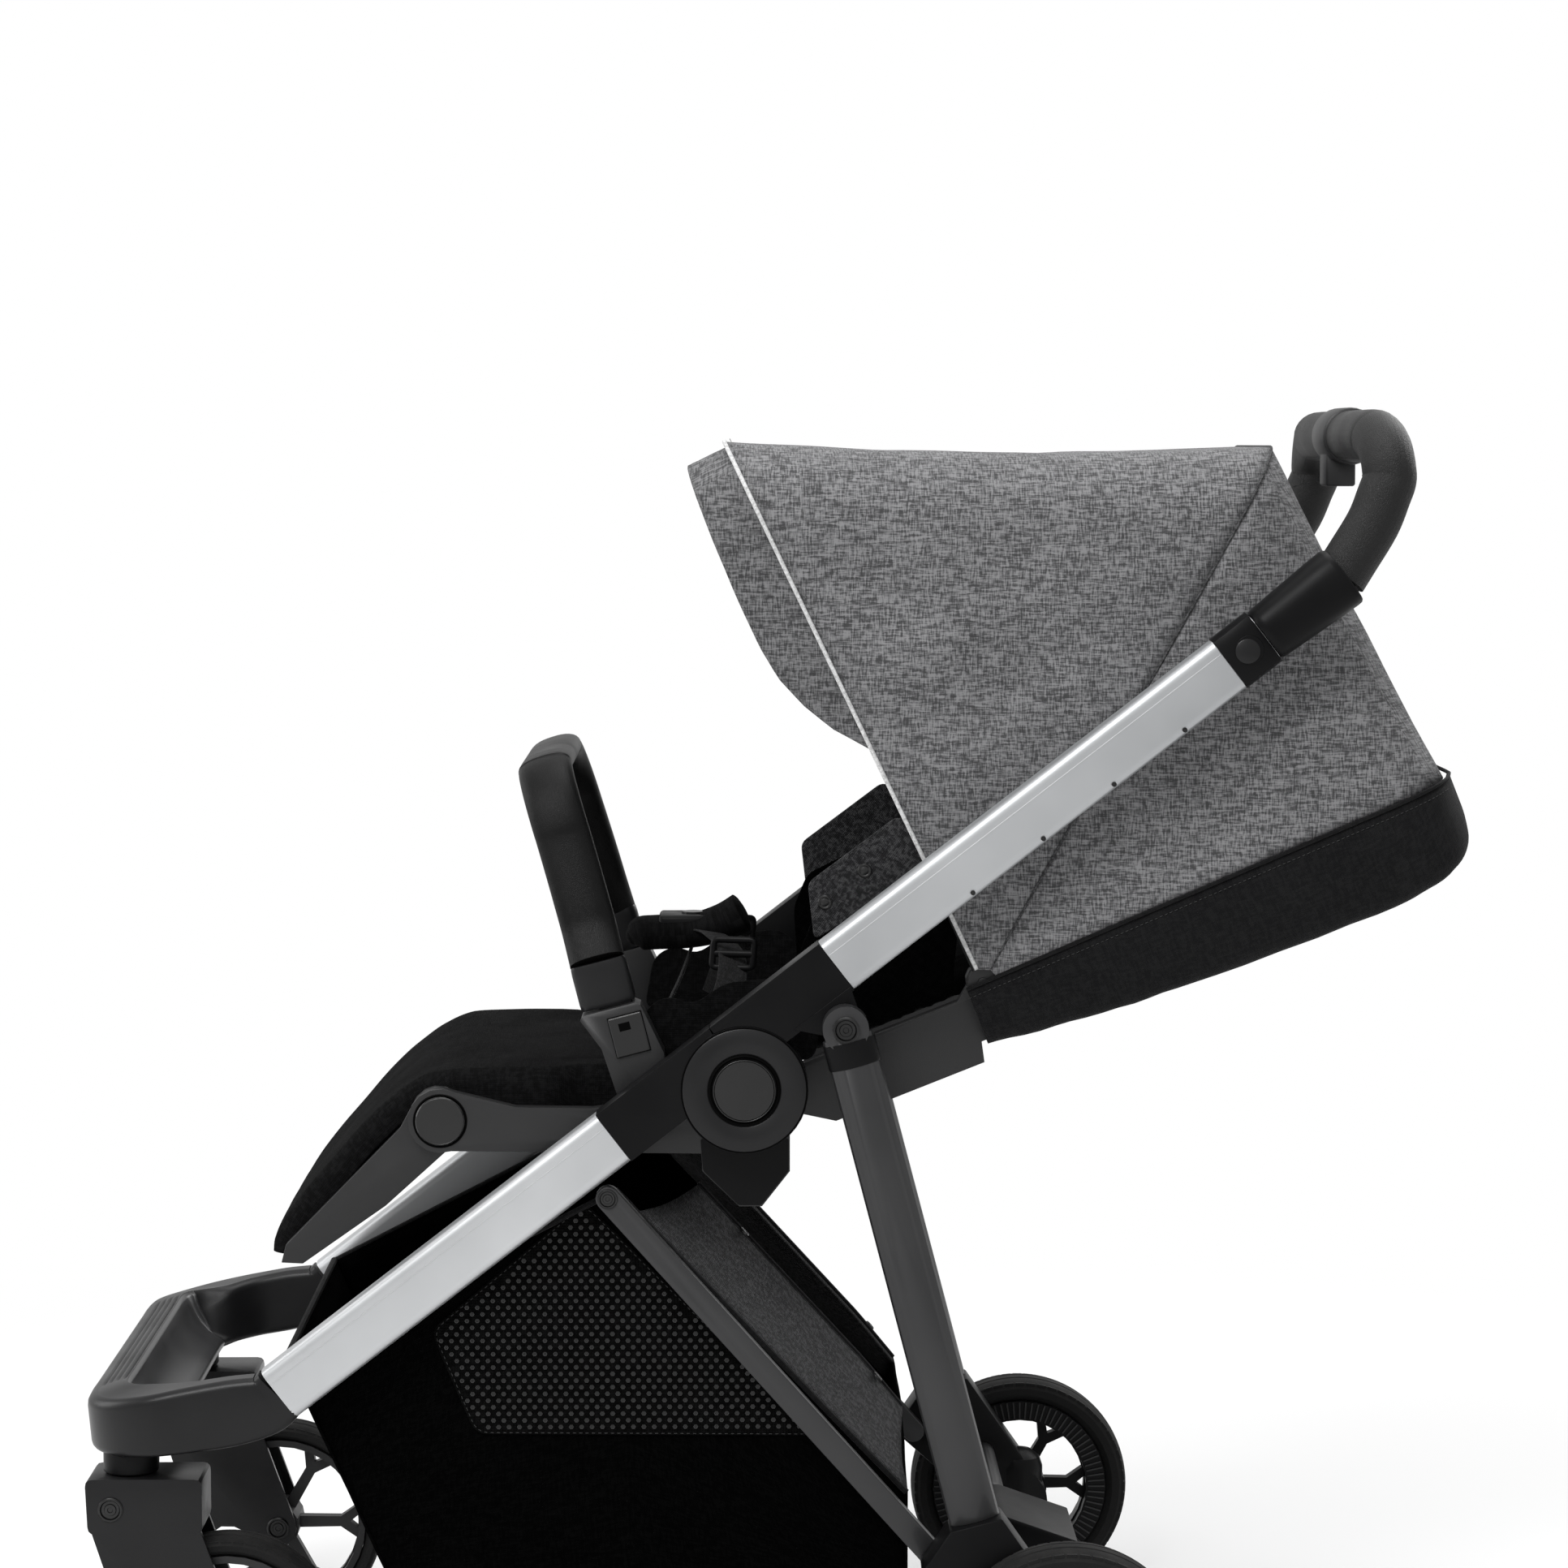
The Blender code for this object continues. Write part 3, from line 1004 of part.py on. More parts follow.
def add_harness():
    x, z = BUCKLE_POINT
    buckle = add("harness_buckle", block(at(BUCKLE_POINT), BUCKLE_SIZE), "black plastic",
                 "chassis", 0.003)
    top = z + BUCKLE_SIZE[2] / 2
    cut(buckle, rod((x, 0, top - 0.004), (x, 0, top + 0.01), BUCKLE_BUTTON_RADIUS + FIT, 20))
    profile = [(0, top + 0.0015), (BUCKLE_BUTTON_RADIUS, top + 0.0015),
               (BUCKLE_BUTTON_RADIUS, top - 0.0012), (0, top - 0.0012)]
    add("buckle_button", turned(profile, (x, 0, 0), (0, 0, 1), 20), "black plastic",
        "buckle_button")
    start = SEAT_PAD_TOP + FIT
    end = z - BUCKLE_SIZE[2] / 2 - FIT
    path = [Vector((x - 0.026, 0, start)), Vector((x - 0.024, 0, start + 0.020)),
            Vector((x - 0.002, 0, end - 0.020)), Vector((x, 0, end))]
    strap = box_section(STRAP_THICKNESS, STRAP_WIDTH, 0.001, 1)
    add("crotch_strap", loft(path, [strap] * 4, Y_AXIS), "black fabric", "chassis")


def add_backrest():
    low, high = RAIL_LOW, RAIL_HIGH
    start, end, skirt = RAIL_SKIRT
    outline = [on_back(start, skirt), on_back(end, skirt), on_back(end + 0.004, low),
               on_back(RAIL_END, low), on_back(RAIL_END, high),
               on_back(0.225, high), *arc(BOW_PIVOT, 0.013, BACK_ANGLE, BACK_ANGLE + 180, 6),
               on_back(0.180, high), on_back(0.045, high),
               *arc((0, 0), RAIL_EYE, 50, 270, 8)]
    bore = arc((0, 0), STUB_RADIUS + FIT, 0, 342, 19)
    frame = add("backrest_frame", plate(outline, RAIL_INNER, RAIL_OUTER, [bore]),
                "black plastic", "recline")
    join(frame, rod(at(on_back(RAIL_END - 0.012, (low + high) / 2), -RAIL_INNER - 0.004),
                    at(on_back(RAIL_END - 0.012, (low + high) / 2), RAIL_INNER + 0.004), 0.009))
    join(frame, plate(outline, -RAIL_OUTER, -RAIL_INNER, [bore]))
    inside = CANOPY_HALF - FABRIC - BOW_GAP
    for side in SIDES.values():
        join(frame, rod(at(BOW_PIVOT, side * (RAIL_OUTER - 0.004)),
                        at(BOW_PIVOT, side * (inside - 2 * BOW_WIDTH - 2 * BOW_GAP)), 0.009))
        join(frame, rod(at(BOW_PIVOT, side * RAIL_INNER * 1.02),
                        at(BOW_PIVOT, side * inside), BOW_PIN_RADIUS, 12))
    add_back_shell()
    lever = on_back(LEVER_PIVOT[0] - 0.0005, LEVER_PIVOT[1] - LEVER_SIZE[2] / 2)
    add("recline_lever", block(at(lever), LEVER_SIZE, BACK_ANGLE), "black plastic", "lever", 0.0008)
    pad = [on_back(BACK_PAD_FRONT, RAIL_HIGH), on_back(BACK_PAD_STEP[0], RAIL_HIGH),
           on_back(BACK_PAD_STEP[1], BACK_PAD_BOTTOM), on_back(BACK_PAD_REAR, BACK_PAD_BOTTOM),
           on_back(BACK_PAD_REAR, BACK_PAD_TOP), on_back(BACK_PAD_FRONT, BACK_PAD_TOP)]
    add("backrest_pad", plate(rounded(pad, 0.008), -BACK_PAD_HALF, BACK_PAD_HALF),
        "black fabric", "recline", 0.003)


def shell_solid(inset, forward, top):
    """The back shell's form along the back: a tray whose floor hangs and whose rear is round."""
    path, sections = [], []
    for k, (u, narrowing, low) in enumerate(SHELL_STATIONS):
        reach = u - forward if k == 0 else u - inset * (narrowing > 0 or k == SHELL_ROUND)
        half, low, edge = SHELL_HALF - narrowing - inset, low + inset, SHELL_EDGE - inset
        sections.append([(half, top), (half, low + edge), (half - edge * 0.3, low + edge * 0.3),
                         (half - edge, low), (edge - half, low),
                         (edge * 0.3 - half, low + edge * 0.3), (-half, low + edge),
                         (-half, top)])
        path.append(at(on_back(reach, 0)))
    return loft(path, sections, at(turn((0, 1), BACK_ANGLE)))


def add_back_shell():
    shell = add("back_shell", shell_solid(0.0, 0.0, SHELL_TOP), "black fabric", "recline")
    cut(shell, shell_solid(SHELL_WALL, 0.02, SHELL_TOP + 0.01))
    hem = radians(HEM_ANGLE)
    lift = (-sin(hem), cos(hem))
    base = (BOW_PIVOT[0] - lift[0] * FIT, BOW_PIVOT[1] - lift[1] * FIT)
    far = (cos(hem), sin(hem))
    reach = HEM_LENGTH * 1.5
    trim = [(base[0] - far[0] * 0.1, base[1] - far[1] * 0.1),
            (base[0] + far[0] * reach, base[1] + far[1] * reach),
            (base[0] + far[0] * reach + lift[0] * 0.2, base[1] + far[1] * reach + lift[1] * 0.2),
            (base[0] - far[0] * 0.1 + lift[0] * 0.2, base[1] - far[1] * 0.1 + lift[1] * 0.2)]
    cut(shell, plate(trim, -SHELL_HALF - 0.05, SHELL_HALF + 0.05))


def fabric_panel(first, last, rows):
    """Cloth stretched between two bows, as an open surface that Solidify gives its thickness."""
    shape = bmesh.new()
    grid = []
    for row in range(rows + 1):
        t = row / rows
        grid.append([shape.verts.new(a.lerp(b, t)) for a, b in zip(first, last)])
    for near, far in zip(grid, grid[1:]):
        for k in range(len(near) - 1):
            shape.faces.new((near[k], near[k + 1], far[k + 1], far[k]))
    bmesh.ops.recalc_face_normals(shape, faces=shape.faces)
    return shape


def add_panel(name, first, last, carrier, rows=5):
    part = add(name, fabric_panel(first, last, rows), "grey fabric", carrier)
    cloth = part.modifiers.new("cloth thickness", "SOLIDIFY")
    cloth.thickness = FABRIC
    cloth.offset = 0
    cloth.use_even_offset = True


def reach_under_cloth():
    """How far the front bow reaches, under cloth that slopes from its edge to the rear bow."""
    front, rear = FRONT_BOW_LENGTH - FABRIC / 2, REAR_BOW_LENGTH - FABRIC / 2
    span = radians(FRONT_BOW_ANGLE - REAR_BOW_ANGLE)
    behind = radians(FRONT_BOW_BEHIND) + asin(BOW_DEPTH / 2 / front)
    cloth = front * rear * sin(span) / (front * sin(behind) + rear * sin(span - behind))
    slope = atan2(front - rear * cos(span), rear * sin(span))
    return cloth - FABRIC / 2 / cos(slope) - BOW_GAP


def add_canopy():
    middle = CANOPY_HALF - FABRIC / 2
    front = whole_bow(bow_line(FRONT_BOW_ANGLE, FRONT_BOW_LENGTH - FABRIC / 2, middle,
                               CANOPY_CORNER, HEM_START))
    rear = whole_bow(bow_line(REAR_BOW_ANGLE, REAR_BOW_LENGTH - FABRIC / 2, middle,
                              CANOPY_CORNER, HEM_START))
    hem = whole_bow(bow_line(HEM_ANGLE, HEM_LENGTH - FABRIC / 2, middle, SHELL_CORNER,
                             HEM_START))
    seam = [a + (b - a).normalized() * SEAM_GAP for a, b in zip(rear, hem)]
    add_panel("canopy_front_panel", front, rear, "front_bow")
    add_panel("canopy_rear_panel", seam, hem, "recline")
    add_sun_visor()
    inside = CANOPY_HALF - FABRIC - BOW_GAP
    add_bow("front_bow", FRONT_BOW_ANGLE - FRONT_BOW_BEHIND, reach_under_cloth(), inside)
    add_bow("rear_bow", REAR_BOW_ANGLE, REAR_BOW_LENGTH - REAR_BOW_UNDER,
            inside - BOW_WIDTH - BOW_GAP)


def add_sun_visor():
    """The flap along the canopy's front edge, which stands a little ahead of it."""
    edge = bow_line(FRONT_BOW_ANGLE, FRONT_BOW_LENGTH - FABRIC / 2, CANOPY_HALF - FABRIC / 2,
                    CANOPY_CORNER, VISOR_START, 4)
    ahead = at((-sin(radians(FRONT_BOW_ANGLE)), cos(radians(FRONT_BOW_ANGLE))))
    lip = [point + ahead * reach for point, reach in zip(edge, VISOR_REACH)]
    root = [point + ahead * (SEAM_GAP / 2) for point in edge]
    add_panel("sun_visor", whole_bow(root), whole_bow(lip), "front_bow", 2)


def add_bow(name, angle, reach, outer):
    """A flat bow that stands inside the cloth, with an eye at each end on the pivot pin."""
    half = outer - BOW_WIDTH / 2
    line = whole_bow(bow_line(angle, reach - BOW_WIDTH / 2, half, CANOPY_CORNER - 0.002, 0.008))
    across = Vector((sin(radians(angle)), 0, -cos(radians(angle))))
    section = box_section(BOW_WIDTH, BOW_DEPTH, 0.0012, 1)
    bow = add("canopy_" + name, loft(line, [section] * len(line), across), "black plastic", name)
    for side in SIDES.values():
        join(bow, rod(at(BOW_PIVOT, side * (outer - BOW_WIDTH + 0.0001)),
                      at(BOW_PIVOT, side * (outer - 0.0001)), BOW_EYE_RADIUS))
        cut(bow, rod(at(BOW_PIVOT, side * (outer - BOW_WIDTH - 0.002)),
                     at(BOW_PIVOT, side * (outer + 0.002)), BOW_PIN_RADIUS + FIT, 12))


def add_carriers():
    add_carrier("chassis", (0, 0, 0))
    add_carrier("fold", (0, 0, 0), "chassis")
    add_carrier("handle", at(on_tube(UPPER_TUBE_END)), "fold")
    add_carrier("handle_release", at(GRIP_TOP), "handle")
    add_carrier("legs", at(LEG_TOP), "fold")
    add_carrier("brake", at(AXLE_TUBE_POINT), "legs")
    add_carrier("struts", at(STRUT_TOP), "chassis")
    add_carrier("recline", (0, 0, 0), "chassis")
    add_carrier("lever", at(on_back(*LEVER_PIVOT)), "recline")
    add_carrier("rear_bow", at(BOW_PIVOT), "recline")
    add_carrier("front_bow", at(BOW_PIVOT), "rear_bow")
    add_carrier("leg_rest", at(LEG_REST_PIVOT), "chassis")
    add_carrier("grab_bar", at(SOCKET_TOP), "chassis")
    add_carrier("buckle_button", at(BUCKLE_POINT), "chassis")
    for name, side in SIDES.items():
        add_carrier("rear_wheel_" + name, at(REAR_WHEEL, side * REAR_WHEEL_PLANE), "legs")
        add_carrier("caster_" + name, (SWIVEL_X, side * FRONT_WHEEL_PLANE, CROWN_TOP), "chassis")
        add_carrier("front_wheel_" + name, at(FRONT_WHEEL, side * FRONT_WHEEL_PLANE),
                    "caster_" + name)
        add_carrier("leg_rest_button_" + name, at(LEG_REST_PIVOT, side * SEAT_ARM_OUTER),
                    "chassis")
        add_carrier("grab_button_" + name, grab_button_centre(side), "chassis")


add_carriers()
add_main_frame()
add_handle()
add_legs()
add_wheels()
add_forks()
add_foot_bar()
add_basket()
add_seat()
add_backrest()
add_canopy()
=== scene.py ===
import json
import bpy
import bmesh
from math import cos, exp, pi, radians, sin
from mathutils import Matrix, Vector, noise

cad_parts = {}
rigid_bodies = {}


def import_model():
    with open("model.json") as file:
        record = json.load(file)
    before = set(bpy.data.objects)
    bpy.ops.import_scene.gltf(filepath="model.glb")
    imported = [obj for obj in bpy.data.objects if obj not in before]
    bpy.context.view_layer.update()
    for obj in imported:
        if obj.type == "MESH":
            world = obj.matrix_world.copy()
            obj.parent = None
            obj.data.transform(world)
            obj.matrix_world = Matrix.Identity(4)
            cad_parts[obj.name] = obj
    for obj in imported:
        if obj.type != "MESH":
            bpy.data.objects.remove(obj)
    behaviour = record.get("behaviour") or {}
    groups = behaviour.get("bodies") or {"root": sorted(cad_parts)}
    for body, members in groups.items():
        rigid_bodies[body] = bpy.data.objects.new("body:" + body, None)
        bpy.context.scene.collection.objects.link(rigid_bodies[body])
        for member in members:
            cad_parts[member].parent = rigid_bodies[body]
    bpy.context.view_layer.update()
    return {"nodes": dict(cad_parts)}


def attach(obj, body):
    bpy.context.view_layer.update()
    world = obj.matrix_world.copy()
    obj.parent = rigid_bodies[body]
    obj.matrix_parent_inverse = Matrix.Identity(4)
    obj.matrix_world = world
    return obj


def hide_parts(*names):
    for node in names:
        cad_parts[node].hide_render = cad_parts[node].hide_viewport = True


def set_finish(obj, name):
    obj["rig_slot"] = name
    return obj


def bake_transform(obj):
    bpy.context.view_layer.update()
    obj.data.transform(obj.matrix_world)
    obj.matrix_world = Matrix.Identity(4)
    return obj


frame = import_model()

# Places in metres; side-view points (x, z) are measured from the hub axis
hub = {"x": -0.0291, "z": 0.541, "frameAngle": 37.7, "tubeOffset": 0.0325, "backAngle": 21.7,
       "knee": (-0.2395, -0.0297)}
sides = {"left": -1, "right": 1}


def at(point, y=0.0):
    return Vector((hub["x"] + point[0], y, hub["z"] + point[1]))


def turned(point, angle):
    c, s = cos(radians(angle)), sin(radians(angle))
    return (point[0] * c - point[1] * s, point[0] * s + point[1] * c)


def sloped(point, angle):
    x, z = turned(point, angle)
    return Vector((x, 0, z))


def onTube(s, n, y=0.0):
    return at(turned((s, n), hub["frameAngle"]), y)


def onBack(u, w, y=0.0):
    return at(turned((u, w), hub["backAngle"]), y)


# Shader groups shared by the finishes
def addNode(tree, kind, sockets=None, **props):
    made = tree.nodes.new(kind)
    for key, value in props.items():
        setattr(made, key, value)
    for key, value in (sockets or {}).items():
        if isinstance(value, bpy.types.NodeSocket):
            tree.links.new(value, made.inputs[key])
        else:
            made.inputs[key].default_value = value
    return made


def math(tree, operation, first, second=0.0):
    made = addNode(tree, "ShaderNodeMath", {0: first, 1: second}, operation=operation)
    return made.outputs[0]


def newGroup(name, inputs, outputs):
    tree = bpy.data.node_groups.new(name, "ShaderNodeTree")
    for label, kind, value in inputs:
        socket = tree.interface.new_socket(label, in_out="INPUT", socket_type="NodeSocket" + kind)
        if value is not None:
            socket.default_value = value
    for label, kind in outputs:
        tree.interface.new_socket(label, in_out="OUTPUT", socket_type="NodeSocket" + kind)
    return tree, tree.nodes.new("NodeGroupInput").outputs, tree.nodes.new("NodeGroupOutput").inputs


def makeGrainGroup():
    tree, given, put = newGroup("fineGrain", [("Vector", "Vector", None), ("Scale", "Float", 600.0),
                                              ("Patch Scale", "Float", 14.0)],
                                [("Height", "Float"), ("Patch", "Float")])
    fine = addNode(tree, "ShaderNodeTexNoise", {"Vector": given["Vector"], "Scale": given["Scale"],
                                                "Detail": 3.0})
    broad = addNode(tree, "ShaderNodeTexNoise", {"Vector": given["Vector"], "Scale": given["Patch Scale"],
                                                 "Detail": 4.0})
    tree.links.new(fine.outputs["Fac"], put["Height"])
    tree.links.new(broad.outputs["Fac"], put["Patch"])
    return tree


def makeDustGroup():
    tree, given, put = newGroup("dustVeil", [("Color", "Color", (0.1, 0.1, 0.1, 1)),
                                             ("Dust", "Color", (0.3, 0.3, 0.3, 1)),
                                             ("Amount", "Float", 0.1), ("Vector", "Vector", None)],
                                [("Color", "Color")])
    facing = addNode(tree, "ShaderNodeNewGeometry")
    split = addNode(tree, "ShaderNodeSeparateXYZ", {0: facing.outputs["Normal"]})
    upward = addNode(tree, "ShaderNodeMapRange", {"Value": split.outputs["Z"], "From Min": 0.1,
                                                  "From Max": 1.0})
    speck = addNode(tree, "ShaderNodeTexNoise", {"Vector": given["Vector"], "Scale": 38.0, "Detail": 6.0,
                                                 "Roughness": 0.7})
    patch = addNode(tree, "ShaderNodeMapRange", {"Value": speck.outputs["Fac"], "From Min": 0.42,
                                                 "From Max": 0.75})
    share = math(tree, "MULTIPLY", upward.outputs[0], patch.outputs[0])
    share = math(tree, "MULTIPLY", share, given["Amount"])
    mixed = addNode(tree, "ShaderNodeMix", {"Factor": share}, data_type="RGBA")
    tree.links.new(given["Color"], mixed.inputs[6])
    tree.links.new(given["Dust"], mixed.inputs[7])
    tree.links.new(mixed.outputs[2], put["Color"])
    return tree


def makeWeaveGroup():
    # threads across and along a cloth, from its own map in metres
    tree, given, put = newGroup("wovenThreads", [("Vector", "Vector", None), ("Thread", "Float", 0.001),
                                                 ("Streak", "Float", 7.0)],
                                [("Height", "Float"), ("Fleck", "Float"), ("Patch", "Float")])
    split = addNode(tree, "ShaderNodeSeparateXYZ", {0: given["Vector"]})
    across = math(tree, "DIVIDE", split.outputs["X"], given["Thread"])
    along = math(tree, "DIVIDE", split.outputs["Y"], given["Thread"])
    streaks = []
    for first, second, seed in ((across, math(tree, "DIVIDE", along, given["Streak"]), 0.0),
                                (math(tree, "DIVIDE", across, given["Streak"]), along, 31.7)):
        place = addNode(tree, "ShaderNodeCombineXYZ", {"X": first, "Y": second, "Z": seed})
        streak = addNode(tree, "ShaderNodeTexNoise", {"Vector": place.outputs[0], "Scale": 0.55,
                                                      "Detail": 2.0, "Roughness": 0.6})
        streaks.append(streak.outputs["Fac"])
    fleck = math(tree, "SUBTRACT", math(tree, "ADD", streaks[0], streaks[1]), 0.5)
    tree.links.new(fleck, put["Fleck"])
    waves = [math(tree, "ABSOLUTE", math(tree, "SINE", math(tree, "MULTIPLY", way, pi)))
             for way in (across, along)]
    tree.links.new(math(tree, "MULTIPLY", waves[0], waves[1]), put["Height"])
    broad = addNode(tree, "ShaderNodeTexNoise", {"Vector": given["Vector"], "Scale": 16.0, "Detail": 3.0})
    tree.links.new(broad.outputs["Fac"], put["Patch"])
    return tree


grainGroup, dustGroup, weaveGroup = makeGrainGroup(), makeDustGroup(), makeWeaveGroup()


def newMaterial(name, fixed):
    made = bpy.data.materials.new(name)
    made.use_nodes = True
    shader = made.node_tree.nodes["Principled BSDF"]
    for key, value in fixed.items():
        shader.inputs[key].default_value = value
    return made, made.node_tree, shader


def useGroup(tree, group, sockets):
    made = tree.nodes.new("ShaderNodeGroup")
    made.node_tree = group
    for key, value in sockets.items():
        if isinstance(value, bpy.types.NodeSocket):
            tree.links.new(value, made.inputs[key])
        else:
            made.inputs[key].default_value = value
    return made.outputs


def toned(tree, factor, low, high, dark, light):
    spread = addNode(tree, "ShaderNodeMapRange", {"Value": factor, "From Min": low, "From Max": high})
    mixed = addNode(tree, "ShaderNodeMix", {"Factor": spread.outputs[0]}, data_type="RGBA")
    mixed.inputs[6].default_value = (*dark, 1)
    mixed.inputs[7].default_value = (*light, 1)
    return mixed.outputs[2]


def spanned(tree, factor, low, high):
    return addNode(tree, "ShaderNodeMapRange", {"Value": factor, "From Min": 0.3, "From Max": 0.7,
                                                "To Min": low, "To Max": high}).outputs[0]


def raised(tree, shader, height, strength, distance):
    bump = addNode(tree, "ShaderNodeBump", {"Height": height, "Strength": strength, "Distance": distance})
    tree.links.new(bump.outputs[0], shader.inputs["Normal"])


def mouldedMaterial(name, look):
    made, tree, shader = newMaterial(name, {"Specular IOR Level": look["gloss"]})
    place = addNode(tree, "ShaderNodeTexCoord").outputs["Object"]
    grain = useGroup(tree, grainGroup, {"Vector": place, "Scale": look["grain"],
                                        "Patch Scale": look["patch"]})
    colour = toned(tree, grain["Patch"], 0.3, 0.7, look["dark"], look["light"])
    dusted = useGroup(tree, dustGroup, {"Color": colour, "Dust": (*look["dust"], 1),
                                        "Amount": look["dustAmount"], "Vector": place})
    tree.links.new(dusted["Color"], shader.inputs["Base Color"])
    tree.links.new(spanned(tree, grain["Patch"], *look["rough"]), shader.inputs["Roughness"])
    raised(tree, shader, grain["Height"], look["bump"], look["depth"])
    return made


def metalMaterial(name, look):
    made, tree, shader = newMaterial(name, {"Metallic": look["metal"], "Coat Weight": look["coat"]})
    place = addNode(tree, "ShaderNodeTexCoord").outputs["Object"]
    lined = addNode(tree, "ShaderNodeMapping", {"Vector": place, "Rotation": (0, radians(look["angle"]), 0),
                                                "Scale": (0.02, 1, 1)})
    stretched = addNode(tree, "ShaderNodeMapping", {"Vector": lined.outputs[0]})
    grain = useGroup(tree, grainGroup, {"Vector": stretched.outputs[0], "Scale": look["grain"],
                                        "Patch Scale": 9.0})
    smudge = useGroup(tree, grainGroup, {"Vector": place, "Scale": 60.0, "Patch Scale": look["patch"]})
    colour = toned(tree, smudge["Patch"], 0.3, 0.7, look["dark"], look["light"])
    tree.links.new(colour, shader.inputs["Base Color"])
    tree.links.new(spanned(tree, smudge["Patch"], *look["rough"]), shader.inputs["Roughness"])
    raised(tree, shader, grain["Height"], look["bump"], look["depth"])
    return made


def leatherMaterial(name, look):
    made, tree, shader = newMaterial(name, {"Sheen Weight": 0.01, "Specular IOR Level": look["gloss"]})
    place = addNode(tree, "ShaderNodeTexCoord").outputs["Object"]
    bent = addNode(tree, "ShaderNodeTexNoise", {"Vector": place, "Scale": 300.0, "Detail": 2.0})
    shifted = addNode(tree, "ShaderNodeVectorMath", {0: bent.outputs["Color"], "Scale": 0.0012},
                      operation="SCALE")
    moved = addNode(tree, "ShaderNodeVectorMath", {0: place, 1: shifted.outputs[0]}, operation="ADD")
    pebbles = addNode(tree, "ShaderNodeTexVoronoi", {"Vector": moved.outputs[0], "Scale": look["pebbles"]},
                      feature="DISTANCE_TO_EDGE")
    crease = addNode(tree, "ShaderNodeMapRange", {"Value": pebbles.outputs["Distance"], "From Max": 0.25})
    grain = useGroup(tree, grainGroup, {"Vector": place, "Scale": 900.0, "Patch Scale": 20.0})
    colour = toned(tree, grain["Patch"], 0.3, 0.7, look["dark"], look["light"])
    tree.links.new(colour, shader.inputs["Base Color"])
    tree.links.new(spanned(tree, grain["Patch"], *look["rough"]), shader.inputs["Roughness"])
    raised(tree, shader, crease.outputs[0], look["bump"], look["depth"])
    return made


def clothMaterial(name, look):
    made, tree, shader = newMaterial(name, {"Sheen Weight": look["sheen"], "Sheen Roughness": 0.5,
                                            "Specular IOR Level": look["gloss"]})
    place = addNode(tree, "ShaderNodeTexCoord").outputs["UV"]
    woven = useGroup(tree, weaveGroup, {"Vector": place, "Thread": look["thread"], "Streak": look["streak"]})
    ramp = addNode(tree, "ShaderNodeValToRGB", {"Fac": woven["Fleck"]})
    stops = ramp.color_ramp.elements
    stops[0].position, stops[0].color = look["stops"][0], (*look["dark"], 1)
    stops[1].position, stops[1].color = look["stops"][2], (*look["light"], 1)
    middle = stops.new(look["stops"][1])
    middle.color = (*look["middle"], 1)
    shade = addNode(tree, "ShaderNodeMix", {"Factor": spanned(tree, woven["Patch"], 0.0, look["mottle"])},
                    data_type="RGBA", blend_type="MULTIPLY")
    tree.links.new(ramp.outputs[0], shade.inputs[6])
    shade.inputs[7].default_value = (0.6, 0.6, 0.6, 1)
    tree.links.new(shade.outputs[2], shader.inputs["Base Color"])
    tree.links.new(spanned(tree, woven["Patch"], *look["rough"]), shader.inputs["Roughness"])
    raised(tree, shader, woven["Height"], look["bump"], look["depth"])
    return made


# Finishes: colours from dark to light, a range of roughness, and the strength and height of a fine relief
usualMoulded = dict(gloss=0.5, grain=1500.0, patch=18.0, rough=(0.6, 0.75), bump=0.2, depth=0.0002,
                    dust=(0.06, 0.06, 0.06), dustAmount=0.05)
moulded = {
    "blackPlastic": dict(gloss=0.42, dark=(0.0085, 0.0085, 0.009), light=(0.0125, 0.0125, 0.013),
        rough=(0.4, 0.52), bump=0.25, depth=0.0003, dust=(0.08, 0.08, 0.08), dustAmount=0.08),
    "deepPlastic": dict(gloss=0.11, dark=(0.0028, 0.0028, 0.0031), light=(0.0044, 0.0044, 0.0047),
        rough=(0.34, 0.46), depth=0.0003),
    "satinPlastic": dict(gloss=0.26, patch=16.0, dark=(0.0055, 0.0055, 0.006),
        light=(0.0085, 0.0085, 0.009), rough=(0.3, 0.4), depth=0.0003, dust=(0.07, 0.07, 0.07),
        dustAmount=0.06),
    "wallPlastic": dict(patch=10.0, dark=(0.026, 0.026, 0.027), light=(0.044, 0.044, 0.045),
        rough=(0.28, 0.36), bump=0.1, dust=(0.07, 0.07, 0.07), dustAmount=0.04),
    # near-black finish that paints the shade inside the gaps, slots and seam lines round the fittings
    "recess": dict(gloss=0.03, grain=900.0, patch=12.0, dark=(0.0008, 0.0008, 0.0008),
        light=(0.0014, 0.0014, 0.0014), rough=(0.5, 0.6), bump=0.1, dust=(0.02, 0.02, 0.02), dustAmount=0.02),
    "glossPlastic": dict(gloss=0.45, grain=900.0, patch=12.0, dark=(0.006, 0.006, 0.006),
        light=(0.009, 0.009, 0.009), rough=(0.22, 0.34), bump=0.05),
    "tyreRubber": dict(gloss=0.2, grain=800.0, patch=25.0, dark=(0.0055, 0.0055, 0.0055),
        light=(0.01, 0.01, 0.01), rough=(0.68, 0.85), bump=0.5, depth=0.0006, dust=(0.07, 0.066, 0.062),
        dustAmount=0.25),
    "blackThread": dict(grain=2600.0, patch=60.0, dark=(0.012, 0.012, 0.012), light=(0.022, 0.022, 0.022),
        bump=0.3, dust=(0.1, 0.1, 0.1), dustAmount=0.0),
    "greyThread": dict(grain=2600.0, patch=60.0, dark=(0.1, 0.1, 0.1), light=(0.18, 0.18, 0.18), bump=0.3,
        dust=(0.1, 0.1, 0.1), dustAmount=0.0)}
usualMetals = dict(metal=0.75, coat=0.0, angle=37.7, grain=2400.0, patch=7.0, rough=(0.36, 0.48), bump=0.1,
                   depth=0.0002)
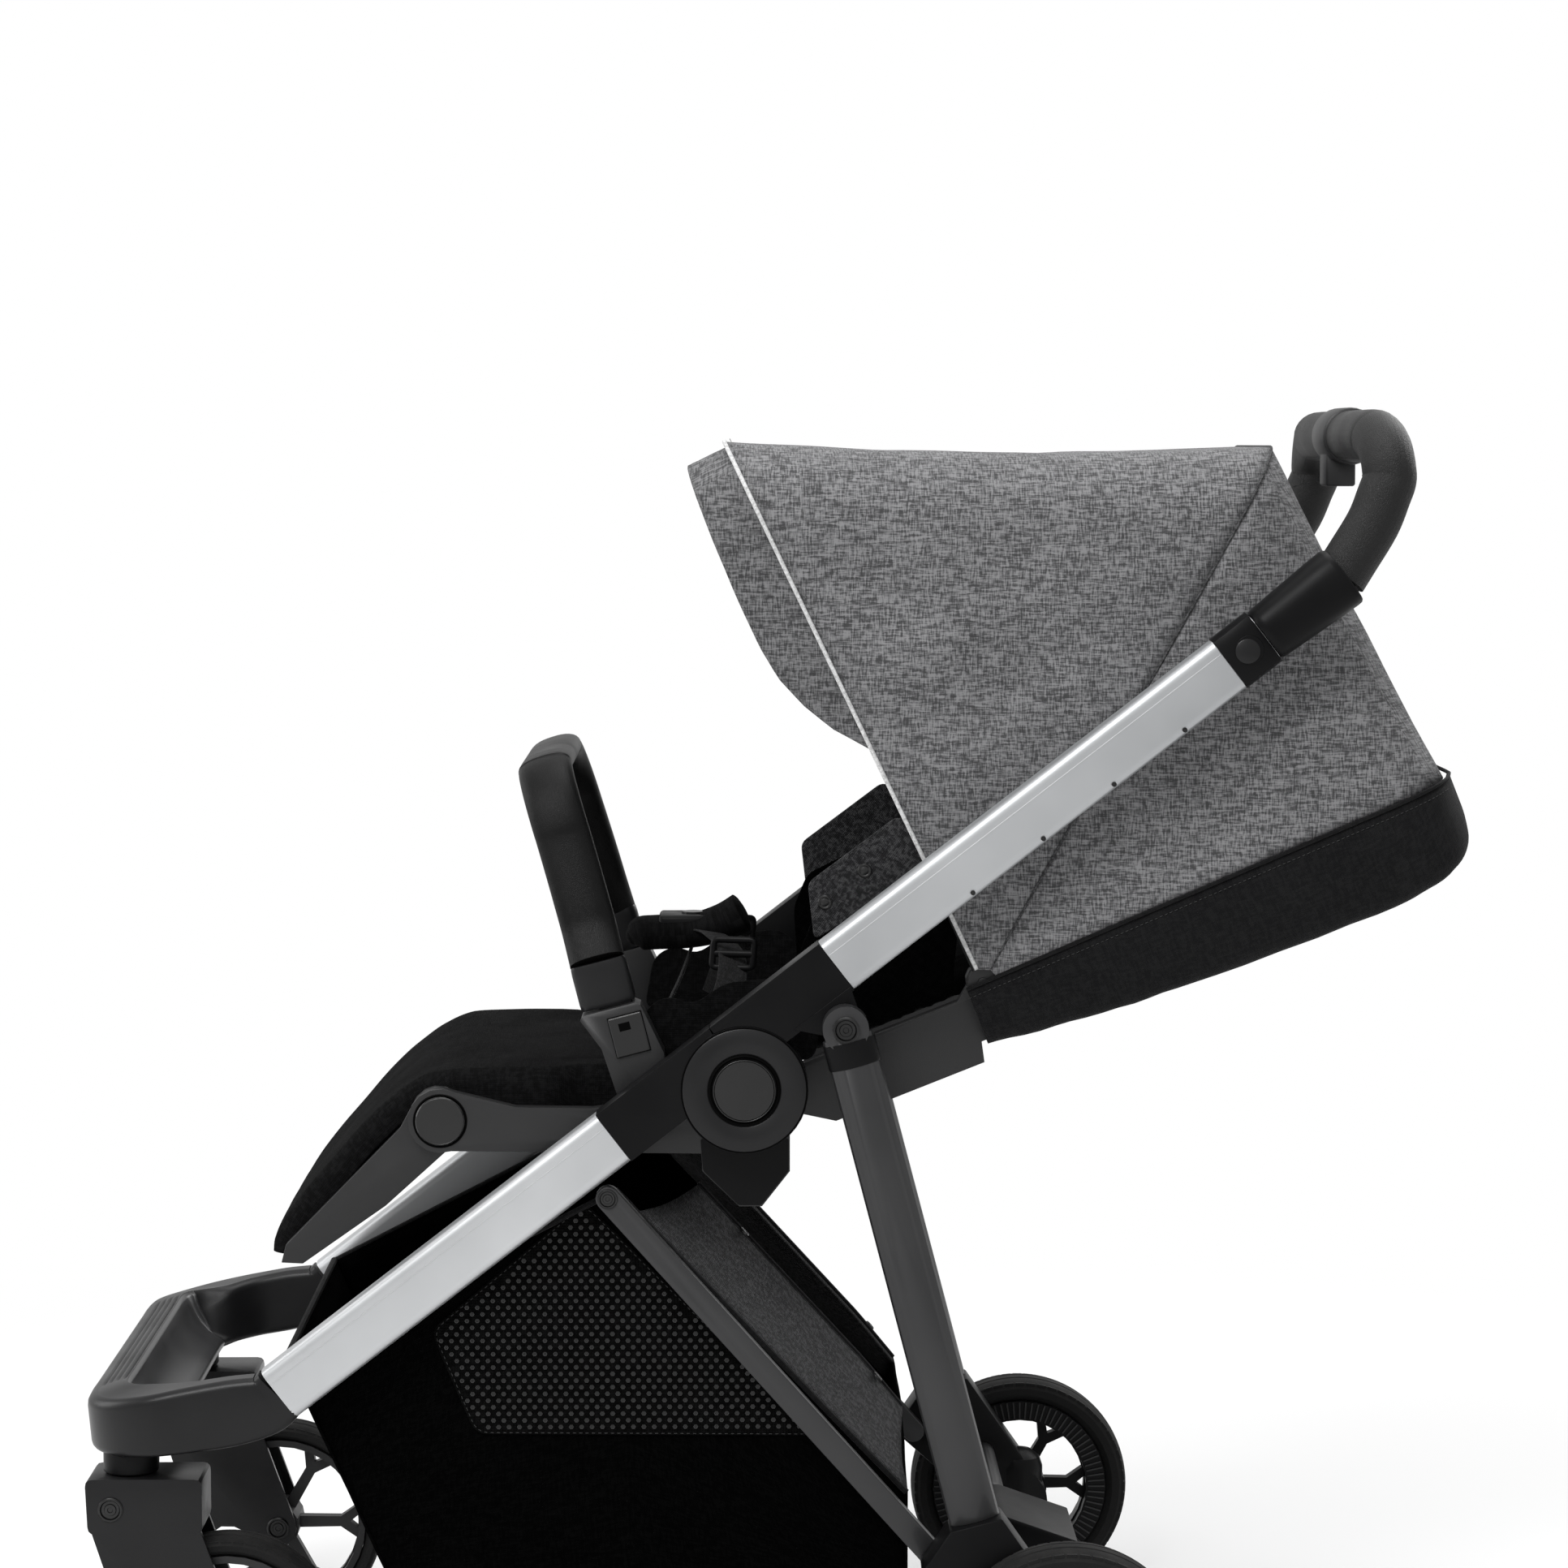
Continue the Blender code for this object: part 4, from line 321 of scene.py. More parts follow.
metals = {
    "silverTube": dict(dark=(0.5, 0.51, 0.52), light=(0.6, 0.61, 0.62), rough=(0.34, 0.46)),
    "greyTube": dict(dark=(0.41, 0.42, 0.43), light=(0.48, 0.49, 0.5)),
    "darkLeg": dict(metal=0.35, coat=0.15, angle=-75.0, grain=1800.0, patch=9.0, dark=(0.022, 0.022, 0.023),
        light=(0.032, 0.032, 0.033), bump=0.12),
    "steelBolt": dict(metal=1.0, angle=0.0, grain=3000.0, patch=30.0, dark=(0.03, 0.03, 0.03),
        light=(0.05, 0.05, 0.05), rough=(0.25, 0.4), depth=0.0001)}
leathers = {
    "barCover": dict(gloss=0.13, pebbles=900.0, dark=(0.003, 0.003, 0.003), light=(0.0048, 0.0048, 0.0048),
        rough=(0.36, 0.48), bump=0.25, depth=0.0004),
    "gripLeather": dict(gloss=0.27, pebbles=750.0, dark=(0.0055, 0.0055, 0.0055),
        light=(0.0085, 0.0085, 0.0085), rough=(0.42, 0.55), bump=0.45, depth=0.0006)}
usualCloths = dict(thread=0.00075, streak=7.0, stops=(0.34, 0.5, 0.66), sheen=0.1, gloss=0.1,
                   rough=(0.8, 0.95), bump=0.5, depth=0.0008, mottle=0.2)
cloths = {
    "greyMelange": dict(dark=(0.066, 0.066, 0.068), middle=(0.165, 0.165, 0.17), light=(0.285, 0.285, 0.29),
        sheen=0.12, depth=0.0007, mottle=0.22),
    "greyLining": dict(dark=(0.055, 0.055, 0.057), middle=(0.135, 0.135, 0.138), light=(0.235, 0.235, 0.24),
        depth=0.0007),
    "blackCloth": dict(thread=0.0013, streak=4.0, dark=(0.005, 0.005, 0.0055),
        middle=(0.0072, 0.0072, 0.0076), light=(0.0098, 0.0098, 0.0102), sheen=0.05, rough=(0.75, 0.92),
        bump=0.45, mottle=0.15),
    "seatCloth": dict(thread=0.0015, streak=3.0, dark=(0.0048, 0.0048, 0.0048),
        middle=(0.0062, 0.0062, 0.0064), light=(0.0088, 0.0088, 0.009), sheen=0.0, gloss=0.015,
        rough=(0.75, 0.9), bump=0.35),
    "tubCloth": dict(thread=0.0013, streak=4.0, dark=(0.0008, 0.0008, 0.0008),
        middle=(0.0012, 0.0012, 0.0012), light=(0.002, 0.002, 0.002), sheen=0.0, gloss=0.01,
        rough=(0.75, 0.92), mottle=0.25),
    "stripCloth": dict(thread=0.0014, streak=2.0, stops=(0.36, 0.5, 0.64), dark=(0.014, 0.014, 0.015),
        middle=(0.03, 0.03, 0.032), light=(0.062, 0.062, 0.064), rough=(0.75, 0.9), bump=0.7, depth=0.001),
    "meshCloth": dict(thread=0.0022, streak=1.5, stops=(0.3, 0.5, 0.7), dark=(0.0012, 0.0012, 0.0012),
        middle=(0.0022, 0.0022, 0.0022), light=(0.004, 0.004, 0.004), sheen=0.0, gloss=0.04,
        rough=(0.7, 0.9), bump=0.9, depth=0.0012),
    "webbing": dict(thread=0.0012, streak=2.5, dark=(0.006, 0.006, 0.006), middle=(0.012, 0.012, 0.0125),
        light=(0.022, 0.022, 0.023), sheen=0.05, rough=(0.6, 0.8), bump=0.8, depth=0.0009),
    "seamCloth": dict(thread=0.0008, streak=3.0, stops=(0.36, 0.5, 0.64), dark=(0.03, 0.03, 0.031),
        middle=(0.06, 0.06, 0.062), light=(0.11, 0.11, 0.113), sheen=0.05, rough=(0.8, 0.9), depth=0.0005),
    "whitePiping": dict(thread=0.0009, streak=2.0, stops=(0.3, 0.5, 0.7), dark=(0.45, 0.45, 0.45),
        middle=(0.62, 0.62, 0.62), light=(0.75, 0.75, 0.75), rough=(0.6, 0.8), bump=0.4, depth=0.0004,
        mottle=0.1)}


def makeFinishes():
    made = {}
    for make, usual, looks in ((mouldedMaterial, usualMoulded, moulded), (metalMaterial, usualMetals, metals),
                               (leatherMaterial, {}, leathers), (clothMaterial, usualCloths, cloths)):
        for name, look in looks.items():
            made[name] = make(name, {**usual, **look})
    return made


finish = makeFinishes()
slots = {"anodised_aluminium": ["silverTube", "greyTube"], "black_metal": ["darkLeg", "steelBolt"],
         "black_plastic": ["blackPlastic", "deepPlastic", "satinPlastic", "glossPlastic", "recess"],
         "tyre_rubber": ["tyreRubber"], "grip_leather": ["gripLeather", "barCover"],
         "grey_fabric": ["greyMelange", "greyLining", "whitePiping", "greyThread"],
         "black_fabric": ["blackCloth", "seatCloth", "tubCloth", "stripCloth", "meshCloth", "seamCloth",
                          "webbing", "blackThread"]}
slotOf = {name: slot for slot, names in slots.items() for name in names}
print("finishes:", len(finish))


# Meshes from rings, paths and grids of points
def asPiece(name, shape, finishName, body=None, sharp=40):
    mesh = bpy.data.meshes.new(name)
    shape.to_mesh(mesh)
    shape.free()
    made = bpy.data.objects.new(name, mesh)
    bpy.context.scene.collection.objects.link(made)
    mesh.materials.append(finish[finishName])
    mesh.shade_smooth()
    mesh.set_sharp_from_angle(angle=radians(sharp))
    if finishName in slotOf:
        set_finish(made, slotOf[finishName])
    if body:
        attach(made, body)
    return made


def settle(piece):
    # the modifiers' result becomes the piece's own mesh
    graph = bpy.context.evaluated_depsgraph_get()
    mesh = bpy.data.meshes.new_from_object(piece.evaluated_get(graph))
    piece.modifiers.clear()
    piece.data = mesh
    return piece


def soften(nodeName, width, finishName, sharp=40):
    # a node's own form with its edges rounded over
    source = frame["nodes"][nodeName]
    shape = bmesh.new()
    shape.from_mesh(source.data)
    bmesh.ops.transform(shape, matrix=source.matrix_world, verts=shape.verts)
    bmesh.ops.remove_doubles(shape, verts=shape.verts, dist=0.00001)
    bmesh.ops.dissolve_limit(shape, angle_limit=radians(1), verts=shape.verts, edges=shape.edges)
    bmesh.ops.recalc_face_normals(shape, faces=shape.faces)
    piece = asPiece("soft_" + nodeName, shape, finishName)
    edge = piece.modifiers.new("soft edge", "BEVEL")
    edge.width = width
    edge.segments = 3
    edge.limit_method = "ANGLE"
    edge.angle_limit = radians(28)
    settle(piece)
    piece.data.shade_smooth()
    piece.data.set_sharp_from_angle(angle=radians(sharp))
    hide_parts(nodeName)
    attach(piece, source.parent.name.split(":")[1])
    return piece


def distances(points):
    # how far along a line each of its points lies
    marks = [0.0]
    for a, b in zip(points, points[1:]):
        marks.append(marks[-1] + (b - a).length)
    return marks


def smoothLine(points, steps):
    # a curve through the points, with so many steps from each one to the next
    result = []
    last = len(points) - 1
    for k in range(last):
        a, b, c, d = (points[max(k - 1, 0)], points[k], points[k + 1], points[min(k + 2, last)])
        for step in range(steps):
            t = step / steps
            result.append(0.5 * ((2 * b) + (c - a) * t + (2 * a - 5 * b + 4 * c - d) * t * t
                                 + (3 * b - a - 3 * c + d) * t ** 3))
    return result + [points[-1].copy()]


def roundSection(width, height, sidesCount=24, power=2.0):
    section = []
    for k in range(sidesCount):
        a = 2 * pi * k / sidesCount
        c, s = cos(a), sin(a)
        reach = (abs(c) ** power + abs(s) ** power) ** (-1 / power)
        section.append((width / 2 * c * reach, height / 2 * s * reach))
    return section


def joinRings(shape, rings):
    # a closed body through rings of points, with flat ends
    verts = [[shape.verts.new(p) for p in ring] for ring in rings]
    for near, far in zip(verts, verts[1:]):
        for k in range(len(near)):
            n = (k + 1) % len(near)
            shape.faces.new((near[k], near[n], far[n], far[k]))
    shape.faces.new(verts[0])
    shape.faces.new(verts[-1])
    return shape


def skin(name, rings, finishName, body=None, ends=True, closed=False, sharp=40):
    # rings of points joined in order, with a map in metres: round them and along them
    shape = bmesh.new()
    layer = shape.loops.layers.uv.new("cloth")
    verts = [[shape.verts.new(p) for p in ring] for ring in rings]
    count, last = len(rings[0]), len(rings) - 1
    centres = [sum(ring, Vector()) / count for ring in rings]
    girth, marks = distances([*rings[0], rings[0][0]]), distances(centres)
    pairs = list(zip(range(last), range(1, last + 1))) + ([(last, 0)] if closed else [])
    for i, j in pairs:
        for k in range(count):
            n = (k + 1) % count
            face = shape.faces.new((verts[i][k], verts[i][n], verts[j][n], verts[j][k]))
            far = marks[j] if j else marks[i] + 0.01
            for loop, spot in zip(face.loops, ((girth[k], marks[i]), (girth[k + 1], marks[i]),
                                               (girth[k + 1], far), (girth[k], far))):
                loop[layer].uv = spot
    if ends and not closed:
        shape.faces.new(verts[0])
        shape.faces.new(verts[-1])
    bmesh.ops.recalc_face_normals(shape, faces=shape.faces)
    return asPiece(name, shape, finishName, body, sharp)


def headings(path, up=None, closed=False):
    # the direction along, across and up at each point of a path
    last = len(path) - 1
    rise = Vector(up) if up else None
    result = []
    for k in range(last + 1):
        before = path[k - 1] if closed else path[max(k - 1, 0)]
        tangent = (path[(k + 1) % (last + 1) if closed else min(k + 1, last)] - before).normalized()
        if rise is None:
            rise = Vector((0, 0, 1)) if abs(tangent.z) < 0.9 else Vector((1, 0, 0))
        across = tangent.cross(rise).normalized()
        rise = across.cross(tangent).normalized()
        result.append((tangent, across, rise))
    return result


def sweep(name, path, section, finishName, body=None, up=None, scales=None, ends=True, closed=False):
    # a section carried along a path
    rings = []
    for k, (point, (_, across, rise)) in enumerate(zip(path, headings(path, up, closed))):
        scale = scales[k] if scales else 1.0
        rings.append([point + across * a * scale + rise * b * scale for a, b in section])
    return skin(name, rings, finishName, body, ends, closed)


def roundedSweep(name, path, section, finishName, body=None, up=None, reach=0.003, scales=None):
    # the same with both ends rounded over
    first = (path[1] - path[0]).normalized()
    final = (path[-1] - path[-2]).normalized()
    shares = (0.35, 0.75, 0.94)
    ahead = [path[0] - first * reach * (1 - share) for share in (0.0, 0.35, 0.7)]
    behind = [path[-1] + final * reach * (1 - share) for share in (0.7, 0.35, 0.0)]
    middle = scales or [1.0] * len(path)
    scales = [*[share * middle[0] for share in shares], *middle,
              *[share * middle[-1] for share in reversed(shares)]]
    return sweep(name, ahead + path + behind, section, finishName, body, up, scales)


def mapByFacing(mesh):
    # a map in metres from the two axes that each face lies along
    layer = mesh.uv_layers.get("cloth") or mesh.uv_layers.new(name="cloth")
    for face in mesh.polygons:
        drop = max(range(3), key=lambda axis: abs(face.normal[axis]))
        for index in face.loop_indices:
            co = mesh.vertices[mesh.loops[index].vertex_index].co
            layer.data[index].uv = [co[axis] for axis in range(3) if axis != drop]


def clothSheet(name, grid, thick, finishName, body=None, offset=-1.0, extra=None, byFacing=False):
    # a grid of points made a sheet with a map in metres, then given its thickness
    shape = bmesh.new()
    layer = shape.loops.layers.uv.new("cloth")
    verts = [[shape.verts.new(p) for p in row] for row in grid]
    lengths = [distances(row) for row in grid]
    across = [[m - marks[-1] / 2 for m in marks] for marks in lengths]
    middle = len(grid[0]) // 2
    down = distances([row[middle] for row in grid])
    for i in range(len(grid) - 1):
        for k in range(len(grid[0]) - 1):
            around = ((i, k), (i, k + 1), (i + 1, k + 1), (i + 1, k))
            face = shape.faces.new([verts[r][c] for r, c in around])
            for loop, (r, c) in zip(face.loops, around):
                loop[layer].uv = (across[r][c], down[r])
    if extra:
        extra(shape)
    bmesh.ops.recalc_face_normals(shape, faces=shape.faces)
    made = asPiece(name, shape, finishName, None, 60)
    area = sum(face.area for face in made.data.polygons)
    if byFacing:
        mapByFacing(made.data)
    if thick:
        solid = made.modifiers.new("cloth thickness", "SOLIDIFY")
        solid.thickness = thick
        solid.offset = offset
        settle(made)
    if body:
        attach(made, body)
    return made, area


def resampled(points, count):
    marks = distances(points)
    result, k = [], 0
    for step in range(count):
        goal = marks[-1] * step / (count - 1)
        while k < len(marks) - 2 and marks[k + 1] < goal:
            k += 1
        span = marks[k + 1] - marks[k]
        result.append(points[k].lerp(points[k + 1], (goal - marks[k]) / span if span else 0.0))
    return result


# Node trees for what repeats
def newTree(name, inputs):
    tree = bpy.data.node_groups.new(name, "GeometryNodeTree")
    tree.interface.new_socket("Geometry", in_out="INPUT", socket_type="NodeSocketGeometry")
    for label, kind in inputs:
        tree.interface.new_socket(label, in_out="INPUT", socket_type="NodeSocket" + kind)
    tree.interface.new_socket("Geometry", in_out="OUTPUT", socket_type="NodeSocketGeometry")
    return tree, tree.nodes.new("NodeGroupInput").outputs, tree.nodes.new("NodeGroupOutput").inputs


def endTree(tree, geometry, material, put):
    real = addNode(tree, "GeometryNodeRealizeInstances", {0: geometry})
    painted = addNode(tree, "GeometryNodeSetMaterial", {"Geometry": real.outputs[0], "Material": material})
    tree.links.new(painted.outputs[0], put[0])


def makeRowTree():
    # one small piece repeated along a line, such as stitches
    tree, given, put = newTree("piecesAlongLine", [("Piece", "Object"), ("Spacing", "Float"),
                                                   ("Size", "Float"), ("Finish", "Material")])
    line = addNode(tree, "GeometryNodeMeshToCurve", {0: given["Geometry"]})
    even = addNode(tree, "GeometryNodeResampleCurve", {"Curve": line.outputs[0], "Length": given["Spacing"]},
                   mode="LENGTH")
    tangent = addNode(tree, "GeometryNodeInputTangent")
    facing = addNode(tree, "FunctionNodeAlignRotationToVector", {"Vector": tangent.outputs[0]}, axis="Z")
    piece = addNode(tree, "GeometryNodeObjectInfo", {"Object": given["Piece"]})
    placed = addNode(tree, "GeometryNodeInstanceOnPoints", {
        "Points": even.outputs[0], "Instance": piece.outputs["Geometry"], "Rotation": facing.outputs[0],
        "Scale": given["Size"]})
    endTree(tree, placed.outputs[0], given["Finish"], put)
    return tree


def makePointTree():
    # one small piece on each point, turned to that point's facing and heading
    tree, given, put = newTree("piecesOnPoints", [("Piece", "Object"), ("Size", "Float"),
                                                  ("Finish", "Material")])
    facing = addNode(tree, "GeometryNodeInputNamedAttribute", {"Name": "facing"}, data_type="FLOAT_VECTOR")
    heading = addNode(tree, "GeometryNodeInputNamedAttribute", {"Name": "heading"}, data_type="FLOAT_VECTOR")
    upright = addNode(tree, "FunctionNodeAlignRotationToVector", {"Vector": facing.outputs[0]}, axis="Z")
    headed = addNode(tree, "FunctionNodeAlignRotationToVector", {
        "Rotation": upright.outputs[0], "Vector": heading.outputs[0]}, axis="X", pivot_axis="Z")
    piece = addNode(tree, "GeometryNodeObjectInfo", {"Object": given["Piece"]})
    placed = addNode(tree, "GeometryNodeInstanceOnPoints", {
        "Points": given["Geometry"], "Instance": piece.outputs["Geometry"], "Rotation": headed.outputs[0],
        "Scale": given["Size"]})
    endTree(tree, placed.outputs[0], given["Finish"], put)
    return tree


def makeTyreTree():
    # a tyre: its profile carried round the wheel, with blocks along both shoulders
    tree, given, put = newTree("tyreRound", [("Radius", "Float"), ("Steps", "Int"), ("Blocks", "Int"),
                                             ("Block Length", "Float"), ("Block Width", "Float"),
                                             ("Block Height", "Float"), ("Block Offset", "Float"),
                                             ("Block Radius", "Float"), ("Finish", "Material")])
    ring = addNode(tree, "GeometryNodeCurvePrimitiveCircle",
                   {"Resolution": given["Steps"], "Radius": given["Radius"]})
    profile = addNode(tree, "GeometryNodeMeshToCurve", {0: given["Geometry"]})
    body = addNode(tree, "GeometryNodeCurveToMesh", {"Curve": ring.outputs[0],
                                                     "Profile Curve": profile.outputs[0]})
    joined = addNode(tree, "GeometryNodeJoinGeometry")
    for way in (1, -1):
        marks = addNode(tree, "GeometryNodeCurvePrimitiveCircle", {"Resolution": given["Blocks"],
                                                                   "Radius": given["Block Radius"]})
        points = addNode(tree, "GeometryNodeCurveToPoints", {0: marks.outputs[0], "Count": given["Blocks"]},
                         mode="COUNT")
        size = addNode(tree, "ShaderNodeCombineXYZ", {"X": given["Block Height"], "Y": given["Block Length"],
                                                      "Z": given["Block Width"]})
        block = addNode(tree, "GeometryNodeMeshCube", {"Size": size.outputs[0]})
        place = addNode(tree, "GeometryNodeInputPosition")
        outward = addNode(tree, "FunctionNodeAlignRotationToVector", {"Vector": place.outputs[0]}, axis="X",
                          pivot_axis="Z")
        placed = addNode(tree, "GeometryNodeInstanceOnPoints", {"Points": points.outputs[0],
                                                                "Instance": block.outputs[0],
                                                                "Rotation": outward.outputs[0]})
        height = addNode(tree, "ShaderNodeMath", {0: given["Block Offset"], 1: float(way)},
                         operation="MULTIPLY")
        lift = addNode(tree, "ShaderNodeCombineXYZ", {"Z": height.outputs[0]})
        moved = addNode(tree, "GeometryNodeTransform", {"Geometry": placed.outputs[0],
                                                        "Translation": lift.outputs[0]})
        tree.links.new(moved.outputs[0], joined.inputs[0])
    tree.links.new(body.outputs[0], joined.inputs[0])
    endTree(tree, joined.outputs[0], given["Finish"], put)
    return tree


trees = {"row": makeRowTree(), "points": makePointTree(), "tyre": makeTyreTree()}


def runTree(name, mesh, tree, values, finishName, body, place=None):
    made = bpy.data.objects.new(name, mesh)
    bpy.context.scene.collection.objects.link(made)
    step = made.modifiers.new("repeat", "NODES")
    step.node_group = tree
    values = {**values, "Finish": finish[finishName]}
    for item in tree.interface.items_tree:
        if item.in_out == "INPUT" and item.name in values:
            step[item.identifier] = values[item.name]
    bpy.context.view_layer.update()
    settle(made)
    if place:
        made.data.transform(place)
    made.data.shade_smooth()
    made.data.set_sharp_from_angle(angle=radians(35))
    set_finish(made, slotOf[finishName])
    if body:
        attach(made, body)
    return made


def smallShape(name, build):
    shape = bmesh.new()
    build(shape)
    mesh = bpy.data.meshes.new(name)
    shape.to_mesh(mesh)
    shape.free()
    made = bpy.data.objects.new(name, mesh)
    bpy.context.scene.collection.objects.link(made)
    return made


def lathed(profile, steps):
    def build(shape):
        rings = []
        for radius, height in profile:
            if radius < 1e-6:
                rings.append([shape.verts.new((0, 0, height))])
            else:
                rings.append([shape.verts.new((radius * cos(2 * pi * k / steps),
                                               radius * sin(2 * pi * k / steps), height))
                                               for k in range(steps)])
        for near, far in zip(rings, rings[1:]):
            for k in range(steps):
                n = (k + 1) % steps
                quad = [near[k % len(near)], near[n % len(near)], far[n % len(far)], far[k % len(far)]]
                shape.faces.new(list(dict.fromkeys(quad)))
        bmesh.ops.recalc_face_normals(shape, faces=shape.faces)
    return build


smallParts = {
    "stitch": smallShape("stitch", lathed([(0, -0.0014), (0.0003, -0.0011), (0.00034, 0), (0.0003, 0.0011),
                                           (0, 0.0014)], 5)),
    "dot": smallShape("dot", lathed([(0.0021, 0.0), (0.0019, 0.0004), (0.0010, 0.0005), (0.0006, 0.0001),
                                     (0, 0.0)], 6)),
    "bolt": smallShape("bolt", lathed([(0.0105, -0.001), (0.0105, 0.0012), (0.0096, 0.0020), (0.0084, 0.0020),
                                       (0.0074, 0.0002), (0.0052, 0.0002), (0.0047, 0.0012), (0.0024, 0.0012),
                                       (0.0020, 0.0002), (0, 0.0002)], 24)),
    "snap": smallShape("snap", lathed([(0.0058, -0.0008), (0.0058, 0.0006), (0.0050, 0.0014),
                                       (0.0042, 0.0014), (0.0034, 0.0008), (0.0022, 0.0012), (0, 0.0016)],
                                       20)),
    "hole": smallShape("hole", lathed([(0.0020, -0.0002), (0.0020, 0.0003), (0.0014, 0.0004),
                                       (0.0012, 0.0001), (0, 0.00005)], 12)),
    "rib": smallShape("rib", lambda shape: bmesh.ops.create_cube(
        shape, size=1, matrix=Matrix.Diagonal((0.0150, 0.0013, 0.0022, 1)))),
}


def stitchRow(name, path, finishName, body, spacing=0.0042, size=1.0):
    mesh = bpy.data.meshes.new(name)
    mesh.from_pydata([tuple(p) for p in path], [(k, k + 1) for k in range(len(path) - 1)], [])
    return runTree(name, mesh, trees["row"], {"Piece": smallParts["stitch"], "Spacing": spacing,
                                              "Size": size},
                   finishName, body)


def partsOnPoints(name, part, points, finishName, body, size=1.0):
    # points: (place, facing, heading)
    mesh = bpy.data.meshes.new(name)
    mesh.from_pydata([tuple(p[0]) for p in points], [], [])
    for label, index in (("facing", 1), ("heading", 2)):
        layer = mesh.attributes.new(label, "FLOAT_VECTOR", "POINT")
        layer.data.foreach_set("vector", [c for p in points for c in p[index]])
    return runTree(name, mesh, trees["points"], {"Piece": smallParts[part], "Size": size}, finishName, body)


print("trees:", len(trees))


# Camera, floor and light
cameraPlan = {"place": (-0.0371, -3.415, 1.044), "tilt": 85.27, "turn": -0.70, "lens": 36 * 5088 / 1932}


def addCamera():
    data = bpy.data.cameras.new("camera")
    data.lens = cameraPlan["lens"]
    data.sensor_width = 36
    data.clip_end = 60
    made = bpy.data.objects.new("camera", data)
    made.location = cameraPlan["place"]
    made.rotation_euler = (radians(cameraPlan["tilt"]), 0, radians(cameraPlan["turn"]))
    bpy.context.scene.collection.objects.link(made)
    bpy.context.scene.camera = made


studio = {"world": 0.42, "backdrop": 1.0, "gloss": 0.5, "floorColor": 0.86,
          "lamps": [("keyLamp", (-1.4, -2.6, 3.2), 1.6, 92), ("topLamp", (0.3, 0.2, 3.4), 2.4, 52),
                    ("rimLamp", (1.9, 2.0, 2.2), 1.6, 34), ("frontLamp", (-3.0, 0.4, 1.4), 1.6, 30)]}


def addStage():
    shape = bmesh.new()
    bmesh.ops.create_circle(shape, cap_ends=True, segments=96, radius=9.0)
    made = asPiece("floor", shape, "blackPlastic")
    del made["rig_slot"]
    made.location.z = -0.0004
    ground, tree, shader = newMaterial("paleFloor", {"Base Color": (*[studio["floorColor"]] * 3, 1),
                                                     "Roughness": 0.9})
    glow = addNode(tree, "ShaderNodeEmission", {"Color": (*[studio["backdrop"]] * 3, 1)})
    place = addNode(tree, "ShaderNodeTexCoord").outputs["Object"]
    away = addNode(tree, "ShaderNodeVectorMath", {0: place}, operation="LENGTH")
    fade = addNode(tree, "ShaderNodeMapRange", {"Value": away.outputs["Value"], "From Min": 0.75,
                                                "From Max": 1.9},
                   interpolation_type="SMOOTHSTEP")
    seen = math(tree, "MULTIPLY", addNode(tree, "ShaderNodeLightPath").outputs["Is Camera Ray"],
                fade.outputs[0])
    mixed = addNode(tree, "ShaderNodeMixShader", {0: seen, 1: shader.outputs[0], 2: glow.outputs[0]})
    tree.links.new(mixed.outputs[0], tree.nodes["Material Output"].inputs["Surface"])
    made.data.materials[0] = ground
    world = bpy.data.worlds.new("studio")
    bpy.context.scene.world = world
    world.use_nodes = True
    tree = world.node_tree
    path = addNode(tree, "ShaderNodeLightPath")
    bright = math(tree, "MAXIMUM", path.outputs["Is Camera Ray"],
                  math(tree, "MULTIPLY", path.outputs["Is Glossy Ray"], studio["gloss"]))
    level = addNode(tree, "ShaderNodeMapRange", {"Value": bright, "To Min": studio["world"],
                                                 "To Max": studio["backdrop"]})
    tree.links.new(level.outputs[0], tree.nodes["Background"].inputs["Strength"])
    tree.nodes["Background"].inputs["Color"].default_value = (1, 1, 1, 1)
    for name, place, size, power in studio["lamps"]:
        data = bpy.data.lights.new(name, "AREA")
        data.size = size
        data.energy = power
        lamp = bpy.data.objects.new(name, data)
        lamp.location = place
        lamp.rotation_euler = (Vector(place) - Vector((0, 0, 0.6))).to_track_quat("Z", "Y").to_euler()
        bpy.context.scene.collection.objects.link(lamp)
    bpy.context.scene.view_settings.view_transform = "Standard"


addCamera()
addStage()
print("camera, floor and light")


# Finishes on the frame's own nodes
nodeFinish = {"silverTube": ["lower_tube", "upper_tube", "handle_stem"],
              "darkLeg": ["rear_leg", "strut", "rear_cross_tube"],
              "gripLeather": ["grab_bar", "handle_bar"], "tyreRubber": ["rear_tyre", "front_tyre"],
              "greyMelange": ["canopy_front_panel", "canopy_rear_panel", "sun_visor"],
              "seatCloth": ["seat_pad", "leg_rest_pad", "backrest_pad", "crotch_strap", "basket",
                            "back_shell"],
              "deepPlastic": ["lower_hub", "upper_hub", "recline_lever", "rear_rim", "harness_buckle",
                              "foot_"],
              "glossPlastic": ["hub_pin", "leg_rest_button", "buckle_button", "grab_button"]}


def paintNodes():
    for name, node in frame["nodes"].items():
        chosen = "blackPlastic"
        for label, starts in nodeFinish.items():
            if name.startswith(tuple(starts)):
                chosen = label
        node.data.materials.clear()
        node.data.materials.append(finish[chosen])


paintNodes()
print("frame finished")


# Canopy and sun visor
canopy = {"pivot": (0.189, 0.077), "front": (115.6, 0.473), "rear": (61.2, 0.482), "hem": (23.3, 0.403),
          "half": 0.1775, "corner": 0.070, "hemCorner": 0.050, "start": 0.012, "thick": 0.0016, "rows": 26,
          "sag": 0.008, "piping": 0.0017, "seam": 0.0010,
          "visorStart": 0.205, "visorReach": [0.0, 0.020, 0.033, 0.0415, 0.0440, 0.0440, 0.0430, 0.0415,
                                              0.040, 0.038, 0.036, 0.034, 0.033, 0.032, 0.032]}
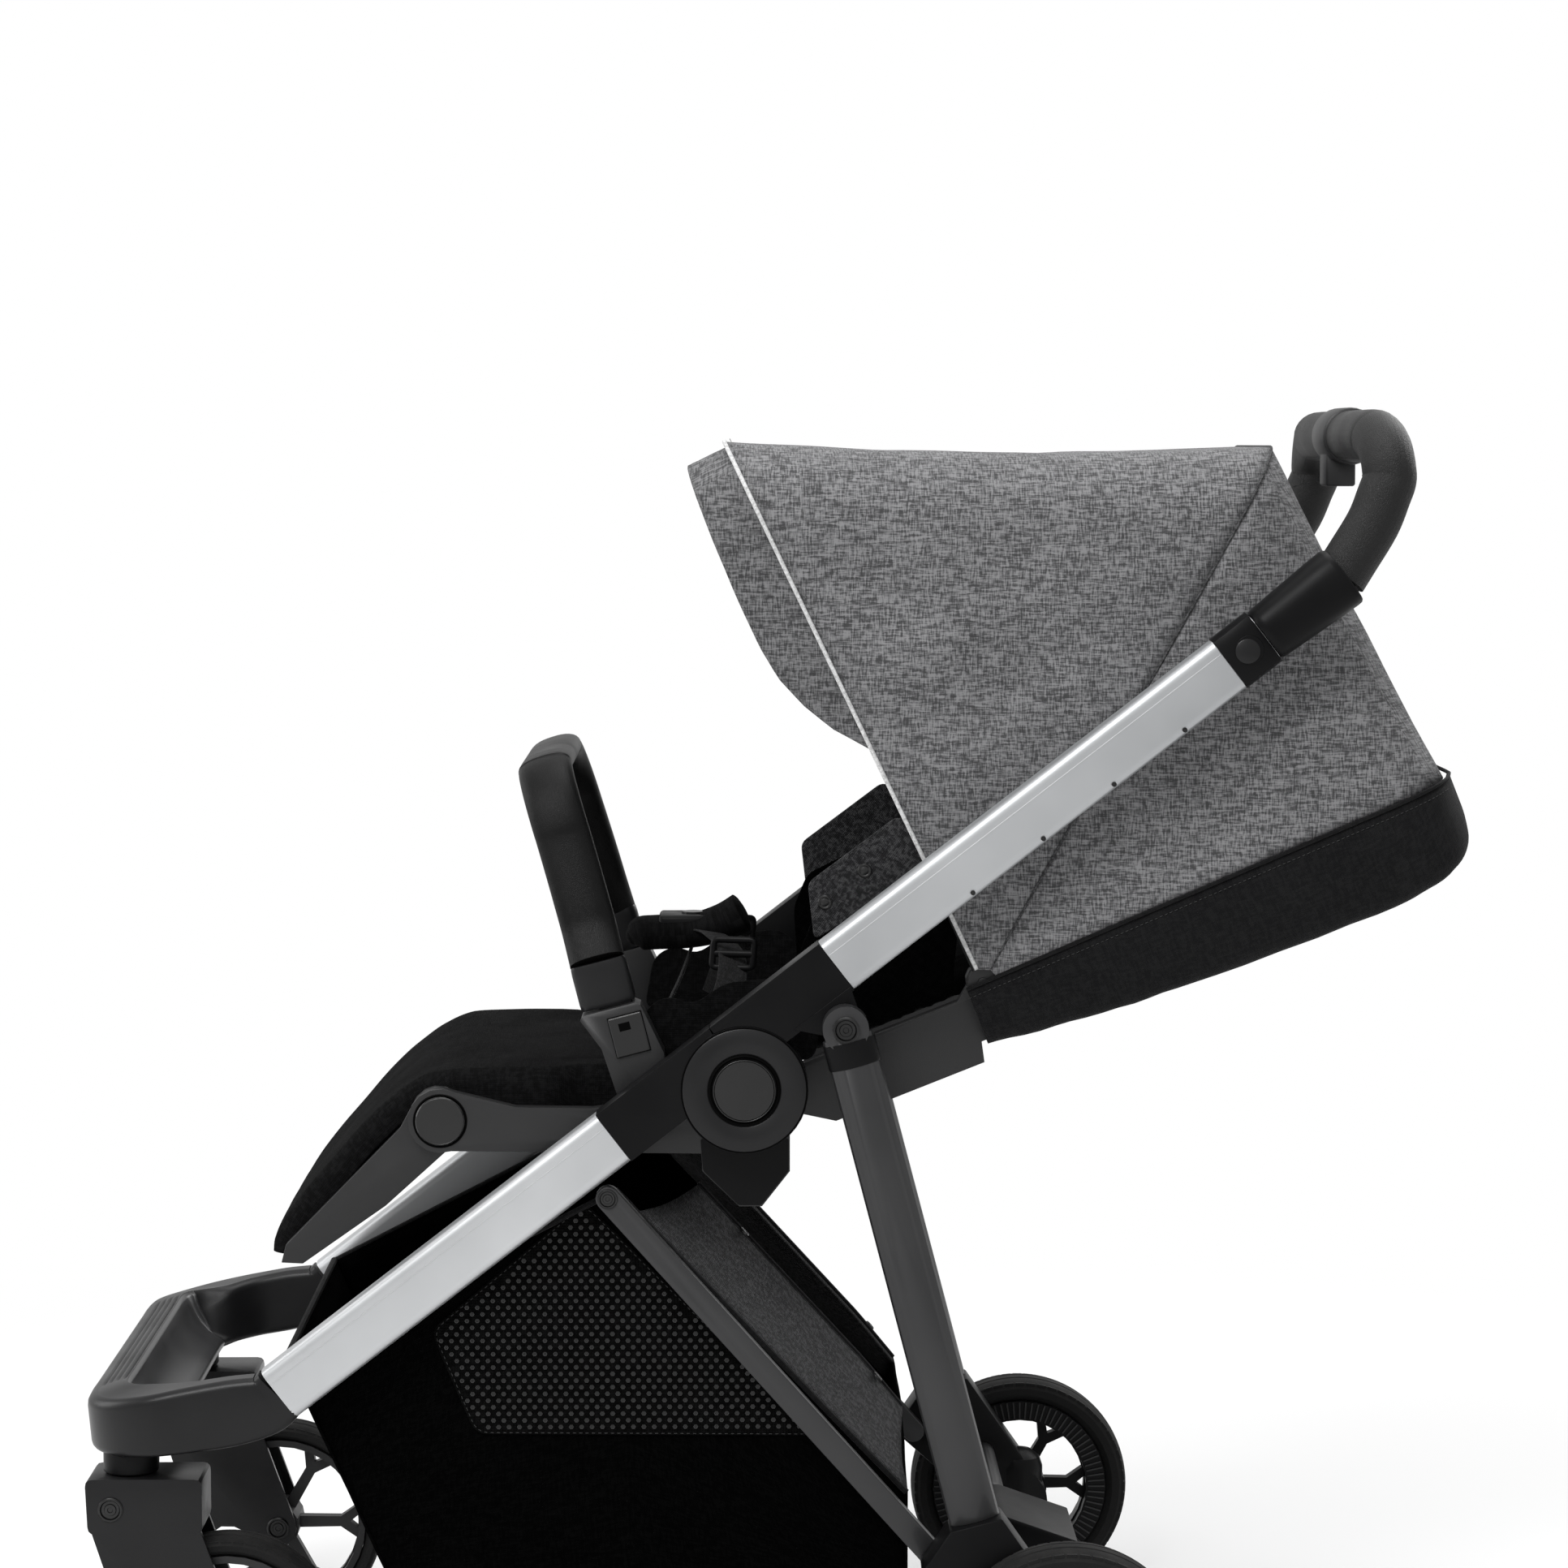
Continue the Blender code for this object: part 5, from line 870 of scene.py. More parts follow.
# soft folds seen on the side: middle (x, z), slope in degrees, half length, half width, height
clothFolds = [((0.070, 0.425), -18, 0.060, 0.010, 0.0030), ((0.115, 0.400), -30, 0.045, 0.009, -0.0026),
              ((0.150, 0.345), 30, 0.080, 0.013, 0.0026), ((0.235, 0.330), 34, 0.070, 0.010, -0.0026),
              ((0.290, 0.290), 36, 0.070, 0.009, 0.0032), ((0.100, 0.310), -48, 0.060, 0.011, -0.0022),
              ((0.330, 0.400), 15, 0.050, 0.012, 0.0018), ((0.260, 0.120), 24, 0.070, 0.010, 0.0022),
              ((0.380, 0.200), 50, 0.060, 0.011, -0.0022), ((0.440, 0.260), 62, 0.060, 0.012, 0.0022),
              ((0.210, 0.205), 55, 0.050, 0.008, 0.0024), ((0.085, 0.250), 10, 0.050, 0.010, 0.0018)]


def foldHeight(x, z):
    total = 0.0
    for (cx, cz), slope, length, width, height in clothFolds:
        c, s = cos(radians(slope)), sin(radians(slope))
        u, v = (x - cx) * c + (z - cz) * s, -(x - cx) * s + (z - cz) * c
        total += 3.0 * height * exp(-(u / length) ** 2 - (v / width) ** 2)
    return total


def bowLine(angle, length, corner, start, armSteps=22, cornerSteps=12, topSteps=9):
    # half of a bow's line, from its pivot over the shoulder to the middle
    half = canopy["half"] - 0.001
    c, s = cos(radians(angle)), sin(radians(angle))
    shoulder = length - corner
    flat = [(start + (shoulder - start) * k / armSteps, half) for k in range(armSteps)]
    flat += [(shoulder + corner * sin(pi / 2 * k / cornerSteps),
              half - corner + corner * cos(pi / 2 * k / cornerSteps))
             for k in range(cornerSteps + 1)]
    flat += [(length, (half - corner) * (1 - (k + 1) / topSteps)) for k in range(topSteps)]
    px, pz = canopy["pivot"]
    return [at((px + c * r, pz + s * r), y) for r, y in flat]


def wholeLine(half, middle=None):
    # a line on one side and its mirror image, joined in the middle
    mirrored = [Vector((p.x, -p.y, p.z)) for p in half]
    return (mirrored[:-1] if middle is None else [*mirrored, middle]) + list(reversed(half))


def canopyGrid(first, last, rows, sag):
    # rows of points from one bow to the next, sunk between them, with soft folds on the sides
    grid = []
    px, pz = canopy["pivot"]
    for row in range(rows + 1):
        t = row / rows
        line = []
        for a, b in zip(first, last):
            p = a.lerp(b, t)
            out = Vector((p.x - hub["x"] - px, 0, p.z - hub["z"] - pz))
            reach = out.length
            out.normalize()
            side = min(1.0, abs(p.y) / canopy["half"])
            drop = sag * (0.35 + 0.65 * (1 - side ** 3)) * 4 * t * (1 - t)
            drop *= min(1.0, reach / 0.35) ** 2
            edge = min(1.0, 6 * t * (1 - t) + 0.15)
            fold = foldHeight(p.x - hub["x"], p.z - hub["z"]) * edge
            ripple = 0.0012 * noise.noise(p * 17 + Vector((3, p.y * 2, 7))) * edge
            p = p - out * drop
            p.y += (1 if p.y > 0 else -1) * (fold + ripple) * side ** 6
            p += out * (ripple * 2 * (1 - side ** 4))
            line.append(p)
        grid.append(line)
    return grid


def addCanopy():
    # two panels between the bows, with piping, seam and stitches
    front = wholeLine(bowLine(*canopy["front"], canopy["corner"], canopy["start"]))
    rear = wholeLine(bowLine(*canopy["rear"], canopy["corner"], canopy["start"]))
    hem = wholeLine(bowLine(canopy["hem"][0], canopy["hem"][1], canopy["hemCorner"], canopy["start"]))
    made = {}
    for name, grid in (("canopyFront", canopyGrid(front, rear, canopy["rows"], canopy["sag"])),
                       ("canopyRear", canopyGrid(rear, hem, canopy["rows"] - 8, 0.002))):
        made[name], area = clothSheet(name, grid, canopy["thick"], "greyMelange", byFacing=True)
    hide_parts("canopy_front_panel")
    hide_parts("canopy_rear_panel")
    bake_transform(made["canopyFront"])
    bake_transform(made["canopyRear"])
    lifted = [p + Vector((0, 0.0008 if p.y > 0 else -0.0008, 0)) for p in front]
    sweep("frontPiping", lifted, roundSection(2 * canopy["piping"], 2 * canopy["piping"], 10), "whitePiping",
          "front_bow", up=(0, 1, 0))
    # the rear seam is a thin dark cord: its darkness is painted shade standing for the seam's groove
    sweep("rearSeam", [p + Vector((0, 0.0004 if p.y > 0 else -0.0004, 0.0003)) for p in rear],
          roundSection(2 * canopy["seam"], 2 * canopy["seam"], 8), "seamCloth", "rear_bow", up=(0, 1, 0))
    angle = radians(canopy["front"][0])
    back = Vector((sin(angle), 0, -cos(angle)))
    line = [p + back * 0.0050 + Vector((0, 0.0007 if p.y > 0 else -0.0007, 0)) for p in front]
    stitchRow("frontStitches", line, "greyThread", "front_bow")


def addVisor():
    # a flap ahead of the front bow that grows longer from its corners to the middle
    reach = canopy["visorReach"]
    half = bowLine(canopy["front"][0], canopy["front"][1] - 0.006, canopy["corner"] - 0.004,
                   canopy["visorStart"])
    whole = wholeLine([Vector((p.x, p.y * 0.975, p.z)) for p in half])
    angle = radians(canopy["front"][0])
    ahead = Vector((-sin(angle), 0, cos(angle)))
    count = len(whole) - 1
    rows, lines = 7, []
    for row in range(rows + 1):
        t = row / rows
        line = []
        for k, p in enumerate(whole):
            share = min(k, count - k) / (count / 2) * (len(reach) - 1)
            low = min(int(share), len(reach) - 2)
            far = reach[low] + (reach[low + 1] - reach[low]) * (share - low)
            wave = 0.0012 * noise.noise(Vector((k * 0.25, t * 2, 1)))
            line.append(p + ahead * (0.0004 + far * t - 0.006 * (1 - t)) + Vector((0, wave, wave)))
        lines.append(line)
    visor, area = clothSheet("sunVisor", lines, 0.0022, "greyLining", "front_bow", 0.0, byFacing=True)
    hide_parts("sun_visor")
    stitchRow("visorStitches", [p * 0.86 + q * 0.14 + Vector((0, -0.0013 if p.y < 0 else 0.0013, 0.0002))
                                for p, q in zip(lines[-1][2:-2], lines[-3][2:-2])], "greyThread", "front_bow")


addCanopy()
addVisor()
print("canopy")


# Black band round the back, side wings
band = {"stations": [(0.190, 0.1775, -0.0470), (0.245, 0.1775, -0.0540), (0.310, 0.1775, -0.0600),
                     (0.378, 0.1775, -0.0635), (0.515, 0.1775, -0.0655), (0.560, 0.1775, -0.0620),
                     (0.590, 0.1690, -0.0540), (0.606, 0.1510, -0.0430), (0.613, 0.1270, -0.0300)],
        "round": 0.016, "thick": 0.0022, "hemShare": 0.0279, "stitchDrop": 0.0075, "pivotU": 0.2041,
        "pivotW": 0.0017}


def addBand():
    # one sheet round the back of the shell, closed at the head end
    marks = [Vector(s) for s in band["stations"]]
    smooth = smoothLine(marks, 5)
    grid = []
    for u, half, low in smooth:
        top = band["pivotW"] + (u - band["pivotU"]) * band["hemShare"] + 0.0005
        r = band["round"]
        half -= 0.0002
        profile = [(half, top - (top - low - r) * k / 5) for k in range(5)]
        profile += [(half - r + r * cos(pi / 2 * k / 5), low + r - r * sin(pi / 2 * k / 5)) for k in range(6)]
        profile += [((half - r) * (1 - k / 7), low) for k in range(1, 8)]
        row = []
        for k, (y, w) in enumerate(profile):
            ripple = noise.noise(Vector((u * 38, y * 16, 2.0))) * 0.0014 * min(1.0, k / 5) * (u < 0.58)
            row.append((u, w + max(ripple, -0.001) if k > 7 else w, y - abs(ripple) * (3 < k <= 7)))
        whole = [onBack(a, b, -y) for a, b, y in row[:-1]] + [onBack(a, b, y) for a, b, y in reversed(row)]
        grid.append(whole)

    def closeEnd(shape):
        ring = list(shape.verts)[-len(grid[0]):]
        made = [shape.verts.new(p.co.lerp(onBack(0.6128, -0.012, p.co.y * 0.55), 0.5)) for p in ring]
        for k in range(len(ring) - 1):
            shape.faces.new((ring[k], ring[k + 1], made[k + 1], made[k]))
        shape.faces.new(made)
    piece, area = clothSheet("backBand", grid, band["thick"], "blackCloth", "backrest", -1.0, closeEnd)
    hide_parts("back_shell")
    edge = [row[0] for row in grid]
    other = [row[-1] for row in grid]
    rim = [p + Vector((0, -0.0006, 0)) for p in edge] + [p + Vector((0.0006, 0, 0)) for p in
                                                         resampled([edge[-1], other[-1]], 12)[1:-1]]
    rim += [p + Vector((0, 0.0006, 0)) for p in reversed(other)]
    sweep("bandPiping", rim, roundSection(0.003, 0.003, 8), "blackCloth", "backrest", up=(0, 0, 1))
    down = sloped((0, -1), hub["backAngle"]) * band["stitchDrop"]
    for name, line, way in (("bandStitchesLeft", edge, -1), ("bandStitchesRight", other, 1)):
        stitchRow(name, [p + down + Vector((0, way * 0.0004, 0)) for p in line[:-6]], "blackThread",
                  "backrest")


wing = {"plane": 0.1625, "thick": 0.0026,
        "outline": [(0.0504, 0.1555), (0.1211, 0.2084), (0.1620, 0.1900), (0.1440, 0.1630), (0.0556, 0.1100)],
        "lining": [(0.0560, 0.1290), (0.1437, 0.1720), (0.1700, 0.1200), (0.1650, 0.0680), (0.0640, 0.0280),
                   (0.0480, 0.0400), (0.0440, 0.1000)],
        "snaps": [(0.0955, 0.1652), (0.0640, 0.1400)]}


def corners(wide, tall):
    return [(-wide, -tall), (wide, -tall), (wide, tall), (-wide, tall)]


def roundedLoop(points, reach, steps=4):
    result = []
    for k, point in enumerate(points):
        corner = Vector(point)
        before, after = Vector(points[k - 1]) - corner, Vector(points[(k + 1) % len(points)]) - corner
        first = corner + before.normalized() * min(reach, before.length * 0.45)
        last = corner + after.normalized() * min(reach, after.length * 0.45)
        for step in range(steps + 1):
            t = step / steps
            result.append(first * (1 - t) ** 2 + corner * 2 * t * (1 - t) + last * t ** 2)
    return result


def flatPanel(name, outline, y, thick, finishName, body, mapTurn=0.0):
    # a flat sewn panel that stands upright at one y
    shape = bmesh.new()
    layer = shape.loops.layers.uv.new("cloth")
    face = shape.faces.new([shape.verts.new(at(p, y)) for p in outline])
    made = bmesh.ops.extrude_face_region(shape, geom=[face])
    moved = [v for v in made["geom"] if isinstance(v, bmesh.types.BMVert)]
    bmesh.ops.translate(shape, verts=moved, vec=(0, thick if y > 0 else -thick, 0))
    bmesh.ops.recalc_face_normals(shape, faces=shape.faces)
    for each in shape.faces:
        for loop in each.loops:
            loop[layer].uv = turned((loop.vert.co.x, loop.vert.co.z), mapTurn)
    piece = asPiece(name, shape, finishName, None)
    edge = piece.modifiers.new("soft edge", "BEVEL")
    edge.width = thick * 0.3
    edge.segments = 2
    edge.limit_method = "ANGLE"
    settle(piece)
    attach(piece, body)
    return piece


def addWings():
    for name, side in sides.items():
        outline = roundedLoop(wing["outline"], 0.006)
        flatPanel("sideWing_" + name, outline, side * wing["plane"], wing["thick"], "stripCloth", "backrest",
                  37)
        flatPanel("sideLining_" + name, roundedLoop(wing["lining"], 0.008), side * (wing["plane"] - 0.004),
                  wing["thick"], "tubCloth", "backrest", 37)
        face = side * (wing["plane"] + wing["thick"])
        partsOnPoints("wingSnaps_" + name, "snap", [(at(p, face), (0, side, 0), (1, 0, 0))
                                                    for p in wing["snaps"]],
                      "glossPlastic", "backrest")
        inner = [at(p, face + side * 0.0001) for p in roundedLoop(wing["outline"], 0.006)]
        centre = sum(inner, Vector()) / len(inner)
        stitchRow("wingStitches_" + name, [p.lerp(centre, 0.07) for p in inner[:12]], "blackThread",
                  "backrest")


addBand()
addWings()
print("band and wings")


# Cushions and the cover over them
cushions = {
    "seatCushion": {"node": "seat_pad", "body": "chassis", "half": 0.1625, "cap": 0.0060,
                    "outline": [(-0.2600, -0.0120), (-0.2300, -0.0135), (-0.2050, -0.0350),
                                (-0.0410, -0.0350), (-0.0410, 0.0040), (-0.2150, 0.0040),
                                (-0.2440, -0.0010)]},
    "legCushion": {"node": "leg_rest_pad", "body": "leg_rest", "half": 0.1625, "cap": 0.0060},
    "backCushion": {"node": "backrest_pad", "body": "backrest", "half": 0.1430, "cap": 0.0065}}


def turnedOutline(origin, along, points):
    over = Vector((along.y, -along.x))
    return [tuple(origin + along * d + over * h) for d, h in points]


def padOutlines():
    pivot, end = Vector(hub["knee"]), Vector((-0.358, -0.137))
    run = (end - pivot).length
    ahead = (end - pivot).normalized()
    cushions["legCushion"]["outline"] = turnedOutline(pivot, ahead, [
        (0.036, 0.0025), (run + 0.007, 0.0025), (run + 0.012, 0.0055), (0.112, 0.0188), (0.066, 0.0285),
        (0.032, 0.0258)])
    cushions["legCushion"]["way"] = (pivot, ahead)
    cushions["backCushion"]["outline"] = [turned(p, hub["backAngle"]) for p in [
        (0.038, -0.0010), (0.205, -0.0010), (0.268, -0.0400), (0.530, -0.0400), (0.530, 0.0120),
        (0.038, 0.0120)]]


def swell(piece, cap):
    # the cushion fills out under pressure, no further than cap anywhere
    even = piece.modifiers.new("even faces", "REMESH")
    even.mode = "VOXEL"
    even.voxel_size = 0.005
    settle(piece)
    rest = [v.co.copy() for v in piece.data.vertices]
    cloth = piece.modifiers.new("swell", "CLOTH")
    cloth.settings.use_pressure = True
    cloth.settings.uniform_pressure_force = 4
    cloth.settings.effector_weights.gravity = 0
    cloth.settings.quality = 4
    cloth.point_cache.frame_start, cloth.point_cache.frame_end = 1, 20
    for step in range(1, 21):
        bpy.context.scene.frame_set(step)
    graph = bpy.context.evaluated_depsgraph_get()
    swollen = [v.co.copy() for v in piece.evaluated_get(graph).data.vertices]
    piece.modifiers.clear()
    bpy.context.scene.frame_set(1)
    for vertex, start, moved in zip(piece.data.vertices, rest, swollen):
        shift = moved - start
        if shift.length > cap:
            shift *= cap / shift.length
        vertex.co = start + shift


def addCushion(name, plan):
    # an outline carried across, swollen by the simulation, then pressed in along its sewn channels
    shape = bmesh.new()
    outline = roundedLoop(plan["outline"], 0.006, 3)
    half = plan["half"]
    rounds = [(-half, 0.86), (-half + 0.004, 0.96), (-half + 0.012, 1.0), (half - 0.012, 1.0),
              (half - 0.004, 0.96), (half, 0.86)]
    centre = sum((Vector(p) for p in outline), Vector((0, 0))) / len(outline)
    joinRings(shape, [[at(centre.lerp(Vector(p), share), y) for p in outline] for y, share in rounds])
    bmesh.ops.triangulate(shape, faces=shape.faces)
    bmesh.ops.recalc_face_normals(shape, faces=shape.faces)
    piece = asPiece(name, shape, "seatCloth", None, 180)
    swell(piece, plan["cap"])
    finer = piece.modifiers.new("finer", "SUBSURF")
    finer.levels = finer.render_levels = 1
    settle(piece)
    rest = [(v.co.copy(), v.normal.copy()) for v in piece.data.vertices]
    for vertex, (co, normal) in zip(piece.data.vertices, rest):
        depth = 0.0
        for a, b, width, deep in plan.get("channels", []):
            p = Vector((plan["measure"](co), co.y))
            run = Vector(b) - Vector(a)
            t = max(0.0, min(1.0, (p - Vector(a)).dot(run) / run.length_squared))
            away = (p - (Vector(a) + run * t)).length
            depth += deep * exp(-(away / width) ** 2)
        if depth and normal.dot(plan["upward"]) > 0.3:
            vertex.co = co - normal * min(depth, 0.004)
    mapByFacing(piece.data)
    piece.data.shade_smooth()
    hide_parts(plan["node"])
    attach(piece, plan["body"])


def addCushions():
    padOutlines()
    pivot, ahead = cushions["legCushion"]["way"]
    back = Vector(turned((1, 0), hub["backAngle"]))
    cushions["seatCushion"].update(upward=Vector((0, 0, 1)), channels=[
        ((-0.232, -0.128), (-0.052, -0.128), 0.004, 0.0026),
        ((-0.232, 0.128), (-0.052, 0.128), 0.004, 0.0026), ((-0.232, -0.128), (-0.232, 0.128), 0.004, 0.0026),
        ((-0.165, -0.128), (-0.165, 0.128), 0.0035, 0.0022),
        ((-0.105, -0.128), (-0.105, 0.128), 0.0035, 0.0022)],
        measure=lambda co: co.x - hub["x"])
    cushions["legCushion"].update(upward=Vector((ahead.y, 0, -ahead.x)), channels=[
        ((0.045, -0.130), (0.150, -0.130), 0.004, 0.0026), ((0.045, 0.130), (0.150, 0.130), 0.004, 0.0026),
        ((0.150, -0.130), (0.150, 0.130), 0.004, 0.0024)],
        measure=lambda co: (Vector((co.x - hub["x"], co.z - hub["z"])) - pivot).dot(ahead))
    cushions["backCushion"].update(upward=sloped((0, 1), hub["backAngle"]), channels=[
        ((0.05, -0.105), (0.51, -0.105), 0.004, 0.0028), ((0.05, 0.105), (0.51, 0.105), 0.004, 0.0028),
        ((0.51, -0.105), (0.51, 0.105), 0.004, 0.0026), ((0.17, -0.105), (0.17, 0.105), 0.0035, 0.0024),
        ((0.29, -0.105), (0.29, 0.105), 0.0035, 0.0024), ((0.40, -0.105), (0.40, 0.105), 0.0035, 0.0024)],
        measure=lambda co: Vector((co.x - hub["x"], co.z - hub["z"])).dot(back))
    for name, plan in cushions.items():
        addCushion(name, plan)
        print("cushion:", name)


seatCover = {"line": [(-0.0620, 0.0085), (-0.1200, 0.0098), (-0.1800, 0.0098), (-0.2200, 0.0092),
                      (-0.2420, 0.0062), (-0.2620, -0.0020), (-0.2800, -0.0150), (-0.2960, -0.0295),
                      (-0.3180, -0.0530), (-0.3400, -0.0780), (-0.3620, -0.1060), (-0.3745, -0.1270),
                      (-0.3765, -0.1400)],
             "seatHalf": 0.1792, "legHalf": 0.1648, "socketHalf": 0.1640, "fall": 0.036, "legFall": 0.020}


def addSeatCover():
    # the cover lies over both cushions and hangs down inside the arms
    line = smoothLine([Vector(p) for p in seatCover["line"]], 5)
    grid = []
    for k, p in enumerate(line):
        ahead = (line[min(k + 1, len(line) - 1)] - line[max(k - 1, 0)]).normalized()
        over = Vector((ahead.y, -ahead.x))
        if over.y < 0 and p.x > -0.3:
            over = -over
        over = over if over.x < 0 or over.y > 0 else -over
        knee = min(1.0, max(0.0, (-0.236 - p.x) / 0.020))
        socket = min(1.0, max(0.0, (p.x + 0.150) / 0.018))
        half = seatCover["seatHalf"] + (seatCover["legHalf"] - seatCover["seatHalf"]) * knee
        half += (seatCover["socketHalf"] - seatCover["seatHalf"]) * socket * (1 - knee)
        fall = seatCover["fall"] + (seatCover["legFall"] - seatCover["fall"]) * knee
        bend = 0.012
        profile = [(0.0, half - bend - (half - bend) * t)
                   for t in (1.0, 0.85, 0.7, 0.55, 0.42, 0.3, 0.2, 0.1)]
        profile += [(bend * (1 - cos(pi / 2 * n / 6)), half - bend + bend * sin(pi / 2 * n / 6))
                    for n in range(7)]
        profile += [(bend + (fall - bend) * t, half) for t in (0.2, 0.4, 0.6, 0.8, 1.0)]
        row = []
        for n, (down, y) in enumerate(profile):
            ripple = 0.0010 * noise.noise(Vector((p.x * 24, p.y * 24, y * 15 + down * 30)))
            seam = -0.0011 * exp(-((y - 0.128) / 0.003) ** 2) * (down < 0.001)
            spot = p - over * (down + 0.0012 * (y / half) ** 2 - ripple - seam)
            row.append((spot, y))
        grid.append([at(q, -y) for q, y in reversed(row[1:])] + [at(q, y) for q, y in row])
    piece, area = clothSheet("seatCover", grid, 0.0014, "seatCloth", None, 0.0)
    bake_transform(piece)


addCushions()
addSeatCover()
print("seat cover")


# Basket
basket = {"half": 0.1975, "thick": 0.0022,
          "bottom": [(-0.2670, -0.4265), (0.1285, -0.4265)],
          "top": [(-0.3620, -0.2190), (-0.1000, -0.0840), (-0.0850, -0.1020), (0.0710, -0.2670),
                  (0.1285, -0.3270)],
          "hemHalf": 0.090, "hem": [(0.1285, -0.2834), (0.0970, -0.2450), (-0.0370, -0.0990)],
          "mesh": [(-0.248, -0.196), (-0.213, -0.279), (0.060, -0.281), (-0.126, -0.093)],
          "dotStep": 0.0082, "dotEdge": 0.0045, "back": 0.1285, "backLow": -0.4080,
          "tub": [(-0.3605, -0.2200), (-0.3400, -0.2665), (-0.3130, -0.3250), (-0.2900, -0.3770),
                  (-0.2740, -0.4110), (-0.2640, -0.4240), (-0.2500, -0.4265), (-0.1600, -0.4265),
                  (-0.0600, -0.4265), (0.0400, -0.4265), (0.1100, -0.4265), (0.1245, -0.4220),
                  (0.1285, -0.4080)]}


def sagged(p, strength=1.0):
    return noise.noise(Vector((p.x * 11, p.y * 9, p.z * 14))) * 0.0016 * strength


def addBasketSide(name, side):
    # a side wall between the bottom and top lines, with a slight belly
    count, rows = 40, 18
    bottom = resampled([Vector((*p, 0)) for p in basket["bottom"]], count)
    top = resampled([Vector((*p, 0)) for p in basket["top"]], count)
    grid = []
    for row in range(rows + 1):
        t = row / rows
        line = []
        for a, b in zip(bottom, top):
            p = a.lerp(b, t)
            belly = 0.0016 * sin(pi * t)
            line.append(at((p.x, p.y), side * (basket["half"] - belly - 0.0009)))
            line[-1].y += sagged(line[-1], 0.6) * sin(pi * t)
        grid.append(line)
    piece, area = clothSheet(name, grid, basket["thick"], "tubCloth", "chassis", 0.0)


def addBasket():
    # the tub, its sides, the woven flaps over the rear opening, the rims and the mesh panels
    half, back, backLow = basket["half"], basket["back"], basket["backLow"]
    for name, side in sides.items():
        addBasketSide("basketSide_" + name, side)
    ys = [half * (k / 20 - 1) for k in range(41)]
    grid = []
    for y in ys:
        side = abs(y) / half
        share = min(1.0, max(0.0, (abs(y) - basket["hemHalf"]) / (half - basket["hemHalf"])))
        topZ = basket["hem"][0][1] + (basket["top"][-1][1] - basket["hem"][0][1]) * share
        line = [at(p, y) for p in basket["tub"]]
        line += [at((back, backLow + (topZ - backLow) * k / 5), y) for k in range(1, 6)]
        for k, p in enumerate(line):
            lift = sagged(p) * (1 - side ** 8)
            if 5 < k < 11:
                p.z += abs(lift)
            elif k <= 5:
                p.x += lift
            else:
                p.x -= abs(lift)
        grid.append(line)
    tub, area = clothSheet("basketTub", grid, basket["thick"], "tubCloth", "chassis", 0.0)
    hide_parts("basket")
    for name, side in sides.items():
        outer = resampled([Vector((*p, 0)) for p in basket["top"][4:1:-1]], 24)
        inner = resampled([Vector((*p, 0)) for p in basket["hem"]], 24)
        lines = []
        for row in range(9):
            t = row / 8
            lines.append([at(a.lerp(b, t)[:2], side * (half + (basket["hemHalf"] - half) * t)) -
                          Vector((0, 0, 0.004 * sin(pi * t))) for a, b in zip(outer, inner)])
        flap, area = clothSheet("basketFlap_" + name, lines, basket["thick"], "stripCloth", "chassis", 0.0)
        sweep("flapEdge_" + name, [p + Vector((0, 0, 0.0006)) for p in lines[-1]],
              roundSection(0.0045, 0.0045, 8), "blackCloth", "chassis", up=(0, 1, 0))
        strip = [[p + Vector((0, -side * d, -0.0016)) for p in lines[-1]] for d in (-0.004, 0.006, 0.018)]
        tape, area = clothSheet("snapStrip_" + name, strip, 0.002, "webbing", "chassis", 0.0)
        marks = [lines[-1][k] + Vector((0, side * 0.008, 0.001)) for k in (3, 18)]
        slope = (lines[-1][20] - lines[-1][4]).normalized()
        facing = Vector((-slope.z, 0, slope.x))
        facing = facing if facing.z > 0 else -facing
        partsOnPoints("flapSnaps_" + name, "snap", [(p + facing * 0.0012, facing, slope) for p in marks],
                      "glossPlastic", "chassis", 0.8)
        rim = [at(p, side * (half + 0.0002)) for p in basket["top"]]
        sweep("basketRim_" + name, resampled(rim, 48), roundSection(0.005, 0.005, 8), "blackCloth", "chassis",
              up=(0, 1, 0))
        addMeshPanel(name, side)
    frontRim = [at((-0.3620, -0.2185), y) for y in ys]
    sweep("basketFrontRim", frontRim, roundSection(0.006, 0.006, 8), "blackCloth", "chassis", up=(0, 0, 1))


def addMeshPanel(name, side):
    # a flat panel with raised dots in staggered rows
    marks = [Vector(p) for p in basket["mesh"]]
    sidesOf = list(zip(marks, marks[1:] + marks[:1]))
    y = side * (basket["half"] + 0.0004)
    outline = roundedLoop(basket["mesh"], 0.010)
    flatPanel("meshPanel_" + name, outline, y, 0.0010, "meshCloth", "chassis")
    points, step = [], basket["dotStep"]
    row = 0
    z = -0.284
    while z < -0.09:
        x = -0.26 + (step / 2 if row % 2 else 0)
        while x < 0.07:
            p = Vector((x, z))
            if all((b - a).cross(p - a) > basket["dotEdge"] * (b - a).length for a, b in sidesOf):
                points.append((at(p, y + side * 0.0010), (0, side, 0), (1, 0, 0)))
            x += step
        z += step * 0.866 * 0.75
        row += 1
    partsOnPoints("meshDots_" + name, "dot", points, "glossPlastic", "chassis")
    loop = [at(p, y + side * 0.0012) for p in outline]
    centre = sum(loop, Vector()) / len(loop)
    stitchRow("meshStitches_" + name, [p.lerp(centre, 0.02) for p in loop + loop[:1]], "blackThread",
              "chassis", 0.005)


addBasket()
print("basket")


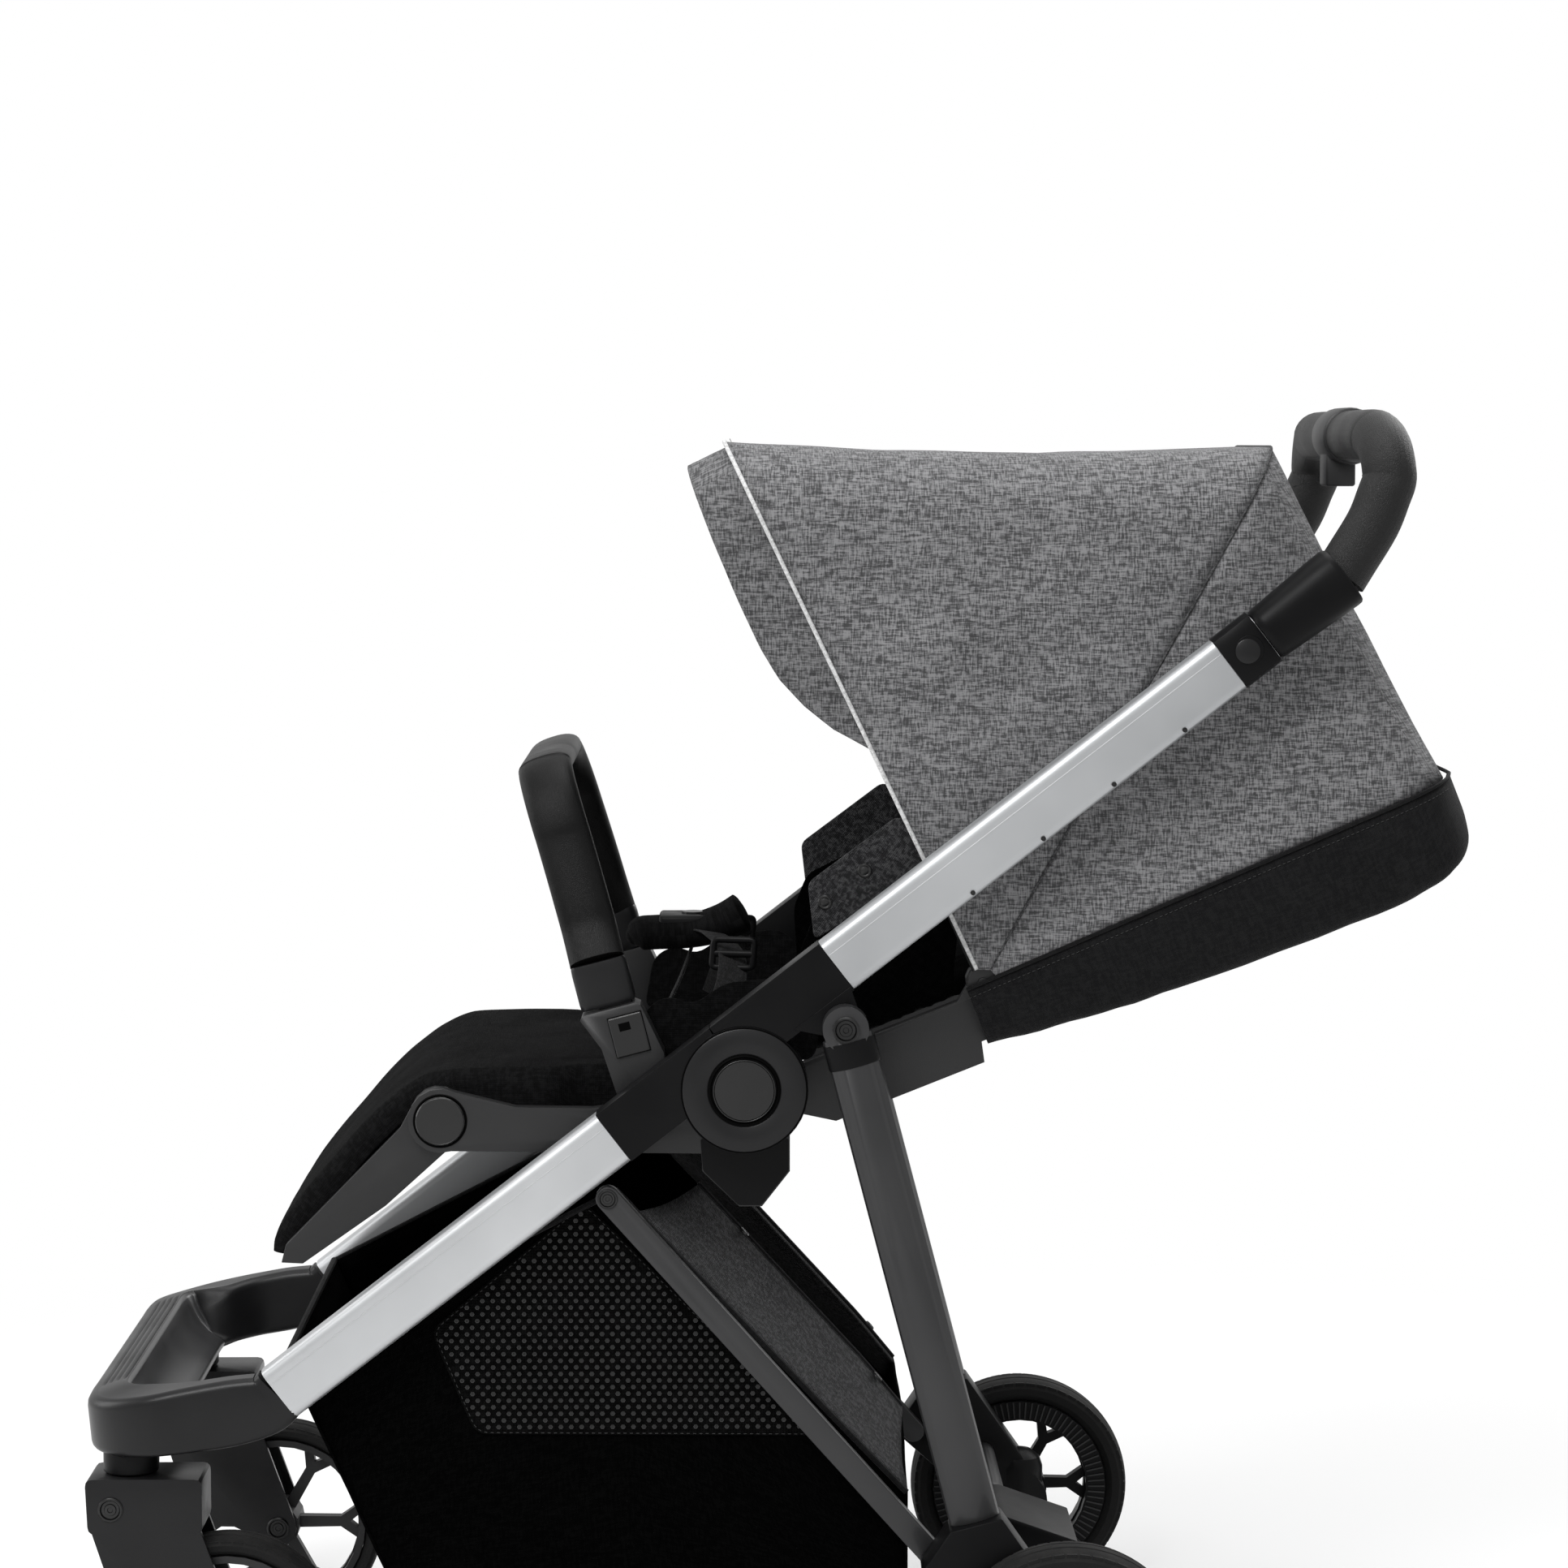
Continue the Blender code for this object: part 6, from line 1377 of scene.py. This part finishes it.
# Handle and grab bar
handlePlan = {"start": 0.5355, "plane": 0.215, "grip": 0.042, "sleeve": 0.051, "cover": 0.047,
              "middle": (0.497, 0.508), "straightHalf": 0.150, "corner": (0.0045, 0.055, 0.0341),
              "arm": [((0.4715, 0.4130), 0.2125), ((0.4881, 0.4401), 0.2105), ((0.4970, 0.4620), 0.2080)],
              "sleeveMarks": [(0, 0.80), (0.002, 0.86), (0.006, 0.88), (0.03, 0.93), (0.06, 0.985),
                              (0.072, 1.0), (0.0755, 0.99), (0.077, 0.94)],
              "coverMarks": [(0.034, 0.90), (0.033, 0.97), (0.030, 1.0)]}


def addHandle():
    # the grip is one swept tube; sleeves cover its ends and a plain sleeve its middle
    start, middle = handlePlan["start"], handlePlan["middle"]
    half = [onTube(start + 0.074, hub["tubeOffset"], handlePlan["plane"] - 0.001)]
    half += [at(point, y) for point, y in handlePlan["arm"]]
    out, over, rise = handlePlan["corner"]
    for k in range(7):
        a = pi / 2 * k / 6
        half.append(at((middle[0] + out * cos(a), middle[1] - rise + rise * sin(a)),
                       handlePlan["straightHalf"] + over * cos(a)))
    half.append(at(middle, handlePlan["straightHalf"] / 2))
    path = smoothLine(wholeLine(half, at(middle)), 5)
    grip = sweep("handleGrip", path, roundSection(handlePlan["grip"], handlePlan["grip"], 28), "gripLeather",
                 up=(0.615, 0, -0.789))
    for name, side in sides.items():
        line = [onTube(start + d, hub["tubeOffset"], side * handlePlan["plane"])
                for d, _ in handlePlan["sleeveMarks"]]
        sweep("handleSleeve_" + name, line, roundSection(handlePlan["sleeve"], handlePlan["sleeve"], 36, 2.6),
              "deepPlastic", "handle", up=(0, 1, 0), scales=[scale for _, scale in handlePlan["sleeveMarks"]])
        inner = [p for p in path if abs(p.y) > 0.03 and p.y * side > 0]
        below = []
        for k, p in enumerate(inner):
            tangent = (inner[min(k + 1, len(inner) - 1)] - inner[max(k - 1, 0)]).normalized()
            down = Vector((-0.5, 0, -0.85))
            down = (down - tangent * down.dot(tangent)).normalized()
            below.append(p + down * (handlePlan["grip"] / 2 + 0.00005))
        stitchRow("gripStitches_" + name, below, "blackThread", "handle", 0.0048, 1.2)
    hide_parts("handle_bar")
    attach(grip, "handle")
    marks = handlePlan["coverMarks"]
    marks = [(-y, scale) for y, scale in marks] + [(0.0, 1.0)] + marks[::-1]
    sweep("gripCover", [at(middle, y) for y, _ in marks],
          roundSection(handlePlan["cover"], handlePlan["cover"], 32), "blackPlastic", "handle", up=(0, 0, 1),
          scales=[scale for _, scale in marks])


grabPlan = {"lean": 14.5, "foot": (-0.1065, 0.060), "plane": 0.179, "topPlane": 0.148, "height": 0.199,
            "width": 0.044, "thick": 0.022, "corner": 0.055, "bend": 0.006, "buttonPlane": 0.2013,
            "end": [(0.0008, 0.95), (0.002, 0.985), (0.006, 1.0), (0.030, 1.0), (0.0345, 0.985),
                    (0.0365, 0.95)],
            "slot": (0.0004, 0.0032)}


def addGrabBar():
    # a padded loop on two tongues that slide into the sockets
    lean = radians(90 + grabPlan["lean"])
    slide = Vector((cos(lean), 0, sin(lean)))
    foot = grabPlan["foot"]
    inward = grabPlan["plane"] - grabPlan["topPlane"]
    height = grabPlan["height"] - grabPlan["thick"] / 2
    start = height - grabPlan["corner"]

    def station(y, rise):
        return at(foot, y) + slide * rise - Vector((grabPlan["bend"] * (rise / height) ** 2, 0, 0))
    half = [station(grabPlan["plane"], 0.036)]
    half += [station(grabPlan["plane"] - inward * share, start * share) for share in (0.45, 0.6, 0.8)]
    for k in range(9):
        a = pi / 2 * k / 8
        half.append(station(grabPlan["topPlane"] - grabPlan["corner"] + grabPlan["corner"] * cos(a),
                            start + grabPlan["corner"] * sin(a)))
    path = smoothLine(wholeLine(half, station(0.0, height)), 4)
    across = Vector((slide.z, 0, -slide.x))
    section = roundSection(grabPlan["thick"] + 0.0006, grabPlan["width"], 36, 2.5)
    grip = sweep("grabBarCover", path, section, "barCover", "grab_bar", up=across)
    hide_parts("grab_bar")
    for name, side in sides.items():
        low = [at(foot, side * grabPlan["plane"]) + slide * rise for rise, _ in grabPlan["end"]]
        sweep("barEnd_" + name, low, roundSection(0.0232, 0.0448, 32, 4.0), "satinPlastic", "grab_bar",
              up=across, scales=[scale for _, scale in grabPlan["end"]])
        plate = at(foot, side * grabPlan["buttonPlane"]) + slide * -0.0165 + across * 0.0088
        # the slot on each release button is a thin near-black bar: painted shade standing for the inside of a
        # slot
        sweep("buttonSlot_" + name, [plate - across * 0.0045, plate + across * 0.0045],
              roundedLoop(corners(*grabPlan["slot"]), 0.0002, 1), "recess", "grab_button_" + name,
              up=tuple(slide))
        tongue = [at(foot, side * grabPlan["plane"]) + across * 0.005 + slide * rise
                  for rise in (-0.036, -0.034, 0.002)]
        sweep("barTongue_" + name, tongue, roundSection(0.0150, 0.0260, 20, 8.0), "blackPlastic", "grab_bar",
              up=across, scales=[0.9, 1.0, 1.0])
    inner = []
    for k, p in enumerate(path[6:-6]):
        tangent = (path[k + 7] - path[k + 5]).normalized()
        outward = across.cross(tangent).normalized()
        inward = outward if (at((-0.15, 0.10)) - p).dot(outward) > 0 else -outward
        inner.append(p + inward * 0.0112)
    stitchRow("barStitches", inner, "blackThread", "grab_bar", 0.0048, 1.2)


addHandle()
addGrabBar()
print("handle and grab bar")


# Wheels
wheels = {
    "rear": {"centre": (0.251, -0.443), "plane": 0.290, "radius": 0.098, "inner": 0.0785, "width": 0.044,
             "blocks": 60, "blockLength": 0.0078, "body": "rear_wheel_", "node": "rear_tyre_", "ribs": 84,
             "ribRadius": 0.0700, "ribFace": 0.0180},
    "front": {"centre": (-0.410, -0.4505), "plane": 0.190, "radius": 0.0905, "inner": 0.0757, "width": 0.040,
              "blocks": 56, "blockLength": 0.0076, "body": "front_wheel_", "node": "front_tyre_", "ribs": 0}}


def tyreProfile(plan):
    deep, wide = plan["radius"] - plan["inner"], plan["width"] / 2
    points = [(0.0, -wide * 0.62), (deep * 0.30, -wide * 0.92), (deep * 0.62, -wide * 0.985),
              (deep * 0.84, -wide * 0.86), (deep * 0.95, -wide * 0.62), (deep * 0.985, -wide * 0.36),
              (deep * 0.955, -wide * 0.33), (deep * 0.955, -wide * 0.25), (deep * 0.995, -wide * 0.21),
              (deep * 0.997, 0.0)]
    points += [(d, -w) for d, w in reversed(points[:-1])]
    return [Vector((d - deep, w)) for d, w in points]


def addWheels():
    # tyres by their node tree, and thin ribs round the rear rims
    for kind, plan in wheels.items():
        for name, side in sides.items():
            profile = tyreProfile(plan)
            mesh = bpy.data.meshes.new(kind)
            mesh.from_pydata([(p.x, p.y, 0) for p in profile], [(k, (k + 1) % len(profile))
                                                               for k in range(len(profile))], [])
            place = Matrix.Translation(at(plan["centre"], side * plan["plane"]))
            stand = place @ Matrix.Rotation(pi / 2, 4, "X")
            values = {"Radius": plan["radius"], "Steps": 96, "Blocks": plan["blocks"],
                      "Block Length": plan["blockLength"], "Block Width": plan["width"] * 0.20,
                      "Block Height": 0.0024, "Block Offset": plan["width"] * 0.36,
                      "Block Radius": plan["radius"] - 0.0036}
            tyre = runTree(kind + "Tyre_" + name, mesh, trees["tyre"], values, "tyreRubber", None, stand)
            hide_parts(plan["node"] + name)
            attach(tyre, plan["body"] + name)
            if plan["ribs"]:
                points = []
                for k in range(plan["ribs"]):
                    a = 2 * pi * k / plan["ribs"]
                    out = Vector((cos(a), 0, sin(a)))
                    for face in (-1, 1):
                        points.append((at(plan["centre"], side * plan["plane"] + face * plan["ribFace"]) +
                                       out * plan["ribRadius"], (0, face, 0), out))
                partsOnPoints("rimRibs_" + name, "rib", points, "blackPlastic", plan["body"] + name)


addWheels()
print("wheels")


# Small fittings, foot bar, tubes and harness
def ring(name, centre, facing, radius, thick, finishName, body, steps=48):
    way = Vector((0, 0, 1)).rotation_difference(Vector(facing))
    path = [centre + way @ Vector((radius * cos(2 * pi * k / steps), radius * sin(2 * pi * k / steps), 0))
            for k in range(steps)]
    return sweep(name, path, roundSection(thick, thick, 8), finishName, body, up=facing, closed=True)


fittings = {
    # the two rings in the recess finish are near-black bands of painted shade for the gaps round the hub cap
    # and the hub boss; the thin glossy ring is a real rim
    "capRings": [(0.0268, 0.2306, 0.0030, "recess"), (0.0240, 0.2336, 0.0009, "glossPlastic"),
                 (0.0490, 0.2300, 0.0012, "recess")],
    "hubFace": [(0.0288, -0.0008), (0.0288, 0.0004), (0.0294, 0.0008), (0.0476, 0.0008), (0.0482, 0.0004),
                (0.0482, -0.0008), (0.0288, -0.0008)],
    "bolts": [("legBolts_", "rear_legs", (0.0785, 0.0505), 0.2542, 1.0),
              ("strutBolts_", "struts", (-0.107, -0.087), 0.2212, 0.75),
              ("forkBolts_", "caster_", (-0.410, -0.4505), None, 0.95)],
    # kneeGap_ is a near-black ring of painted shade in the gap round the knee button
    "kneeRings": [("kneeRing_", 0.1962, 0.0182, 0.0009, "glossPlastic"),
                  ("kneeGap_", 0.1936, 0.0206, 0.0016, "recess")],
    "disc": [(0.0, -0.0006), (0.0096, -0.0006), (0.0096, 0.0006), (0.0088, 0.0011), (0.0, 0.0011)],
    "discPlace": (0.3604, 0.2308, 0.8831), "forkPlane": 0.190, "forkHalf": 0.0285,
    "forkTop": (-0.499, -0.334), "detents": [0.235, 0.304, 0.373, 0.442]}


def facingPiece(name, profile, steps, place, side, finishName, body):
    # a turned shape that faces outward on its side
    shape = bmesh.new()
    lathed(profile, steps)(shape)
    bmesh.ops.remove_doubles(shape, verts=shape.verts, dist=0.00001)
    bmesh.ops.recalc_face_normals(shape, faces=shape.faces)
    outward = Matrix.Translation(place) @ Matrix.Rotation(-side * pi / 2, 4, "X")
    bmesh.ops.transform(shape, verts=shape.verts, matrix=outward)
    asPiece(name, shape, finishName, body)


def addFittings():
    # rings and discs on the joints, bolts and detent holes
    for name, side in sides.items():
        for k, (radius, plane, thick, look) in enumerate(fittings["capRings"]):
            ring("hubRing" + str(k) + "_" + name, at((0, 0), side * plane), (0, side, 0), radius, thick, look,
                 "chassis")
        facingPiece("hubFace_" + name, fittings["hubFace"], 72, at((0, 0), side * 0.2303), side,
                    "satinPlastic", "chassis")
        for label, plane, radius, thick, look in fittings["kneeRings"]:
            ring(label + name, at(hub["knee"], side * plane), (0, side, 0), radius, thick, look,
                 "leg_rest_button_" + name if label == "kneeRing_" else "chassis")
        x, y, z = fittings["discPlace"]
        facingPiece("collarDisc_" + name, fittings["disc"], 32, (x, side * y, z), side, "satinPlastic",
                    "upper_frame")
        for label, body, point, plane, size in fittings["bolts"]:
            if plane:
                spots = [(at(point, side * plane), (0, side, 0), (1, 0, 0))]
            else:
                body += name
                spots = [(at(spot, side * fittings["forkPlane"] + face * fittings["forkHalf"]), (0, face, 0),
                          (1, 0, 0))
                         for spot in (point, fittings["forkTop"]) for face in (-1, 1)]
            partsOnPoints(label + name, "bolt", spots, "steelBolt", body, size)
        # each detent hole is a dark glossy disc with a raised lip: its dark centre is painted shade in place
        # of a real hole
        partsOnPoints("detentHoles_" + name, "hole",
                      [(onTube(s, 0.0135, side * 0.2291), (0, side, 0), (1, 0, 0))
                       for s in fittings["detents"]],
                      "glossPlastic", "upper_frame", 1.0)


softened = [("caster_fork_", 0.0030, "satinPlastic"), ("foot_", 0.0025, "deepPlastic"),
            ("lower_hub_", 0.0016, "deepPlastic"), ("upper_hub_", 0.0016, "deepPlastic"),
            ("collar_", 0.0012, "deepPlastic"), ("rear_leg_", 0.0010, "darkLeg"),
            ("strut_", 0.0010, "darkLeg")]
softenedOnce = [("seat_frame", 0.0016, "blackPlastic"), ("leg_rest_frame", 0.0018, "blackPlastic"),
                ("backrest_frame", 0.0015, "blackPlastic"), ("brake_pedal", 0.0015, "deepPlastic"),
                ("handle_release", 0.0010, "blackPlastic"), ("harness_buckle", 0.0012, "deepPlastic")]


adapter = {"planes": (0.1938, 0.1947),
           "outline": [(-0.0345, -0.0440), (-0.0325, -0.0695), (-0.0045, -0.0970), (0.0135, -0.0970),
                       (0.0350, -0.0695), (0.0350, -0.0440)]}


def addSoftened():
    # the frame's plastic and metal pieces with soft edges, and a dark face over each seat bracket
    for start, width, look in softened:
        for name in sides:
            soften(start + name, width, look)
    for nodeName, width, look in softenedOnce:
        soften(nodeName, width, look)
    for name, side in sides.items():
        loop = roundedLoop(adapter["outline"], 0.002)
        shape = joinRings(bmesh.new(), [[at(p, side * y) for p in loop] for y in adapter["planes"]])
        bmesh.ops.recalc_face_normals(shape, faces=shape.faces)
        asPiece("adapterCover_" + name, shape, "deepPlastic", "chassis")


footBar = {"corner": 0.007,
           "stations": [((-0.3654, 0.2150, -0.2412), 0.0278, 0.0452, 0.0),
                        ((-0.3760, 0.2150, -0.2500), 0.028, 0.048, 0.0),
                        ((-0.4020, 0.2150, -0.2560), 0.028, 0.053, 0.0),
                        ((-0.4325, 0.2125, -0.2610), 0.0335, 0.052, 0.0),
                        ((-0.4575, 0.2053, -0.2650), 0.0484, 0.050, 0.1),
                        ((-0.4760, 0.1928, -0.2670), 0.060, 0.050, 0.5),
                        ((-0.4868, 0.1775, -0.2670), 0.066, 0.050, 0.9),
                        ((-0.4895, 0.1580, -0.2670), 0.066, 0.050, 1.0),
                        ((-0.4895, 0.1200, -0.2670), 0.066, 0.050, 1.0),
                        ((-0.4895, 0.0600, -0.2670), 0.066, 0.050, 1.0)],
           "grooves": (0.16, 0.40, 0.64, 0.88), "grooveWidth": 0.0014, "grooveDepth": 0.0026,
           "grooveEnd": 0.150, "wall": [(-0.0005, 0.0244), (0.0015, 0.0200), (0.0035, 0.0130),
                                        (0.0065, 0.0050), (0.0110, -0.0030),
                    (0.0165, -0.0095), (0.0225, -0.0145), (0.0290, -0.0180), (0.0318, -0.0215),
                    (0.0300, -0.0250)]}


def barSection(width, height, share, fade):
    # a rounded tube that turns into the tread, its grooves and its hollow rear wall
    w, h, r = width / 2, height / 2, footBar["corner"]

    def arc(x, z, start):
        return [Vector((x + r * cos(radians(start - 22.5 * k)), z + r * sin(radians(start - 22.5 * k))))
                for k in range(5)]
    count = 40
    plain = arc(-w + r, -h + r, 270) + arc(-w + r, h - r, 180)
    plain += [Vector((-w + r + (2 * w - 2 * r) * k / (count - 1), h)) for k in range(count)]
    plain += arc(w - r, h - r, 90) + arc(w - r, -h + r, 0)
    tread = arc(-w + r, -h + r, 270)
    tread += [Vector((-w + 0.009 * (1 - cos(pi / 2 * k / 4)), h - 0.015 + 0.010 * sin(pi / 2 * k / 4)))
              for k in range(5)]
    for k in range(count):
        t = k / (count - 1)
        x = -w + 0.009 + (w - 0.010) * t
        dip = sum(exp(-((t - g) * (w - 0.010) / footBar["grooveWidth"]) ** 2) for g in footBar["grooves"])
        tread.append(Vector((x, h - 0.005 * (1 - t) ** 1.5 - dip * footBar["grooveDepth"] * fade)))
    tread += [Vector(p) for p in footBar["wall"]]
    return [a.lerp(b, share) for a, b in zip(plain, tread)]


def addFootBar():
    # the tube, the tread and the tube again as one skin, a lighter sheet over its inner wall as painted
    # reflection, and two swivel sockets
    half = footBar["stations"]
    marks = [((x, -y, z), w, h, share) for (x, y, z), w, h, share in half]
    marks += [((half[-1][0][0], 0.0, half[-1][0][2]), *half[-1][1:])] + list(reversed(half))
    path = smoothLine([at((x, z), y) for (x, y, z), w, h, share in marks], 6)
    sizes = smoothLine([Vector((w, h, share)) for place, w, h, share in marks], 6)
    rings = []
    for point, (_, across, rise), (width, height, share) in zip(path, headings(path, (0, 0, 1)), sizes):
        fade = min(1.0, max(0.0, (footBar["grooveEnd"] + 0.012 - abs(point.y)) / 0.012))
        section = barSection(width, height, min(1.0, max(0.0, share)), fade)
        rings.append([point + across * a + rise * b for a, b in section])
    bar = skin("footBar", rings, "satinPlastic", "chassis", sharp=60)
    # a lighter sheet laid over the hollow rear wall paints the pale reflection it catches
    wall = [ring[50:59] for ring, size in zip(rings, sizes) if size[2] > 0.8]
    clothSheet("footBarWall", wall, 0.0008, "wallPlastic", "chassis", 0.0)
    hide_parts("foot_bar")
    for name, side in sides.items():
        turning = [(0.0, -0.3093), (0.0205, -0.3093), (0.0218, -0.3080), (0.0220, -0.3000), (0.0220, -0.2850),
                   (0.0, -0.2850)]
        shape = bmesh.new()
        lathed(turning, 40)(shape)
        bmesh.ops.translate(shape, verts=shape.verts, vec=at((-0.486, 0.0), side * 0.190))
        asPiece("swivelSocket_" + name, shape, "deepPlastic", "chassis")


tubes = {"lower_tube_": (-0.436, -0.104, "chassis"), "upper_tube_": (0.116, 0.500, "upper_frame"),
         "depth": 0.0455, "width": 0.028, "corner": 0.0085, "wall": 0.002, "plane": 0.215}


def addTubes():
    # four rounded tubes with their walls, and a fine light line along each outer edge
    w, d, n = tubes["width"] / 2, tubes["depth"] / 2, hub["tubeOffset"]
    outline = roundedLoop(corners(w, d), tubes["corner"], 7)
    across = sloped((0, 1), hub["frameAngle"])
    for start in ("lower_tube_", "upper_tube_"):
        low, high, body = tubes[start]
        for name, side in sides.items():
            rings = [[onTube(s, n, side * tubes["plane"] + a) + across * b for a, b in outline]
                     for s in (low, low + 0.0005, high - 0.0005, high)]
            # the upper tubes get a darker copy of the lower tubes' silver finish: painted shade, the metal is
            # the same
            look = "silverTube" if low < 0 else "greyTube"
            tube = skin(start.replace("_tube_", "Tube_") + name, rings, look, None, ends=False, sharp=30)
            edge = [onTube(s, n + d - 0.0122, side * (tubes["plane"] + w))
                    for s in (low + 0.001, high - 0.001)]
            sweep(start.replace("_tube_", "Line_") + name, edge, roundSection(0.0006, 0.0009, 8),
                  "silverTube", body, up=tuple(across))
            wall = tube.modifiers.new("wall", "SOLIDIFY")
            wall.thickness = tubes["wall"]
            wall.offset = -1
            settle(tube)
            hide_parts(start + name)
            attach(tube, body)


legCap = {"top": (0.0785, 0.0505), "bottom": (0.180, -0.337), "plane": 0.243, "width": 0.0234,
          "depth": 0.0414, "start": 0.010, "end": 0.030}


def addLegCaps():
    # a dark sleeve round the top of each rear leg
    top, bottom = Vector(legCap["top"]), Vector(legCap["bottom"])
    run = (bottom - top).normalized()
    for name, side in sides.items():
        line = [at(top + run * d, side * legCap["plane"]) for d in (legCap["start"], legCap["end"] - 0.0015,
                                                                  legCap["end"])]
        sweep("legCap_" + name, line, roundSection(legCap["width"], legCap["depth"], 32), "deepPlastic",
              "rear_legs", up=(-run.y, 0, run.x), scales=[1.0, 1.0, 0.97])


def strapPath(points):
    return smoothLine([at((x, z), y) for x, y, z in points], 6)


harness = {"waist": [(-0.030, 0.0245, 0.100), (-0.022, 0.044, 0.099), (-0.010, 0.066, 0.088),
                     (-0.010, 0.092, 0.068), (-0.018, 0.120, 0.044), (-0.024, 0.146, 0.024)],
           "waistFlat": (0.145, 0.025), "waistThick": 0.0020, "slider": (-0.0085, 0.0880),
           "sliderPlane": 0.0760, "sliderHalf": (0.0170, 0.0115), "sidePlane": 0.1626,
           "crotchFlat": (0.095, 0.030), "crotchThick": 0.0026,
           "side": [(-0.0860, 0.0110), (-0.0780, 0.0560), (-0.0600, 0.0660), (-0.0400, 0.0580),
                    (-0.0150, 0.0760), (0.0340, 0.0800), (0.0620, 0.0500), (0.0560, 0.0140)],
           "crotch": [(-0.068, 0, 0.0065), (-0.066, 0, 0.028), (-0.052, 0, 0.060), (-0.043, 0, 0.085),
                      (-0.042, 0, 0.0945)],
           "sleeve": [(-0.0930, 0, 0.0930), (-0.0860, 0, 0.0960), (-0.0720, 0, 0.0970), (-0.0420, 0, 0.0985),
                      (-0.0180, 0, 0.1050), (-0.0020, 0, 0.1130)],
           "sleeveSize": (0.058, 0.0270)}


def addStrap(name, path, flat, thick, up):
    strap = sweep(name, path, roundSection(flat[1], thick, 16, 6.0), "webbing", "chassis", up=up)
    return strap


def addHarness():
    # waist straps with sliders, the crotch strap, the padded sleeve and the cloth beside the seat
    for name, side in sides.items():
        line = strapPath([(x, side * y, z) for x, y, z in harness["waist"]])
        addStrap("waistStrap_" + name, line, harness["waistFlat"], harness["waistThick"], (0.2, 0, 0.98))
        centre = at(harness["slider"], side * harness["sliderPlane"])
        wide, tall = Vector((1, side * 0.25, 0)).normalized(), Vector((0.08, 0, 1)).normalized()
        loop = [centre + wide * a + tall * b for a, b in roundedLoop(corners(*harness["sliderHalf"]), 0.004)]
        facing = tuple(wide.cross(tall))
        sweep("strapSlider_" + name, loop, roundSection(0.0056, 0.0036, 10), "deepPlastic", "chassis",
              closed=True, up=facing)
        bar = [centre - wide * 0.0165, centre + wide * 0.0165]
        sweep("sliderBar_" + name, bar, roundSection(0.0060, 0.0034, 10), "deepPlastic", "chassis", up=facing)
        flatPanel("seatSide_" + name, roundedLoop(harness["side"], 0.010), side * harness["sidePlane"],
                  0.0014, "seatCloth", "chassis")
    strap = addStrap("crotchWebbing", strapPath(harness["crotch"]), harness["crotchFlat"],
                     harness["crotchThick"], (1, 0, 0))
    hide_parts("crotch_strap")
    cover = strapPath(harness["sleeve"])
    scales = [0.5 + 0.5 * sin(min(1.0, k / 8) * pi / 2) + 0.18 * max(0.0, (k - 18) / 12)
              for k in range(len(cover))]
    pad = roundedSweep("buckleSleeve", cover, roundSection(*harness["sleeveSize"], 28, 2.8), "seatCloth",
                       "chassis", up=(0, 0, 1), reach=0.004, scales=scales)


addFittings()
addSoftened()
addFootBar()
addTubes()
addLegCaps()
addHarness()
for part in smallParts.values():
    bpy.data.objects.remove(part)
print("fittings")
